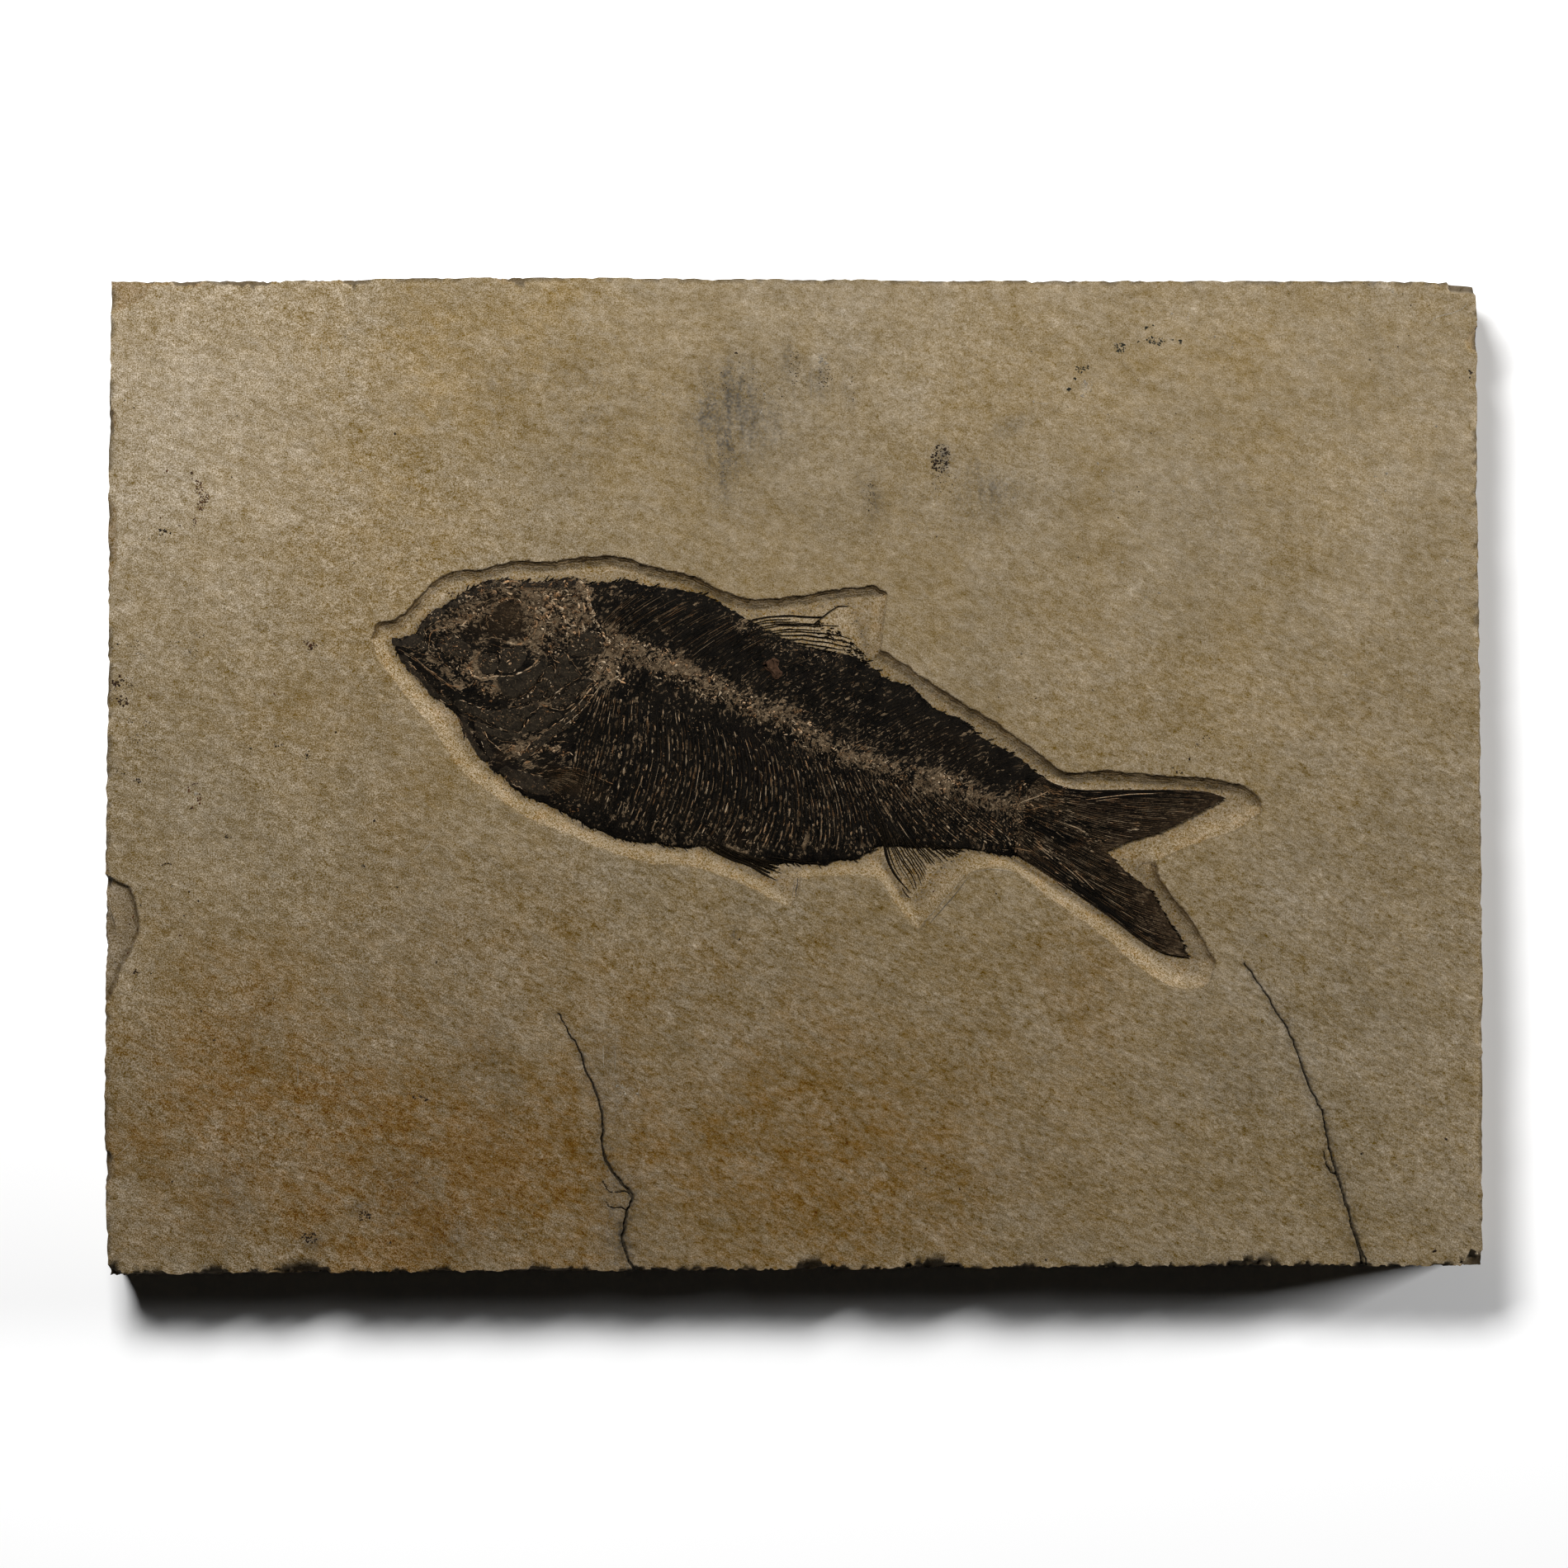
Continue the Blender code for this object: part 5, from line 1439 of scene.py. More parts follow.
rootBands = {    # bits that lie over the root of the tail
    "upperArm": (((1224, 979), (1240, 972), (1262, 963), (1296, 958)), 6, 110, (0.6, 2.1), (0.1, 0.9)),
    "middleArm": (((1228, 984), (1262, 990), (1305, 1000)), 12, 120, (0.5, 1.8), (0.05, 0.7)),
    "lowerArm": (((1230, 992), (1256, 1016), (1296, 1048)), 9, 120, (0.5, 1.9), (0.05, 0.75)),
    "seam": (((1241, 946), (1234, 966), (1232, 990), (1234, 1034)), 8, 170, (0.6, 2.3), (0.0, 0.75)),
}


def buildBackbone():
    mesh = chipMesh("tailRootFlecks", scatterChips(rootBands, 223),
                    lambda where: np.maximum(tailHeight(where), fishHeight(where))
                    + 0.00004, 224, sink=0.0003)
    keepMesh("tailRootFlecks", mesh, fleckFinish(), "fossil_fish")
    mesh = chipMesh("backboneFlecks", scatterChips(fleckBands, 221), fishHeight, 222)
    keepMesh("backboneFlecks", mesh, fleckFinish(), "fossil_fish")


# The head: smooth dark plates with stone in the joints between them

plates = {    # outline in pixels, rise above the film in metres, tint
    "cheekDisk": (
        ((578, 801), (582, 794), (592, 790), (601, 794), (603, 807), (598, 816), (586, 818), (580, 811)),
        0.00024, 0.25,
    ),
    "underEye": (
        ((605, 792), (619, 784), (634, 785), (638, 794), (633, 805), (623, 813), (609, 815), (603, 809)),
        0.00026, 0.2,
    ),
    "preopercle": (
        (
            (602, 822), (623, 823), (642, 813), (657, 798), (663, 805), (653, 823), (638, 838), (621, 846),
            (611, 842), (605, 832),
        ),
        0.0003, 0.1,
    ),
    "opercleFront": (
        (
            (665, 807), (672, 813), (667, 828), (662, 838), (651, 849), (632, 853), (625, 853), (644, 838),
            (657, 823),
        ),
        0.00032, 0.12,
    ),
    "opercleTop": (
        (
            (675, 801), (686, 792), (690, 802), (701, 815), (703, 820), (686, 830), (670, 843), (665, 840),
            (670, 824), (675, 811),
        ),
        0.00036, 0.1,
    ),
    "opercleLow": (
        ((707, 823), (716, 824), (714, 832), (701, 843), (690, 853), (672, 857), (670, 849), (686, 835)),
        0.00034, 0.1,
    ),
    "subopercle": (
        ((653, 859), (667, 863), (678, 867), (667, 876), (651, 884), (634, 886), (642, 870)), 0.0003, 0.16,
    ),
    "gularBand": (
        (
            (552, 849), (567, 851), (582, 859), (605, 861), (624, 859), (647, 853), (651, 859), (640, 868),
            (632, 884), (622, 886), (605, 882), (584, 872), (567, 865), (556, 861),
        ),
        0.00026, 0.12,
    ),
    "gularLow": (
        ((584, 878), (605, 885), (624, 889), (632, 888), (628, 895), (613, 897), (598, 893), (590, 888)),
        0.00022, 0.15,
    ),
    "shoulderBand": (
        (
            (707, 851), (697, 867), (688, 880), (670, 893), (653, 907), (638, 918), (628, 922), (632, 913),
            (651, 895), (670, 880), (686, 867), (699, 853),
        ),
        0.0003, 0.14,
    ),
    "snoutBone": (
        (
            (509, 759), (517, 748), (531, 738), (538, 742), (527, 752), (516, 760), (514, 775), (516, 786),
            (509, 779),
        ),
        0.00034, 0.12,
    ),
    "snoutTip": (
        ((476, 775), (481, 777), (494, 773), (506, 770), (508, 782), (494, 784), (481, 782)), 0.0002, 0.1,
    ),
    "upperJaw": (
        ((536, 773), (548, 769), (560, 777), (571, 790), (567, 798), (552, 796), (540, 790), (531, 782)),
        0.0002, 0.2,
    ),
    "temple": (
        ((690, 779), (703, 767), (722, 767), (733, 780), (728, 792), (709, 796), (695, 794), (686, 790)),
        0.00022, 0.16,
    ),
    "skullRim": (
        ((545, 733), (562, 721), (584, 710), (606, 705), (604, 710), (584, 717), (566, 728), (551, 739)),
        0.00018, 0.14,
    ),
    "skullRimRear": (
        ((632, 705), (660, 706), (690, 702), (700, 707), (688, 711), (660, 713), (634, 711)), 0.00014, 0.16,
    ),
    "lowerJaw": (
        (
            (486, 796), (500, 808), (516, 824), (532, 840), (548, 852), (540, 853), (522, 840), (504, 822),
            (490, 806),
        ),
        0.00026, 0.14,
    ),
    "throat": (
        ((560, 868), (566, 878), (574, 895), (583, 910), (590, 920), (584, 918), (572, 902), (562, 886)),
        0.00022, 0.12,
    ),
    "throatRear": (
        ((580, 876), (586, 890), (592, 904), (596, 916), (590, 914), (582, 898), (577, 884)), 0.00022, 0.14,
    ),
    "isthmus": (
        ((604, 934), (618, 930), (640, 936), (664, 946), (668, 960), (650, 962), (628, 954), (612, 944)),
        0.00016, 0.2,
    ),
}
plateForm = {"spacing": 0.00038, "slope": 0.00016, "lift": 0.38}


def buildPlates():
    bm = bmesh.new()
    tintLayer = bm.verts.layers.float.new("tint")
    for number, (outline, rise, tint) in enumerate(plates.values()):
        ring = closedRun(fromPhoto(outline), 2)
        ring = np.vstack([ring, ring[:1]])
        length = np.hypot(*np.diff(ring, axis=0).T).sum()
        count = max(16, int(length / plateForm["spacing"]))
        ring = readAlong(ring, np.arange(count) / count)
        ring = wobbly(wobbly(ring, 0.0026, 0.00060, 300 + number), 0.0008, 0.00026, 340 + number)
        loop = [bm.verts.new((x, y, 0)) for x, y in ring]
        face = bm.faces.new(loop)
        face.normal_update()
        if face.normal.z < 0:
            face.normal_flip()
        for vertex, z in zip(loop, fishHeight(ring)):
            vertex.co.z = z - 0.00030
            vertex[tintLayer] = tint
        for step in range(4):
            if step:
                inset = plateForm["slope"] * step ** 1.5
                bmesh.ops.inset_region(bm, faces=[face], thickness=inset, use_even_offset=False)
            else:
                drawn = bmesh.ops.extrude_face_region(bm, geom=[face])["geom"]
                bmesh.ops.delete(bm, geom=[face], context="FACES_ONLY")
                face = next(item for item in drawn if isinstance(item, bmesh.types.BMFace))
            spots = np.array([vertex.co[:2] for vertex in face.verts])
            heights = fishHeight(spots) + rise * plateForm["lift"] * (0.55, 1.0, 1.06, 1.10)[step]
            for vertex, z in zip(face.verts, heights):
                vertex.co.z = z
                vertex[tintLayer] = tint
    bmesh.ops.triangulate(bm, faces=[face for face in bm.faces if len(face.verts) > 4])
    bmesh.ops.recalc_face_normals(bm, faces=bm.faces)
    mesh = meshFrom("skullPlates", bm)
    keepMesh("skullPlates", mesh, plateFinish(), "fossil_fish")
    mesh.set_sharp_from_angle(angle=math.radians(55))


def plateFinish():
    # Smooth bone, clouded brown, with fine bits of stone on it
    made = startMaterial("plateBone")
    place = addNode("TexCoord").outputs["Object"]
    clouds = noiseOf(mappedTo(place, -35, (2.2, 1, 1)), 520, 4, 0.65, 0.4)
    specks = noiseOf(place, 1500, 3, 0.65)
    colour = mixOf(rangeOf(clouds, 0.36, 0.62), (0.0032, 0.0027, 0.0021), (0.0132, 0.0101, 0.0066))
    colour = mixOf(rangeOf(valueOf("tint"), 0, 1), colour, (0.03, 0.022, 0.014))
    colour = mixOf(rangeOf(specks, 0.56, 0.72, 0, 0.9), colour, (0.06, 0.042, 0.024))
    relief = clouds * 0.8 + specks * 0.5
    return finished(made, colour, 0.6, 0.02, bumpOf(relief, 0.00022))


headBands = {
    "roofFront": (
        ((545, 745), (570, 728), (600, 716), (640, 716), (690, 714)), 7, 210, (0.7, 3.0), (0.1, 0.85),
    ),
    "eyeRing": (
        ((600, 728), (626, 726), (644, 740), (646, 762), (634, 778)), 5, 110, (0.7, 2.6), (0.2, 0.95),
    ),
    "browFront": (((535, 765), (555, 750), (580, 742), (596, 750)), 10, 170, (0.7, 3.0), (0.1, 0.8)),
    "temporal": (((650, 735), (668, 745), (690, 752), (708, 765)), 22, 330, (0.8, 3.6), (0.1, 0.95)),
    "temporalTop": (((655, 718), (680, 722), (704, 716)), 10, 120, (0.8, 3.2), (0.1, 0.8)),
    "behindEye": (((655, 770), (665, 785), (680, 790)), 12, 120, (0.7, 3.0), (0.1, 0.85)),
    "napeJoint": (
        ((704, 703), (710, 712), (715, 739), (728, 762), (738, 782)), 5, 110, (0.9, 3.2), (0.35, 1.0),
    ),
    "mouth": (((512, 775), (530, 790), (556, 802), (576, 812)), 9, 150, (0.6, 2.4), (0.1, 0.8)),
    "jawJoint": (((560, 812), (585, 832), (600, 845)), 9, 100, (0.7, 3.0), (0.1, 0.8)),
    "underCheek": (((600, 835), (625, 850), (655, 850)), 6, 60, (0.6, 2.2), (0.1, 0.7)),
    "throatPatch": (((615, 912), (645, 908), (672, 905), (690, 918)), 9, 110, (0.9, 3.6), (0.2, 0.8)),
    "breast": (((612, 938), (640, 948), (670, 960), (700, 985)), 8, 110, (0.6, 2.0), (0.05, 0.6)),
    "shoulderEdge": (((720, 800), (722, 830), (708, 856)), 6, 60, (0.7, 2.4), (0.2, 0.9)),
    "eyeFloor": (((604, 745), (620, 752), (636, 748)), 9, 50, (0.5, 1.8), (0.0, 0.5)),
}
plateBands = {    # bits that lie on the plates
    "temple": (((690, 776), (710, 786), (728, 778)), 10, 90, (0.5, 2.0), (0.05, 0.8)),
    "underEye": (((580, 803), (600, 797), (634, 792)), 9, 110, (0.5, 2.2), (0.05, 0.9)),
    "upperJaw": (((534, 774), (552, 784), (569, 794)), 8, 80, (0.5, 2.0), (0.05, 0.8)),
    "opercle": (((636, 850), (662, 828), (690, 808)), 13, 150, (0.4, 1.7), (0.0, 0.8)),
    "lowOpercle": (((650, 875), (680, 848), (708, 830)), 10, 130, (0.4, 1.8), (0.0, 0.85)),
    "gular": (((560, 855), (600, 868), (640, 872)), 8, 110, (0.4, 1.7), (0.0, 0.75)),
    "shoulder": (((706, 858), (684, 880), (640, 912)), 5, 80, (0.5, 2.2), (0.1, 0.85)),
    "roof": (((548, 736), (575, 716), (604, 708), (650, 709), (695, 706)), 4, 90, (0.5, 2.4), (0.1, 0.9)),
    "jaw": (((492, 802), (516, 824), (545, 850)), 4, 50, (0.5, 1.8), (0.1, 0.7)),
    "snout": (((512, 782), (516, 758), (534, 742)), 4, 40, (0.5, 1.8), (0.1, 0.8)),
}
headStrokes = (    # runs of pixels, width in metres, rise, tint: pale joints and streaks of the head, two of them tinted pale as painted highlights
    (((583, 821), (603, 820), (623, 818), (644, 808), (651, 799)), 0.00095, 0.0002, 0.85),
    (((683, 789), (694, 803), (706, 819)), 0.00038, 0.00016, 0.6),
    (((671, 803), (673, 812), (668, 826), (664, 838)), 0.00034, 0.00016, 0.5),
    (((703, 821), (684, 832), (668, 848)), 0.00034, 0.00016, 0.55),
    (((716, 825), (694, 842), (672, 850)), 0.00022, 0.0003, 0.35),
    (((654, 853), (668, 858), (682, 860), (696, 852)), 0.0006, 0.00018, 0.7),
    # painted highlight: these two ridges on the shoulder girdle are tinted pale for a glint
    (((724, 827), (715, 836), (702, 852), (692, 863)), 0.0005, 0.0004, 1.0),
    (((726, 832), (716, 846), (700, 866), (684, 878)), 0.0004, 0.00034, 0.8),
    (((690, 868), (672, 880), (650, 889)), 0.00045, 0.00022, 0.55),
    (((609, 707), (618, 704), (628, 705)), 0.0012, 0.0003, 1.0),
    (((612, 711), (622, 711)), 0.0005, 0.00032, 1.0),
    (((566, 806), (574, 799), (582, 790)), 0.0012, 0.00016, 0.75),
    (((566, 808), (572, 818), (584, 822)), 0.0014, 0.00016, 0.8),
    (((554, 868), (560, 880), (570, 900)), 0.00075, 0.00012, 0.55),
    (((584, 878), (590, 893), (600, 903), (608, 911)), 0.0007, 0.00014, 0.8),
    (((512, 778), (515, 766), (522, 758), (534, 752)), 0.0005, 0.0002, 0.55),
    (((519, 788), (521, 770), (528, 763), (545, 760)), 0.0005, 0.00016, 0.65),
    (((482, 786), (500, 796), (520, 812), (545, 830)), 0.0004, 0.00022, 0.55),
    (((490, 792), (512, 806), (530, 818)), 0.00034, 0.00022, 0.7),
    (((505, 800), (525, 818), (550, 836)), 0.00034, 0.0002, 0.5),
    (((486, 782), (506, 790), (530, 800), (548, 812)), 0.0003, 0.0002, 0.45),
    (((530, 820), (545, 830), (560, 834)), 0.0008, 0.00014, 0.5),
    (((585, 828), (600, 832), (614, 844)), 0.0007, 0.00016, 0.45),
    (((592, 838), (600, 843)), 0.0011, 0.00016, 0.5),
    (((660, 733), (672, 736), (680, 733)), 0.0015, 0.0002, 0.75),
    (((648, 742), (650, 756), (646, 770)), 0.0006, 0.0002, 0.7),
    (((641, 752), (643, 765)), 0.0004, 0.00018, 0.6),
    (((614, 778), (624, 781), (634, 779)), 0.0011, 0.00014, 0.7),
    (((613, 912), (622, 908), (631, 913)), 0.002, 0.00014, 0.5),
    (((640, 903), (650, 896), (655, 893)), 0.0012, 0.00014, 0.5),
    (((664, 910), (672, 906), (678, 903)), 0.0013, 0.00014, 0.55),
    (((634, 925), (644, 922)), 0.0013, 0.00014, 0.5),
    (
        ((704, 703), (711, 716), (714, 728), (717, 742), (724, 756), (732, 770), (738, 784)), 0.0012, 0.0001,
        0.52,
    ),
    (((650, 938), (690, 930), (712, 936), (745, 952)), 0.00045, 0.00022, 0.6),
    (((597, 768), (610, 777), (630, 779), (646, 769)), 0.00036, 0.00014, 0.45),
    (((592, 762), (589, 748), (597, 732), (612, 724)), 0.0004, 0.00014, 0.5),
    (((604, 730), (620, 725), (638, 729), (650, 742)), 0.00034, 0.00014, 0.5),
    (((584, 766), (581, 748), (590, 728)), 0.00034, 0.00014, 0.4),
    (((594, 780), (616, 786), (640, 780)), 0.0003, 0.00014, 0.4),
    (((656, 745), (660, 760), (656, 776)), 0.0005, 0.00016, 0.6),
    (((560, 744), (580, 732), (602, 722)), 0.0005, 0.00014, 0.5),
    (((548, 758), (562, 750), (578, 742)), 0.00045, 0.00014, 0.5),
    (((590, 718), (615, 712), (645, 714), (676, 716)), 0.0004, 0.00014, 0.55),
    (((676, 742), (690, 738), (702, 744)), 0.0006, 0.00016, 0.65),
    (((640, 846), (652, 838), (664, 822)), 0.0003, 0.00026, 0.35),
    (((616, 858), (636, 856), (652, 852)), 0.00036, 0.00026, 0.45),
    (((556, 866), (580, 876), (606, 884), (630, 888)), 0.0003, 0.00024, 0.35),
    (((602, 896), (618, 900), (634, 898)), 0.0004, 0.00016, 0.45),
    (((598, 906), (612, 904), (626, 906)), 0.00036, 0.00016, 0.4),
)


def buildHeadDetail():
    mesh = chipMesh("skullFlecks", scatterChips(headBands, 231), lambda where: fishHeight(where)
                    + 0.00005, 232)
    keepMesh("skullFlecks", mesh, fleckFinish(), "fossil_fish")
    mesh = chipMesh("plateFlecks", scatterChips(plateBands, 234), lambda where: fishHeight(where)
                    + 0.00014, 235)
    keepMesh("plateFlecks", mesh, fleckFinish(), "fossil_fish")
    draw = np.random.default_rng(233)
    strokes = []
    for run, width, rise, tint in headStrokes:
        line = smoothRun(fromPhoto(run))
        count = 1 + int(np.hypot(*np.diff(line, axis=0).T).sum() / 0.0030)
        marks = np.linspace(0, 1, count + 1) + np.r_[0, draw.uniform(-0.25, 0.25, count - 1), 0] / count
        for start, end in zip(marks[:-1], marks[1:]):
            stretch = readAlong(line, np.linspace(start, start + (end - start)
                                                  * draw.uniform(0.8, 1.08), 7).clip(0, 1))
            stretch = stretch + draw.normal(0, 0.00007, 2)
            strokes.append((stretch, width * draw.uniform(0.5, 1.15), rise * 0.6, tint
                            * draw.uniform(0.55, 1.05)))
    for outline, rise, tint in plates.values():
        ring = closedRun(fromPhoto(outline), 4)
        for number in range(int(np.hypot(*np.diff(ring, axis=0).T).sum() / 0.0016)):
            start = draw.uniform(0, 0.94)
            stretch = readAlong(ring, np.linspace(start, start + draw.uniform(0.015, 0.06), 5))
            stretch = stretch + draw.normal(0, 0.00016, 2)
            strokes.append((stretch, draw.uniform(0.00012, 0.00042), rise * 0.5, draw.random() ** 1.5))
    mesh = barMesh("skullJoints", strokes, fishHeight, 8, endWidth=0.3, waver=0.00016)
    keepMesh("skullJoints", mesh, fleckFinish(), "fossil_fish")


# Fins

fins = {
    "tailGuides": (
        ((1262, 941), (1295, 956), (1352, 957), (1420, 957), (1460, 959), (1484, 966)),
        ((1252, 948), (1295, 963), (1360, 966), (1420, 968), (1480, 971)),
        ((1243, 962), (1290, 973), (1350, 982), (1410, 987), (1444, 990)),
        ((1238, 972), (1282, 985), (1335, 1000), (1385, 1007), (1408, 1008)),
        ((1236, 982), (1275, 995), (1318, 1012), (1352, 1021), (1368, 1019)),
        ((1235, 988), (1268, 1003), (1302, 1017), (1324, 1026), (1340, 1032)),
        ((1234, 995), (1266, 1011), (1302, 1030), (1336, 1047), (1368, 1059)),
        ((1233, 1003), (1270, 1026), (1312, 1050), (1356, 1071), (1398, 1082)),
        ((1233, 1012), (1274, 1040), (1325, 1074), (1372, 1102), (1417, 1117)),
        ((1233, 1022), (1280, 1055), (1338, 1096), (1390, 1130), (1433, 1143)),
        ((1233, 1036), (1252, 1048), (1287, 1071), (1341, 1108), (1399, 1150), (1441, 1161)),
    ),
    "tailColumns": 150, "tailRows": 190, "tailHeight": 0.02045, "tailRays": 92, "tailClumps": 1300,
}


def tailHeight(where):
    near = lineField(where, fromPhoto(((1245, 940), (1236, 985), (1236, 1037))))[0]
    lift = fins["tailHeight"] + 0.00045 * np.exp(-near / 0.006)
    return lift + 0.00006 * softNoise(where, 0.0030, 121) + 0.00004 * softNoise(where, 0.0012, 122)


def buildTail():
    columns = fins["tailColumns"]
    rows = fins["tailRows"]
    bm = bmesh.new()
    bmesh.ops.create_grid(bm, x_segments=columns, y_segments=rows, size=0.5)
    spread = np.array([vertex.co[:2] for vertex in bm.verts]) + 0.5
    grid = fanLines(fins["tailGuides"], np.linspace(0, 1, columns + 1), np.linspace(0, 1, rows + 1))
    column = np.rint(spread[:, 0] * columns).astype(int)
    row = np.rint(spread[:, 1] * rows).astype(int)
    where = grid[column, row]
    tips = row == rows
    heading = grid[column, rows] - grid[column, rows - 3]
    heading /= np.linalg.norm(heading, axis=1, keepdims=True)
    ragged = np.random.default_rng(125).uniform(-0.0007, 0.0003, columns + 1)
    where[tips] += heading[tips] * ragged[column[tips]][:, None]
    height = tailHeight(where) + 0.00006 * np.sin(spread[:, 0] * math.pi * fins["tailRays"])
    for vertex, spot, z in zip(bm.verts, where, height):
        vertex.co = (*spot, z)
    grain = bm.loops.layers.uv.new("grain")
    for face in bm.faces:
        for loop in face.loops:
            loop[grain].uv = spread[loop.vert.index] * (0.050, 0.055)
    border = [edge for edge in bm.edges if edge.is_boundary]
    drawn = bmesh.ops.extrude_edge_only(bm, edges=border)["geom"]
    for vertex in (item for item in drawn if isinstance(item, bmesh.types.BMVert)):
        vertex.co.z = film["skirt"]
    bmesh.ops.contextual_create(bm, geom=[item for item in drawn if isinstance(item, bmesh.types.BMEdge)])
    bmesh.ops.recalc_face_normals(bm, faces=bm.faces)
    mesh = meshFrom("tailFilm", bm)
    where = placesOf(mesh)[:, :2]
    speckled = 0.15 + blobs(where, tailMottle, 0.001)
    setValues(mesh, speckled=np.clip(speckled, 0, 1),
              browned=np.clip(0.5 + blobs(where, tailBrown, 0.001), 0, 1))
    keepMesh("tailFilm", mesh, darkFilm(), "fossil_fish")

    draw = np.random.default_rng(241)
    shares = np.linspace(0, 1, 12)
    dark = []
    pale = []
    for across in np.linspace(0.01, 0.99, fins["tailRays"]):
        run = fanLines(fins["tailGuides"], [across], shares)[0]
        run = readAlong(run, np.linspace(0.02, draw.uniform(0.93, 1.0), 12))
        run[0] -= (run[1] - run[0]) / np.linalg.norm(run[1] - run[0]) * draw.uniform(0.0, 0.0040)
        dark.append((run, 0.00050 * draw.uniform(0.5, 1.15), 0.00015, draw.uniform(0, 0.35)))
        for piece in range(draw.integers(3, 9)):
            length = draw.uniform(0.03, 0.20)
            start = draw.uniform(0.0, 0.95 - length)
            run = fanLines(fins["tailGuides"], [across + 0.5 * 0.98 / fins["tailRays"]],
                           np.linspace(start, start + length, 5))[0]
            pale.append((run, draw.uniform(0.00018, 0.00046), 0.00009, 0.08 + 0.72 * draw.random() ** 1.5))
    for clump in range(fins["tailClumps"]):
        length = draw.uniform(0.012, 0.050)
        start = draw.uniform(0.0, 0.85 - length)
        run = fanLines(fins["tailGuides"], [draw.uniform(0.03, 0.97)],
                       np.linspace(start, start + length, 4))[0]
        width = draw.uniform(0.00025, 0.00080)
        tint = draw.uniform(0.15, 0.95)
        if draw.random() < blobs(run[:1], tailStone, 0.001)[0]:
            pale.append((run, width, 0.00013, tint))
    marks = (
        (((1306, 970), (1334, 967), (1362, 963), (1384, 962), (1410, 961)), 0.00055, 0.00022, 1.0),
        (((1322, 973), (1340, 969), (1360, 967)), 0.00040, 0.00020, 0.7),
        (((1278, 994), (1296, 1000), (1311, 1006), (1322, 1015)), 0.00070, 0.00020, 0.75),
        (((1252, 1018), (1262, 1026), (1274, 1036)), 0.00060, 0.00020, 0.8),
        (((1298, 1052), (1312, 1064), (1330, 1082)), 0.00040, 0.00020, 0.85),
        (((1226, 978), (1239, 972), (1260, 964), (1274, 957)), 0.00075, 0.00024, 0.75),
        (((1224, 977), (1232, 984), (1240, 993)), 0.00060, 0.00022, 0.65),
        (((1242, 984), (1262, 978), (1290, 974)), 0.00050, 0.00018, 0.5),
        (((1270, 1000), (1288, 1014), (1300, 1021)), 0.00036, 0.00016, 0.6),
        (((1252, 1022), (1268, 1034), (1282, 1046)), 0.00045, 0.00018, 0.7),
        (((1283, 1044), (1300, 1058), (1322, 1078)), 0.00040, 0.00020, 0.9),
        (((1230, 1028), (1240, 1030), (1252, 1032)), 0.00060, 0.00014, 0.6),
        (((1280, 1068), (1292, 1076)), 0.00045, 0.00018, 0.85),
        (((1290, 985), (1310, 998), (1322, 1004)), 0.00050, 0.00014, 0.55),
    )
    pale += [(smoothRun(fromPhoto(run)), width, rise, tint) for run, width, rise, tint in marks]
    keepMesh("tailRays", barMesh("tailRays", dark, tailHeight, 12), boneFinish(),
             "fossil_fish")
    keepMesh("tailSlivers", barMesh("tailSlivers", pale, tailHeight, 6), sliverFinish(),
             "fossil_fish")


tailMottle = (
    (1290, 1000, 70, 22, -35, 0.34), (1262, 962, 30, 12, 20, 0.25), (1370, 978, 90, 14, 4, 0.22),
    (1255, 1035, 30, 14, -35, 0.3), (1335, 1010, 40, 16, -20, 0.3), (1430, 975, 60, 14, 0, 0.1),
    (1400, 1110, 30, 50, 35, 0.15), (1430, 1150, 20, 16, 0, 0.3), (1300, 1075, 40, 10, -38, 0.2),
    (1340, 985, 60, 10, 0, 0.14), (1290, 1000, 40, 16, -25, 0.25), (1425, 1135, 12, 24, 30, 0.35),
    (1352, 1036, 14, 8, -30, 0.4), (1244, 975, 12, 5, 30, 0.6), (1300, 1020, 30, 10, -30, 0.25),
)
tailStone = (
    (1245, 972, 24, 6, 28, 0.9), (1275, 978, 26, 7, 4, 0.8), (1292, 966, 18, 5, 0, 0.7),
    (1300, 1000, 30, 8, -24, 0.9), (1322, 1013, 24, 10, -30, 0.9), (1345, 1030, 16, 10, -30, 0.8),
    (1268, 1030, 24, 9, -40, 0.8), (1295, 1058, 28, 9, -40, 0.6), (1380, 1006, 34, 8, 8, 0.6),
    (1345, 986, 60, 10, 0, 0.3), (1425, 1130, 30, 12, -50, 0.3),
)
tailBrown = (
    (1365, 1010, 30, 10, -10, 0.8), (1352, 1045, 10, 12, 0, 0.7), (1344, 1029, 8, 8, 0, 0.7),
    (1425, 990, 40, 12, 15, 0.5), (1400, 1100, 14, 50, 35, 0.5), (1425, 1140, 20, 20, 0, 0.5),
    (1470, 968, 16, 8, 0, 0.4), (1320, 1020, 30, 14, -20, 0.4),
)
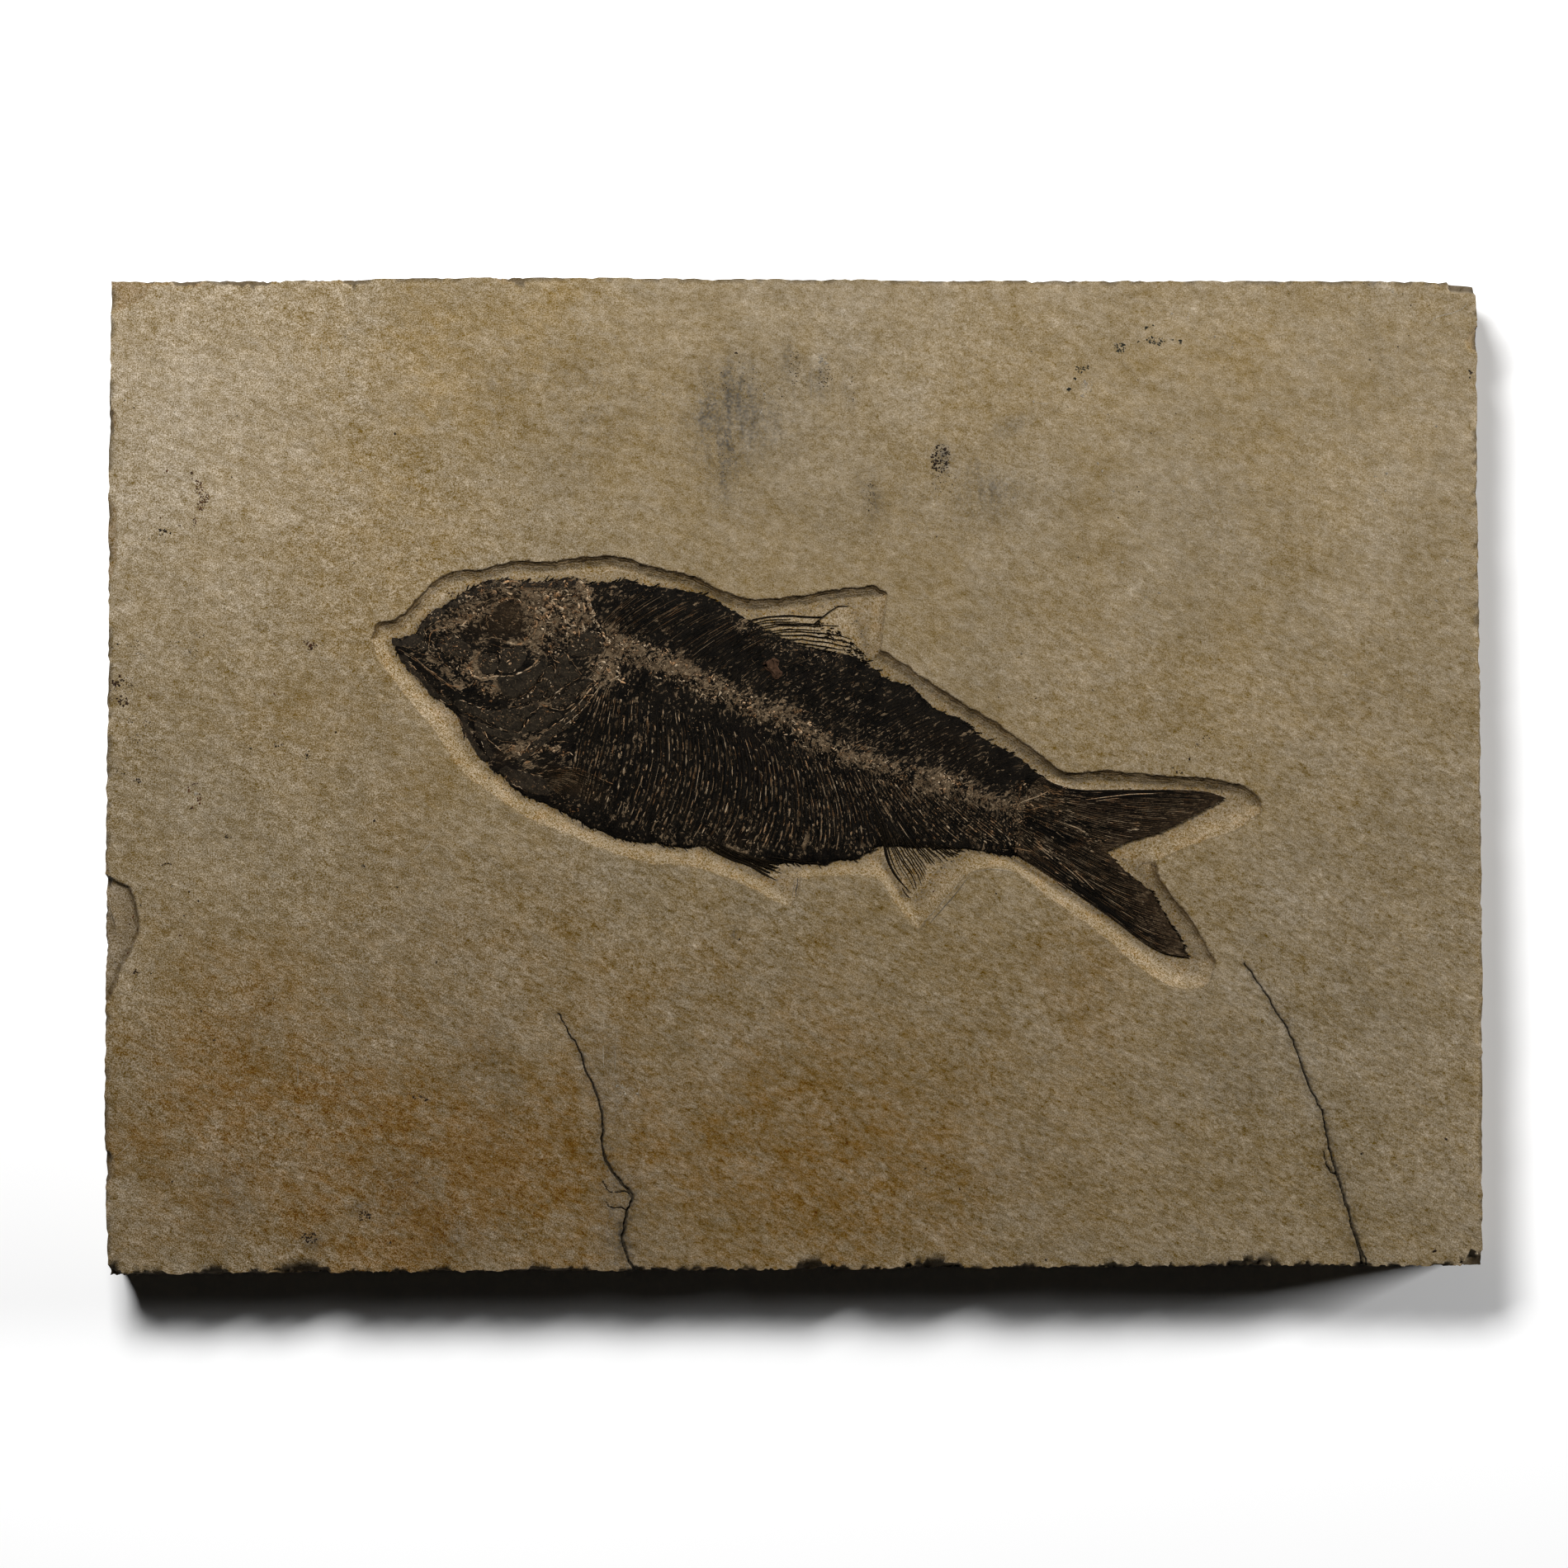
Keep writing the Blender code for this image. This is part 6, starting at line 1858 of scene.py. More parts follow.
finFans = {    # guide lines in pixels, rays, width in metres, and where along the guides the rays end
    "dorsal": (
        (
            ((903, 757), (915, 750), (940, 746), (991, 747)),
            ((906, 760), (930, 754), (978, 753), (1010, 754)),
            ((918, 764), (950, 758), (1005, 760), (1022, 763)),
            ((932, 768), (960, 765), (1010, 769), (1034, 775)),
            ((948, 775), (975, 775), (1020, 782), (1044, 790)),
            ((966, 783), (995, 788), (1035, 797), (1050, 803)),
        ),
        11, 0.0004, (0.55, 1.0),
    ),
    "anal": (
        (
            ((1056, 972), (1066, 1001), (1072, 1026), (1078, 1050), (1092, 1070), (1103, 1086)),
            ((1075, 1000), (1084, 1026), (1096, 1046), (1108, 1064), (1113, 1080)),
            ((1095, 1015), (1104, 1030), (1116, 1046), (1125, 1062)),
            ((1112, 1022), (1124, 1034), (1136, 1048)), ((1130, 1022), (1144, 1032), (1156, 1040)),
            ((1150, 1024), (1162, 1030), (1172, 1033)),
        ),
        24, 0.00058, (0.72, 1.0),
    ),
    "pelvic": (
        (
            ((848, 1020), (868, 1033), (906, 1048), (929, 1061), (942, 1068)),
            ((858, 1019), (882, 1034), (905, 1044), (928, 1055), (944, 1062)),
            ((872, 1023), (895, 1036), (915, 1043), (938, 1052), (948, 1054)),
            ((890, 1030), (910, 1037), (930, 1042), (950, 1046)),
        ),
        15, 0.0005, (0.8, 1.0),
    ),
    "pectoral": (
        (
            ((652, 936), (690, 931), (720, 938), (751, 957)),
            ((654, 941), (686, 940), (708, 948), (728, 960)), ((656, 946), (676, 950), (694, 962)),
            ((657, 950), (670, 958), (690, 975)),
        ),
        20, 0.00026, (0.8, 1.0),
    ),
}
finRays = {    # single rays, as runs of pixels and a width in metres
    "dorsal": (
        (
            (
                (903, 757), (915, 750), (940, 746), (991, 747), (1001, 746), (1009, 738), (1019, 733),
                (1028, 734),
            ),
            0.0006,
        ),
        (((985, 757), (996, 748), (1006, 741)), 0.00034), (((889, 784), (902, 771), (922, 760)), 0.0005),
        (((897, 786), (910, 775), (930, 764)), 0.00045), (((906, 790), (918, 779), (937, 769)), 0.00045),
        (((916, 793), (930, 782), (948, 775)), 0.0004),
    ),
    "anal": (
        (
            (
                (1056, 972), (1066, 1001), (1072, 1026), (1074, 1038), (1082, 1057), (1098, 1076),
                (1104, 1082),
            ),
            0.0007,
        ),
        (((1093, 1075), (1097, 1083), (1102, 1088)), 0.00046),
    ),
    "pelvic": (
        (((848, 1020), (868, 1033), (887, 1042), (906, 1048), (929, 1061), (940, 1066)), 0.0008),
        (((928, 1038), (955, 1042), (985, 1046), (1000, 1048)), 0.0006),
        (((940, 1036), (962, 1041), (990, 1044)), 0.0005),
    ),
    "pectoral": (
        (((652, 936), (664, 930), (685, 932), (705, 940), (735, 950), (751, 957)), 0.0005),
        (((648, 940), (650, 934), (658, 930)), 0.0006),
    ),
}
fray = {    # loose ends and scales along an outline: how many, how long, how wide, and how far they lean out
    "count": 420, "length": (0.0005, 0.0022), "width": (0.00014, 0.00042), "lean": 0.42,
}


def finBase(where):
    # Rays beside the body lie on the trench floor, and climb onto the film where they reach it
    onFilm = eased(-0.0006, 0.0006, depthInside(where, bodyOutline))
    return 0.02005 * (1 - onFilm) + fishHeight(where) * onFilm


def buildFins():
    draw = np.random.default_rng(251)
    for fin, (guides, count, width, ends) in finFans.items():
        rise = 0.00026 if fin != "pectoral" else 0.00018
        strokes = [(smoothRun(fromPhoto(run)), wide, rise, draw.uniform(0, 0.3))
                   for run, wide in finRays[fin]]
        for across in np.linspace(0.01, 0.99, count) + draw.normal(0, 0.15 / count, count):
            end = draw.uniform(*ends)
            run = fanLines(guides, [across], np.linspace(0.0, end, 14))[0]
            run = run + draw.normal(0, 0.00008, 2)
            strokes.append((run, width * draw.uniform(0.6, 1.2), rise * draw.uniform(0.7, 1.1), draw.random()
                            * 0.45))
        if fin == "dorsal":
            # the rear of the fin is broken into short bits
            for number in range(300):
                x, y = draw.uniform(985, 1050), draw.uniform(750, 803)
                if y < 752 + (x - 1000) * 0.75 or y > 776 + (x - 1003) * 0.62:
                    continue
                length = draw.uniform(1.2, 6)
                angle = draw.uniform(-0.3, 1.0)
                run = fromPhoto(((x, y), (x + length * math.cos(angle), y + length * math.sin(angle))))
                strokes.append((run, draw.uniform(0.00018, 0.00048), 0.00020, draw.uniform(0, 0.7)))
        mesh = barMesh(fin + "Fin", strokes, finBase, 12, sink=0.00045, waver=0.00020)
        keepMesh(fin + "Fin", mesh, rayFinish(), "fossil_fish")
    gaps = []
    for across in np.linspace(0.03, 0.97, 30):
        start = draw.uniform(0.12, 0.35)
        run = fanLines(finFans["pectoral"][0], [across],
                       np.linspace(start, start + draw.uniform(0.3, 0.6), 6))[0]
        gaps.append((run, 0.00024, 0.00012, draw.uniform(0.15, 0.55)))
    mesh = barMesh("pectoralSlivers", gaps, fishHeight, 8)
    keepMesh("pectoralSlivers", mesh, sliverFinish(), "fossil_fish")


def frayOf(line, count, seed, outward=1.0):
    # Short strokes that start inside an outline and trail out over it, towards the tail
    draw = np.random.default_rng(seed)
    shares = draw.random(count)
    places = readAlong(line, shares)
    heading = readAlong(line, np.clip(shares + 0.004, 0, 1)) - readAlong(line, np.clip(shares - 0.004, 0, 1))
    heading /= np.linalg.norm(heading, axis=1, keepdims=True)
    out = np.column_stack([-heading[:, 1], heading[:, 0]]) * outward
    strokes = []
    for spot, along, off in zip(places, heading, out):
        lean = fray["lean"] * draw.uniform(-0.2, 2.4)
        length = draw.uniform(*fray["length"])
        start = spot - off * draw.uniform(0.0001, 0.0007)
        end = start + (along + off * lean) * length
        middle = (start + end) / 2 + off * draw.uniform(-0.00008, 0.00012)
        strokes.append((np.array([start, middle, end]), draw.uniform(*fray["width"]), 0.0002,
                        draw.random() ** 2 * 0.6))
    return strokes


def buildFray():
    back = smoothRun(wholeLine("back"))
    belly = smoothRun(wholeLine("belly"))
    strokes = frayOf(back, int(fray["count"] * 0.4), 261) + frayOf(belly, int(fray["count"] * 0.6), 262, -1.0)
    keepMesh("bodyFray", barMesh("bodyFray", strokes, finBase, 5, sink=0.0004, endWidth=0.2), boneFinish(),
             "fossil_fish")
    # the tail's ray ends, worn to different lengths
    draw = np.random.default_rng(263)
    ends = []
    for across in np.r_[np.linspace(0.02, 0.98, 150), draw.uniform(0.3, 0.9, 70)]:
        run = fanLines(fins["tailGuides"], [across], [0.88, 0.95, 1.0])[0]
        step = (run[2] - run[1]) / np.linalg.norm(run[2] - run[1])
        run = run + draw.normal(0, 0.0002, 2)
        tip = run[2] + step * draw.uniform(-0.0008, 0.0011)
        ends.append((np.array([run[1], run[2] * 0.5 + run[1] * 0.5, tip]), draw.uniform(0.00012, 0.00034),
                     0.0001, draw.random() ** 1.5))
    keepMesh("tailFray", barMesh("tailFray", ends, lambda where: tailHeight(where) - 0.00012, 5, sink=0.0004),
             tintedStone("tailEnd", ((0.0040, 0.0028, 0.0018), (0.030, 0.018, 0.009)), 0.7, 0.02),
             "fossil_fish")


# Specks, pale marks and scratches on the stone

specks = {    # place, reach along X and Y in pixels, number, and how red they are (0 to 1)
    "rust": (
        (202, 571, 2.4, 2.4, 3, 0.9), (232, 573, 4, 2.5, 5, 0.5), (233, 580, 2, 1.6, 2, 0.3),
        (239, 583, 3, 3, 5, 0.3), (241, 591, 6, 8, 40, 0.6), (248, 603, 6, 7, 42, 0.5),
        (243, 613, 6, 6, 34, 0.5), (236, 632, 2.6, 6, 12, 0.4), (217, 637, 2.4, 2, 3, 0.4),
        (161, 1102, 1.6, 1.6, 2, 1.0), (161, 1111, 1.8, 1.8, 2, 1.0), (163, 1141, 2.4, 3.2, 6, 1.0),
        (158, 1081, 2, 3, 4, 0.4), (158, 1092, 1.6, 2, 3, 0.4), (166, 1116, 1.6, 2.4, 3, 0.6),
        (167, 1126, 1.6, 3, 4, 0.5), (154, 1155, 1.6, 4, 6, 0.6), (143, 1189, 1.8, 5, 6, 0.4),
        (134, 1204, 2, 2.4, 4, 0.3), (156, 1120, 1.6, 1.6, 2, 0.2), (218, 1134, 2.4, 2.4, 3, 0.7),
        (1132, 1080, 1.8, 1.8, 2, 1.0), (905, 740, 1.8, 1.8, 2, 0.9), (1014, 747, 1.6, 1.6, 2, 0.9),
        (371, 779, 4, 5, 12, 0.3), (380, 781, 4, 5, 12, 0.25), (375, 788, 5, 3, 9, 0.25),
        (376, 783, 4, 4, 8, 0.6), (333, 841, 2.2, 2.2, 4, 0.8), (180, 843, 1.8, 1.8, 3, 1.0),
        (195, 627, 3, 1.8, 4, 0.6), (229, 957, 2.6, 5, 6, 0.6), (235, 949, 5, 2.4, 5, 0.6),
        (242, 968, 3, 6, 7, 0.6), (233, 979, 4, 2.4, 4, 0.5),
    ),
    "dark": (
        (479, 526, 2.8, 2.8, 5, 0), (260, 1260, 3, 3, 6, 0), (244, 1226, 2.6, 2.4, 4, 0),
        (1122, 1416, 2.4, 2.4, 4, 0.2), (1163, 1441, 2, 2, 3, 0.2), (1268, 1526, 2.4, 2.4, 4, 0),
        (1650, 1398, 3, 3, 5, 0), (1692, 1412, 2, 2, 3, 0), (1752, 1380, 3, 3, 6, 0),
        (1739, 1515, 4.5, 4.5, 8, 0.1), (895, 1138, 3, 3.4, 7, 0.1), (209, 1432, 2, 2, 3, 0),
        (377, 786, 3, 2.4, 4, 0.1), (497, 1325, 5, 3, 5, 0.1), (506, 1329, 6, 2.6, 7, 0.1),
        (516, 1333, 5, 2, 4, 0.1), (202, 1047, 7, 1.6, 5, 0.1), (209, 1074, 2, 1.6, 2, 0),
        (229, 1081, 1.8, 1.8, 2, 0), (240, 1091, 1.8, 1.8, 2, 0), (223, 1110, 1.8, 1.8, 2, 0),
        (171, 1097, 1.6, 1.6, 2, 0), (176, 1111, 1.6, 1.6, 2, 0), (166, 1178, 5, 5, 12, 0.1),
        (183, 1180, 1.8, 1.8, 2, 0), (199, 645, 8, 5, 14, 0), (184, 652, 6, 4, 8, 0), (159, 627, 6, 6, 6, 0),
        (197, 660, 6, 8, 6, 0), (235, 764, 6, 6, 6, 0), (168, 786, 8, 8, 8, 0), (226, 789, 6, 6, 6, 0),
        (155, 824, 7, 9, 8, 0), (150, 900, 6, 14, 7, 0), (148, 990, 6, 16, 6, 0), (1141, 552, 12, 15, 58, 0),
        (1136, 574, 8, 22, 36, 0), (1148, 585, 16, 16, 16, 0), (1139, 556, 12, 18, 80, 0),
        (1782, 453, 3, 5, 6, 0), (1469, 884, 1.6, 1.6, 1, 0), (1462, 893, 5, 4, 6, 0),
        (454, 994, 3.0, 3.0, 6, 0), (440, 1049, 3.8, 3.8, 9, 0), (481, 1075, 2.2, 2.2, 4, 0),
        (529, 1166, 2.6, 2.6, 5, 0), (143, 826, 8, 8, 24, 0.1), (158, 834, 10, 10, 30, 0.1),
        (148, 850, 8, 7, 20, 0.1), (137, 842, 5, 12, 16, 0.1), (140, 784, 8, 6, 14, 0),
        (160, 780, 10, 5, 14, 0), (171, 795, 6, 4, 8, 0), (210, 780, 9, 5, 12, 0), (236, 792, 7, 8, 16, 0),
        (240, 768, 8, 5, 10, 0), (160, 872, 9, 5, 12, 0), (180, 876, 8, 6, 14, 0), (165, 896, 12, 8, 20, 0),
        (186, 910, 6, 5, 8, 0), (146, 936, 9, 4, 12, 0), (166, 947, 5, 4, 14, 0), (140, 952, 5, 4, 6, 0),
        (304, 907, 4, 2, 4, 0), (338, 902, 6, 3, 7, 0), (373, 915, 3, 6, 8, 0), (407, 887, 2.5, 2.5, 4, 0),
        (275, 735, 6, 6, 6, 0), (320, 763, 8, 3, 8, 0), (277, 1014, 7, 2, 5, 0), (963, 445, 7, 24, 46, 0),
        (1000, 456, 10, 15, 44, 0), (1033, 468, 3, 24, 14, 0), (890, 470, 40, 34, 60, 0),
        (882, 555, 14, 30, 30, 0), (1053, 600, 8, 22, 30, 0), (935, 480, 14, 30, 24, 0),
        (892, 428, 3, 2, 5, 0), (1452, 905, 5, 4, 6, 0), (1441, 919, 3, 3, 5, 0), (1430, 936, 5, 3, 7, 0),
        (1421, 930, 2, 2, 2, 0), (473, 1506, 1.8, 3.4, 3, 0), (375, 1500, 11, 8, 40, 0),
        (441, 1473, 9, 7, 26, 0), (545, 718, 5, 4, 7, 0.1), (185, 1265, 8, 5, 10, 0.6),
        (1207, 1083, 2, 2, 2, 0), (1399, 1050, 3, 2, 3, 0), (1655, 343, 6, 4, 8, 0.1),
    ),
    "green": (
        (1357, 421, 7, 7, 34, 0.1), (1361, 418, 4, 4, 10, 0), (1400, 413, 12, 5, 34, 0.1),
        (1396, 409, 4, 3, 8, 0), (1405, 417, 4, 3, 8, 0), (1379, 414, 3, 2, 4, 0),
        (1430, 414, 4.4, 4.4, 14, 0), (1420, 412, 3, 2, 4, 0), (1389, 397, 4, 4, 9, 0),
        (1397, 395, 2, 2, 2, 0), (1309, 448, 8, 4.4, 22, 0), (1303, 459, 3, 3.4, 6, 0),
        (1295, 472, 4.4, 4.4, 11, 0), (1317, 446, 5, 3, 8, 0),
    ),
    "single": (
        (265, 524), (316, 531), (212, 499), (287, 504), (396, 509), (212, 546), (281, 578), (372, 581),
        (381, 546), (448, 616), (339, 647), (429, 682), (312, 690), (418, 408), (151, 485), (162, 494),
        (1379, 460), (1343, 502), (1294, 493), (1425, 501), (1395, 525), (1445, 532), (1355, 627),
        (1298, 677), (1307, 675), (1135, 650), (1378, 590), (1380, 596), (1228, 603), (1183, 430),
        (1250, 426), (1700, 356), (1710, 370), (1732, 370), (1694, 420), (1722, 424), (1707, 407),
        (442, 1281), (522, 1381), (525, 1427), (506, 1433), (556, 1366), (599, 1493), (616, 1483),
        (638, 1495), (717, 1498), (483, 1471), (552, 1180), (139, 1166), (1210, 845), (1255, 846),
        (1176, 832), (1324, 836), (1400, 1088), (1396, 1048), (1237, 1090),
    ),
    "pale": (
        (1336, 571, 2.6, 2.6, 4, 0), (1349, 595, 2, 2, 3, 0), (1360, 682, 2, 2, 3, 0),
        (1388, 727, 6, 5, 9, 0), (1405, 719, 2.4, 2.4, 3, 0), (995, 435, 2.6, 4, 5, 0),
        (1605, 350, 2.4, 2.4, 3, 0), (437, 570, 3, 2.6, 5, 0), (404, 571, 4, 2, 5, 0),
        (454, 527, 5, 4, 6, 0), (373, 779, 3.4, 3.4, 4, 0), (1123, 1426, 10, 9, 12, 0),
        (1314, 464, 4, 5, 8, 0), (1676, 343, 10, 3.4, 10, 0), (1685, 351, 4, 6, 8, 0),
        (1741, 517, 2, 2, 2, 0), (1667, 577, 4, 4, 5, 0), (1680, 573, 2.4, 2.4, 3, 0),
        (1679, 594, 2.4, 2.4, 3, 0), (1668, 607, 4, 3, 4, 0), (1754, 679, 2.4, 2.4, 3, 0),
        (1770, 702, 3, 3, 4, 0), (1740, 728, 4, 2.4, 4, 0), (1631, 817, 2.4, 2, 2, 0),
        (1662, 827, 4, 3, 4, 0), (1720, 818, 8, 7, 9, 0), (756, 1318, 3, 5, 6, 0), (748, 1316, 3, 3, 4, 0),
        (757, 1326, 3, 3, 4, 0), (772, 1326, 3, 2.4, 3, 0), (765, 1496, 3, 4, 4, 0), (330, 1060, 6, 6, 6, 0),
        (196, 1108, 4, 3, 4, 0), (237, 962, 4.4, 4.4, 7, 0), (1319, 468, 6, 9, 18, 0),
        (1312, 479, 4, 3, 5, 0), (1437, 383, 6, 5, 10, 0), (1352, 416, 3, 2, 4, 0), (1420, 380, 3, 3, 4, 0),
        (1493, 420, 4, 8, 8, 0), (1330, 561, 3, 2, 3, 0), (1471, 408, 3, 2, 3, 0), (998, 436, 8, 6, 18, 0),
        (917, 454, 3, 6, 6, 0), (928, 466, 3, 6, 6, 0), (926, 479, 3, 4, 5, 0), (922, 500, 3, 3, 4, 0),
        (898, 472, 2, 2, 2, 0), (1253, 487, 4, 2, 3, 0), (801, 520, 3, 2, 3, 0), (784, 483, 5, 4, 5, 0),
        (804, 478, 2, 4, 3, 0), (694, 380, 5, 9, 8, 0), (712, 392, 7, 6, 8, 0), (702, 410, 6, 7, 8, 0),
    ),
}
scratches = (    # runs of pixels, width in metres, tint: 0 is dark, 1 is pale
    (((390, 413), (389, 426), (391, 438)), 0.00036, 0.8),
    (((396, 414), (399, 425), (398, 434)), 0.0003, 0.8), (((300, 413), (306, 415), (312, 416)), 0.0005, 1.0),
    (((360, 1280), (361, 1300), (360, 1318)), 0.0003, 0.7),
    (((474, 1432), (483, 1429), (490, 1425)), 0.0003, 0.8),
    (((731, 1266), (731, 1282), (732, 1294)), 0.0005, 0.8),
    (((745, 1267), (746, 1284), (745, 1300)), 0.00026, 0.6),
    (((775, 1313), (774, 1323), (775, 1333)), 0.0003, 0.7),
    (((1255, 488), (1266, 489), (1276, 488)), 0.0003, 0.8),
    (((1443, 1227), (1452, 1224), (1459, 1219)), 0.0003, 0.7),
    (((140, 1402), (150, 1393), (160, 1383)), 0.0003, 0.8), (((1072, 1326), (1078, 1323)), 0.0004, 0.8),
    (((505, 1040), (513, 1032), (521, 1022), (526, 1016)), 0.00034, 0.8),
    (
        ((1730, 392), (1742, 384), (1752, 381), (1762, 379), (1772, 374), (1778, 368), (1779, 365)), 0.0005,
        0.9,
    ),
    (((506, 1325), (514, 1330), (522, 1334)), 0.0004, 0.0),
    (((196, 1049), (202, 1047), (208, 1046)), 0.00034, 0.05), (((1608, 1112), (1616, 1118)), 0.0003, 0.1),
    (((967, 1062), (966, 1074), (964, 1088)), 0.00075, 0.16),
    (((963, 1064), (962, 1076), (960, 1090)), 0.0004, 0.45),
    (((1121, 1124), (1128, 1117), (1147, 1096), (1162, 1078), (1174, 1062)), 0.0006, 0.22),
    (((1117, 1121), (1124, 1113), (1143, 1093), (1158, 1075), (1170, 1059), (1174, 1052)), 0.0005, 0.62),
    (((1174, 1057), (1188, 1055), (1201, 1053), (1216, 1055), (1232, 1059)), 0.00036, 0.6),
    (((128, 1042), (131, 1051), (133, 1060)), 0.00034, 0.08),
    (((132, 1098), (135, 1109), (138, 1121), (140, 1133)), 0.0004, 0.08),
    (((983, 449), (983, 472), (982, 494)), 0.00026, 0.6),
    (((689, 505), (688, 513), (687, 521)), 0.0003, 0.7),
    (((1027, 415), (1030, 419), (1033, 422)), 0.0004, 0.9), (((1042, 401), (1041, 410)), 0.0003, 0.8),
)


def stoneTop(where):
    # Height of the finished stone under each place
    heights = np.full(len(where), 0.0210)
    for number, (x, y) in enumerate(where):
        struck = stoneTree.ray_cast((x, y, 0.03), (0, 0, -1))[0]
        if struck is not None:
            heights[number] = min(struck.z, 0.02214)
    return heights


def buildSpecks():
    draw = np.random.default_rng(271)
    pixel = photo["scale"]

    def cluster(spots, rise):
        chips = []
        for x, y, reachX, reachY, count, tint in spots:
            for number in range(count):
                swing = draw.uniform(0, 2 * math.pi)
                tight = max(reachX, reachY) < 4.6
                far = (0.5 if tight else 0.95) * math.sqrt(draw.random()) if count > 1 else 0
                room = math.sqrt(reachX * reachY / count)
                size = room * draw.uniform(0.75, 1.6) if room < 1.7 else draw.uniform(0.55, 1.3)
                size = pixel * (min(size, 2.6) if count > 1 else reachX)
                px, py = x + reachX * far * math.cos(swing), y + reachY * far * math.sin(swing)
                spot = fromPhoto((px, py))
                chips.append((*spot, max(size, 0.00018), max(size, 0.00018)
                              * draw.uniform(0.5, 0.95), draw.uniform(0, 3.1), rise,
                              np.clip(tint * draw.uniform(0.4, 1.5) + draw.uniform(0, 0.12), 0, 1)))
        return chips

    chips = cluster(specks["rust"], 0.00005) + cluster(specks["dark"], 0.00004)
    chips += cluster([(x, y, 1.5, 1.5, 1, 0.1) for x, y in specks["single"]], 0.00004)
    mesh = chipMesh("stoneSpecks", chips, stoneTop, 272, 6, 0.0002, draped=True)
    keepMesh("stoneSpecks", mesh, tintedStone("speck", ((0.0085, 0.007, 0.0048), (0.06, 0.022, 0.008)), 0.8,
                                              0.05), "limestone_slab")
    mesh = chipMesh("greenSpecks", cluster(specks["green"], 0.00005), stoneTop, 274, 6, 0.0002, draped=True)
    keepMesh("greenSpecks", mesh, tintedStone("greenSpeck", ((0.0105, 0.011, 0.0078), (0.055, 0.056, 0.038)),
                                              0.8, 0.05), "limestone_slab")
    mesh = chipMesh("paleMarks", cluster(specks["pale"], 0.00004), stoneTop, 273, 6, 0.0002, draped=True)
    keepMesh("paleMarks", mesh, tintedStone("paleMark", ((0.17, 0.145, 0.11), (0.28, 0.245, 0.19))),
             "limestone_slab")
    strokes = [(smoothRun(fromPhoto(run)), width, 0.00003, tint) for run, width, tint in scratches]
    mesh = barMesh("scratches", strokes, stoneTop, 10, 0.0002, 0.2, 0.00012)
    keepMesh("scratches", mesh, tintedStone("scratch", ((0.02, 0.015, 0.01), (0.25, 0.215, 0.165))),
             "limestone_slab")


def buildCrumbs():
    # Dark crumbs of the film, left on the trench floor close to the fish
    draw = np.random.default_rng(281)
    lines = [(bodyOutline, 420), (fromPhoto(finReaches["tail"]), 90), (fromPhoto(finReaches["anal"]), 60),
             (fromPhoto(finReaches["dorsal"]), 60), (fromPhoto(finReaches["pelvic"]), 40)]
    chips = []
    for line, count in lines:
        places = readAlong(line, draw.random(count)) + draw.normal(0, 0.0011, (count, 2))
        outside = depthInside(places, bodyOutline) < -0.0001
        for x, y in places[outside]:
            size = 0.00008 + 0.00026 * draw.random() ** 3
            chips.append((x, y, size * draw.uniform(1, 2), size, draw.uniform(0, 3.1), 0.00006,
                          draw.random() ** 1.5))
    mesh = chipMesh("trenchCrumbs", chips, stoneTop, 282, 6, draped=True)
    keepMesh("trenchCrumbs", mesh, tintedStone("crumb", ((0.0080, 0.0055, 0.0030), (0.060, 0.040, 0.020))),
             "fossil_fish")


def buildScale():
    # The one matte brown scale left on the flank
    outline = ((925, 805), (931, 800), (938, 797), (944, 801), (943, 808), (948, 815), (944, 822), (938, 822),
               (934, 815), (927, 811))
    ring = wobbly(closedRun(fromPhoto(outline), 6), 0.0006, 0.00022, 291)
    bm = bmesh.new()
    face = bm.faces.new([bm.verts.new((x, y, z - 0.0003)) for (x, y), z in zip(ring, fishHeight(ring))])
    face.normal_update()
    if face.normal.z < 0:
        face.normal_flip()
    drawn = bmesh.ops.extrude_face_region(bm, geom=[face])["geom"]
    bmesh.ops.delete(bm, geom=[face], context="FACES_ONLY")
    face = next(item for item in drawn if isinstance(item, bmesh.types.BMFace))
    for vertex in face.verts:
        vertex.co.z += 0.00045
    for step in range(3):
        bmesh.ops.inset_region(bm, faces=[face], thickness=0.0004, use_even_offset=False)
        for vertex in face.verts:
            vertex.co.z += 0.00003
    bmesh.ops.triangulate(bm, faces=[face for face in bm.faces if len(face.verts) > 4])
    bmesh.ops.recalc_face_normals(bm, faces=bm.faces)
    mesh = meshFrom("brownScale", bm)
    setValues(mesh, tint=np.full(len(mesh.vertices), 0.5))
    keepMesh("brownScale", mesh, tintedStone("scaleFinish", ((0.024, 0.013, 0.0072), (0.042, 0.022, 0.0125)),
                                             0.8, 0.04, 900.0, 0.00016), "fossil_fish")


# Floor, lights and camera

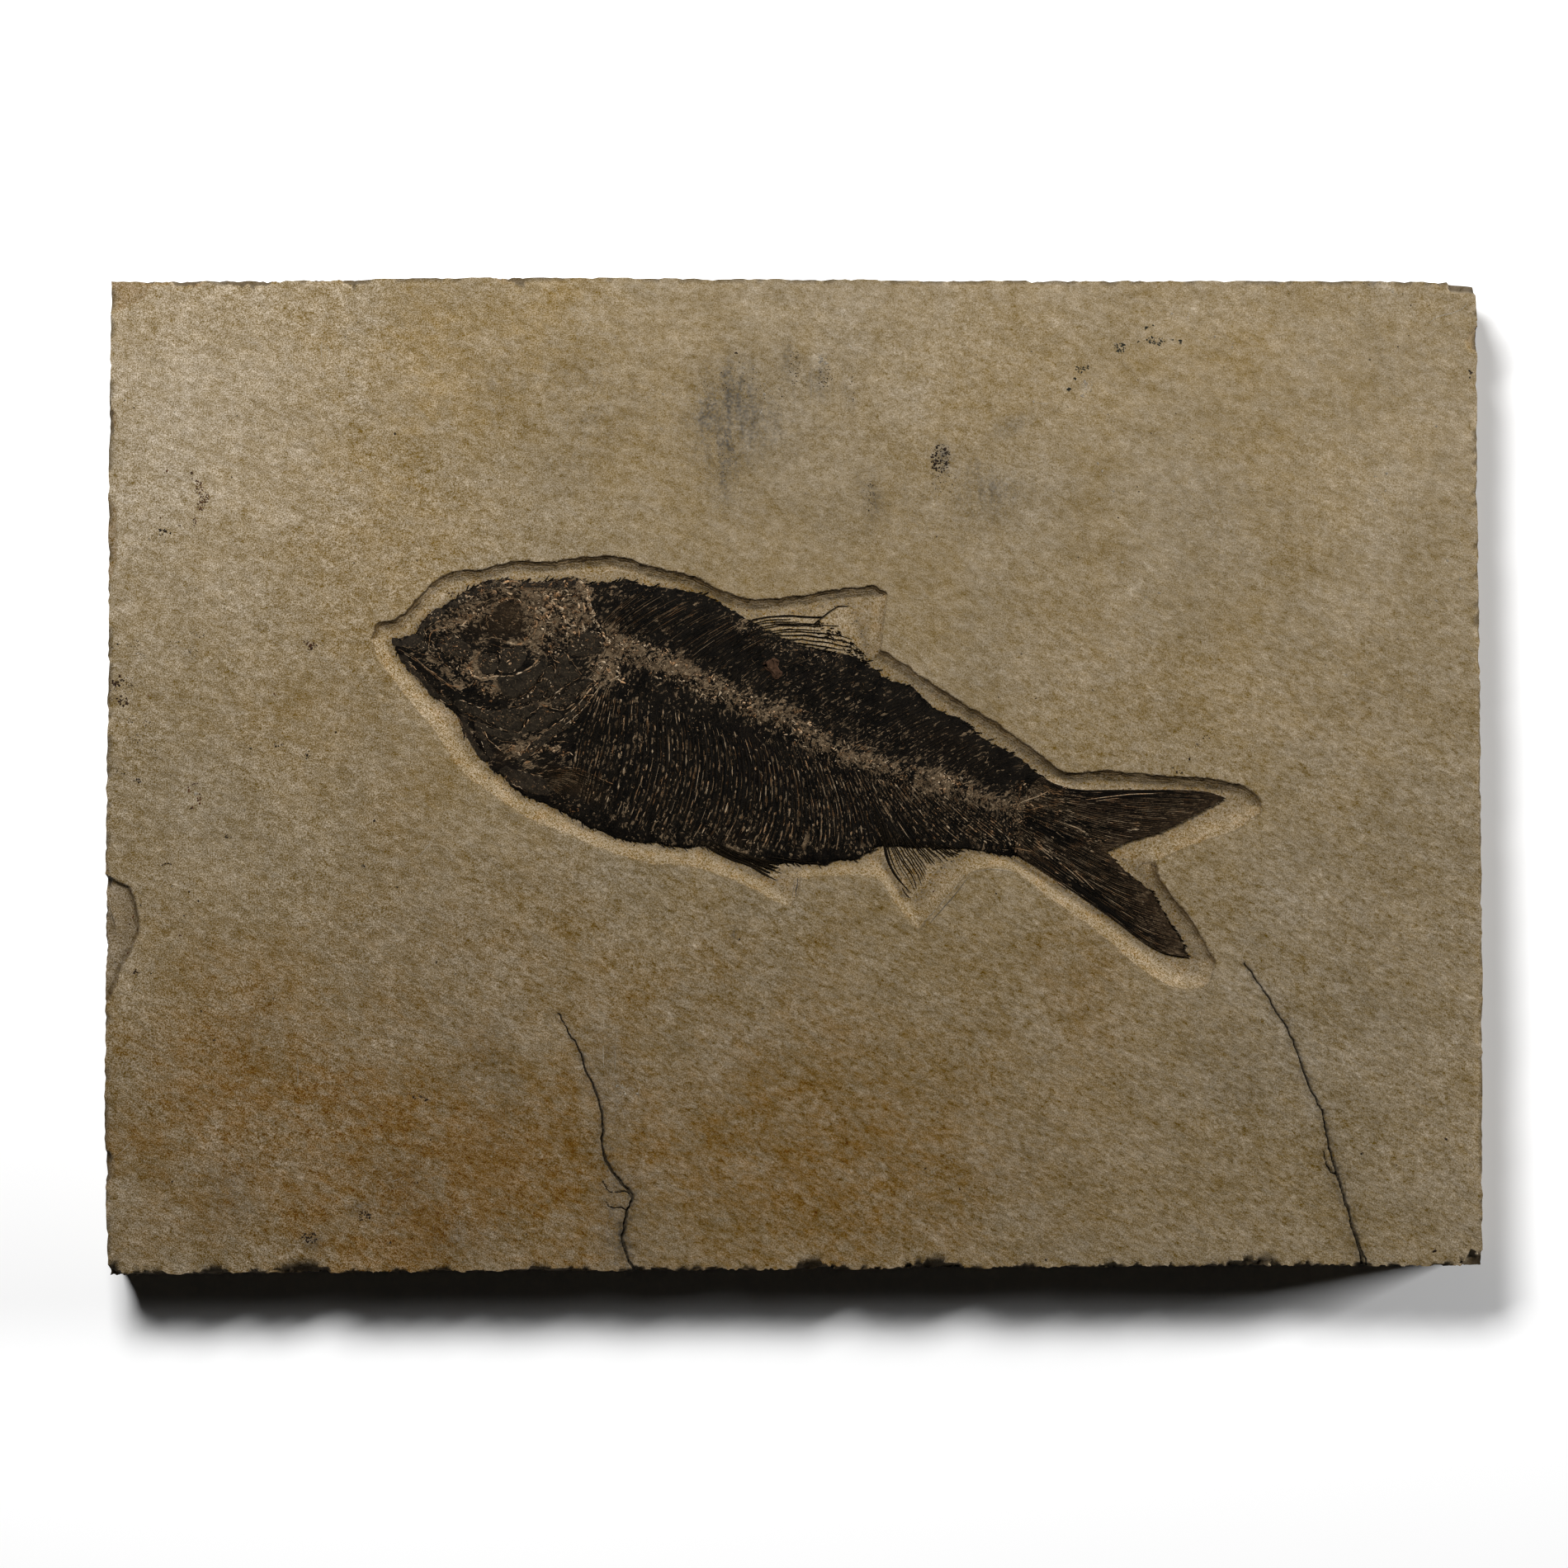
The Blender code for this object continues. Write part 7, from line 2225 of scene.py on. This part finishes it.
studio = {
    "floorTone": 0.91, "floorRoughness": 0.9,
    "ambient": 0.0045,
    "lamps": {             # place, size, power and colour
        "window": ((-0.343, 0.670, 0.782), (0.546, 0.269), 20.6, (1.0, 1.0, 1.0)),
        "sideWindow": ((1.877, 0.371, 0.415), (0.494, 0.468), 59.0, (1.0, 1.0, 1.0)),
    },
    "lens": 100.0,
}


def buildStudio():
    bm = bmesh.new()
    bmesh.ops.create_grid(bm, x_segments=1, y_segments=1, size=4.0)
    floor = bpy.data.objects.new("paleFloor", meshFrom("paleFloor", bm))
    bpy.context.scene.collection.objects.link(floor)
    grey = (*(studio["floorTone"],) * 3, 1)
    material = finished(startMaterial("paleFloor"), grey, studio["floorRoughness"], 0.0)
    floor.data.materials.append(material)
    floor.location.z = -0.0002

    for name, (spot, size, power, colour) in studio["lamps"].items():
        lamp = bpy.data.lights.new(name, "AREA")
        lamp.shape = "RECTANGLE"
        lamp.size, lamp.size_y = size
        lamp.energy = power
        lamp.color = colour
        light = bpy.data.objects.new(name, lamp)
        light.location = spot
        bpy.context.scene.collection.objects.link(light)
        aim = light.location.copy()
        light.rotation_euler = aim.to_track_quat("Z", "Y").to_euler()

    world = bpy.data.worlds.new("studio")
    world.use_nodes = True
    world.node_tree.nodes['Background'].inputs['Color'].default_value = (1, 1, 1, 1)
    world.node_tree.nodes["Background"].inputs["Strength"].default_value = studio["ambient"]
    bpy.context.scene.world = world
    bpy.context.scene.view_settings.view_transform = "Standard"

    # The frame is 1900 pixels square and looks straight down on the slab's top face
    view = 1900 * photo["scale"]
    lens = bpy.data.cameras.new("camera")
    lens.lens = studio["lens"]
    lens.sensor_width = 36.0
    middle = fromPhoto((950, 950))
    camera = bpy.data.objects.new("camera", lens)
    camera.location = (*middle, slabForm["top"] + view * lens.lens / lens.sensor_width)
    bpy.context.scene.collection.objects.link(camera)
    bpy.context.scene.camera = camera


buildStudio()
print("studio done")
stoneTree = buildSlab()
buildFilm()
buildRibs()
buildSlivers()
buildBackbone()
buildPlates()
buildHeadDetail()
buildTail()
buildFins()
buildFray()
buildScale()
buildSpecks()
buildCrumbs()
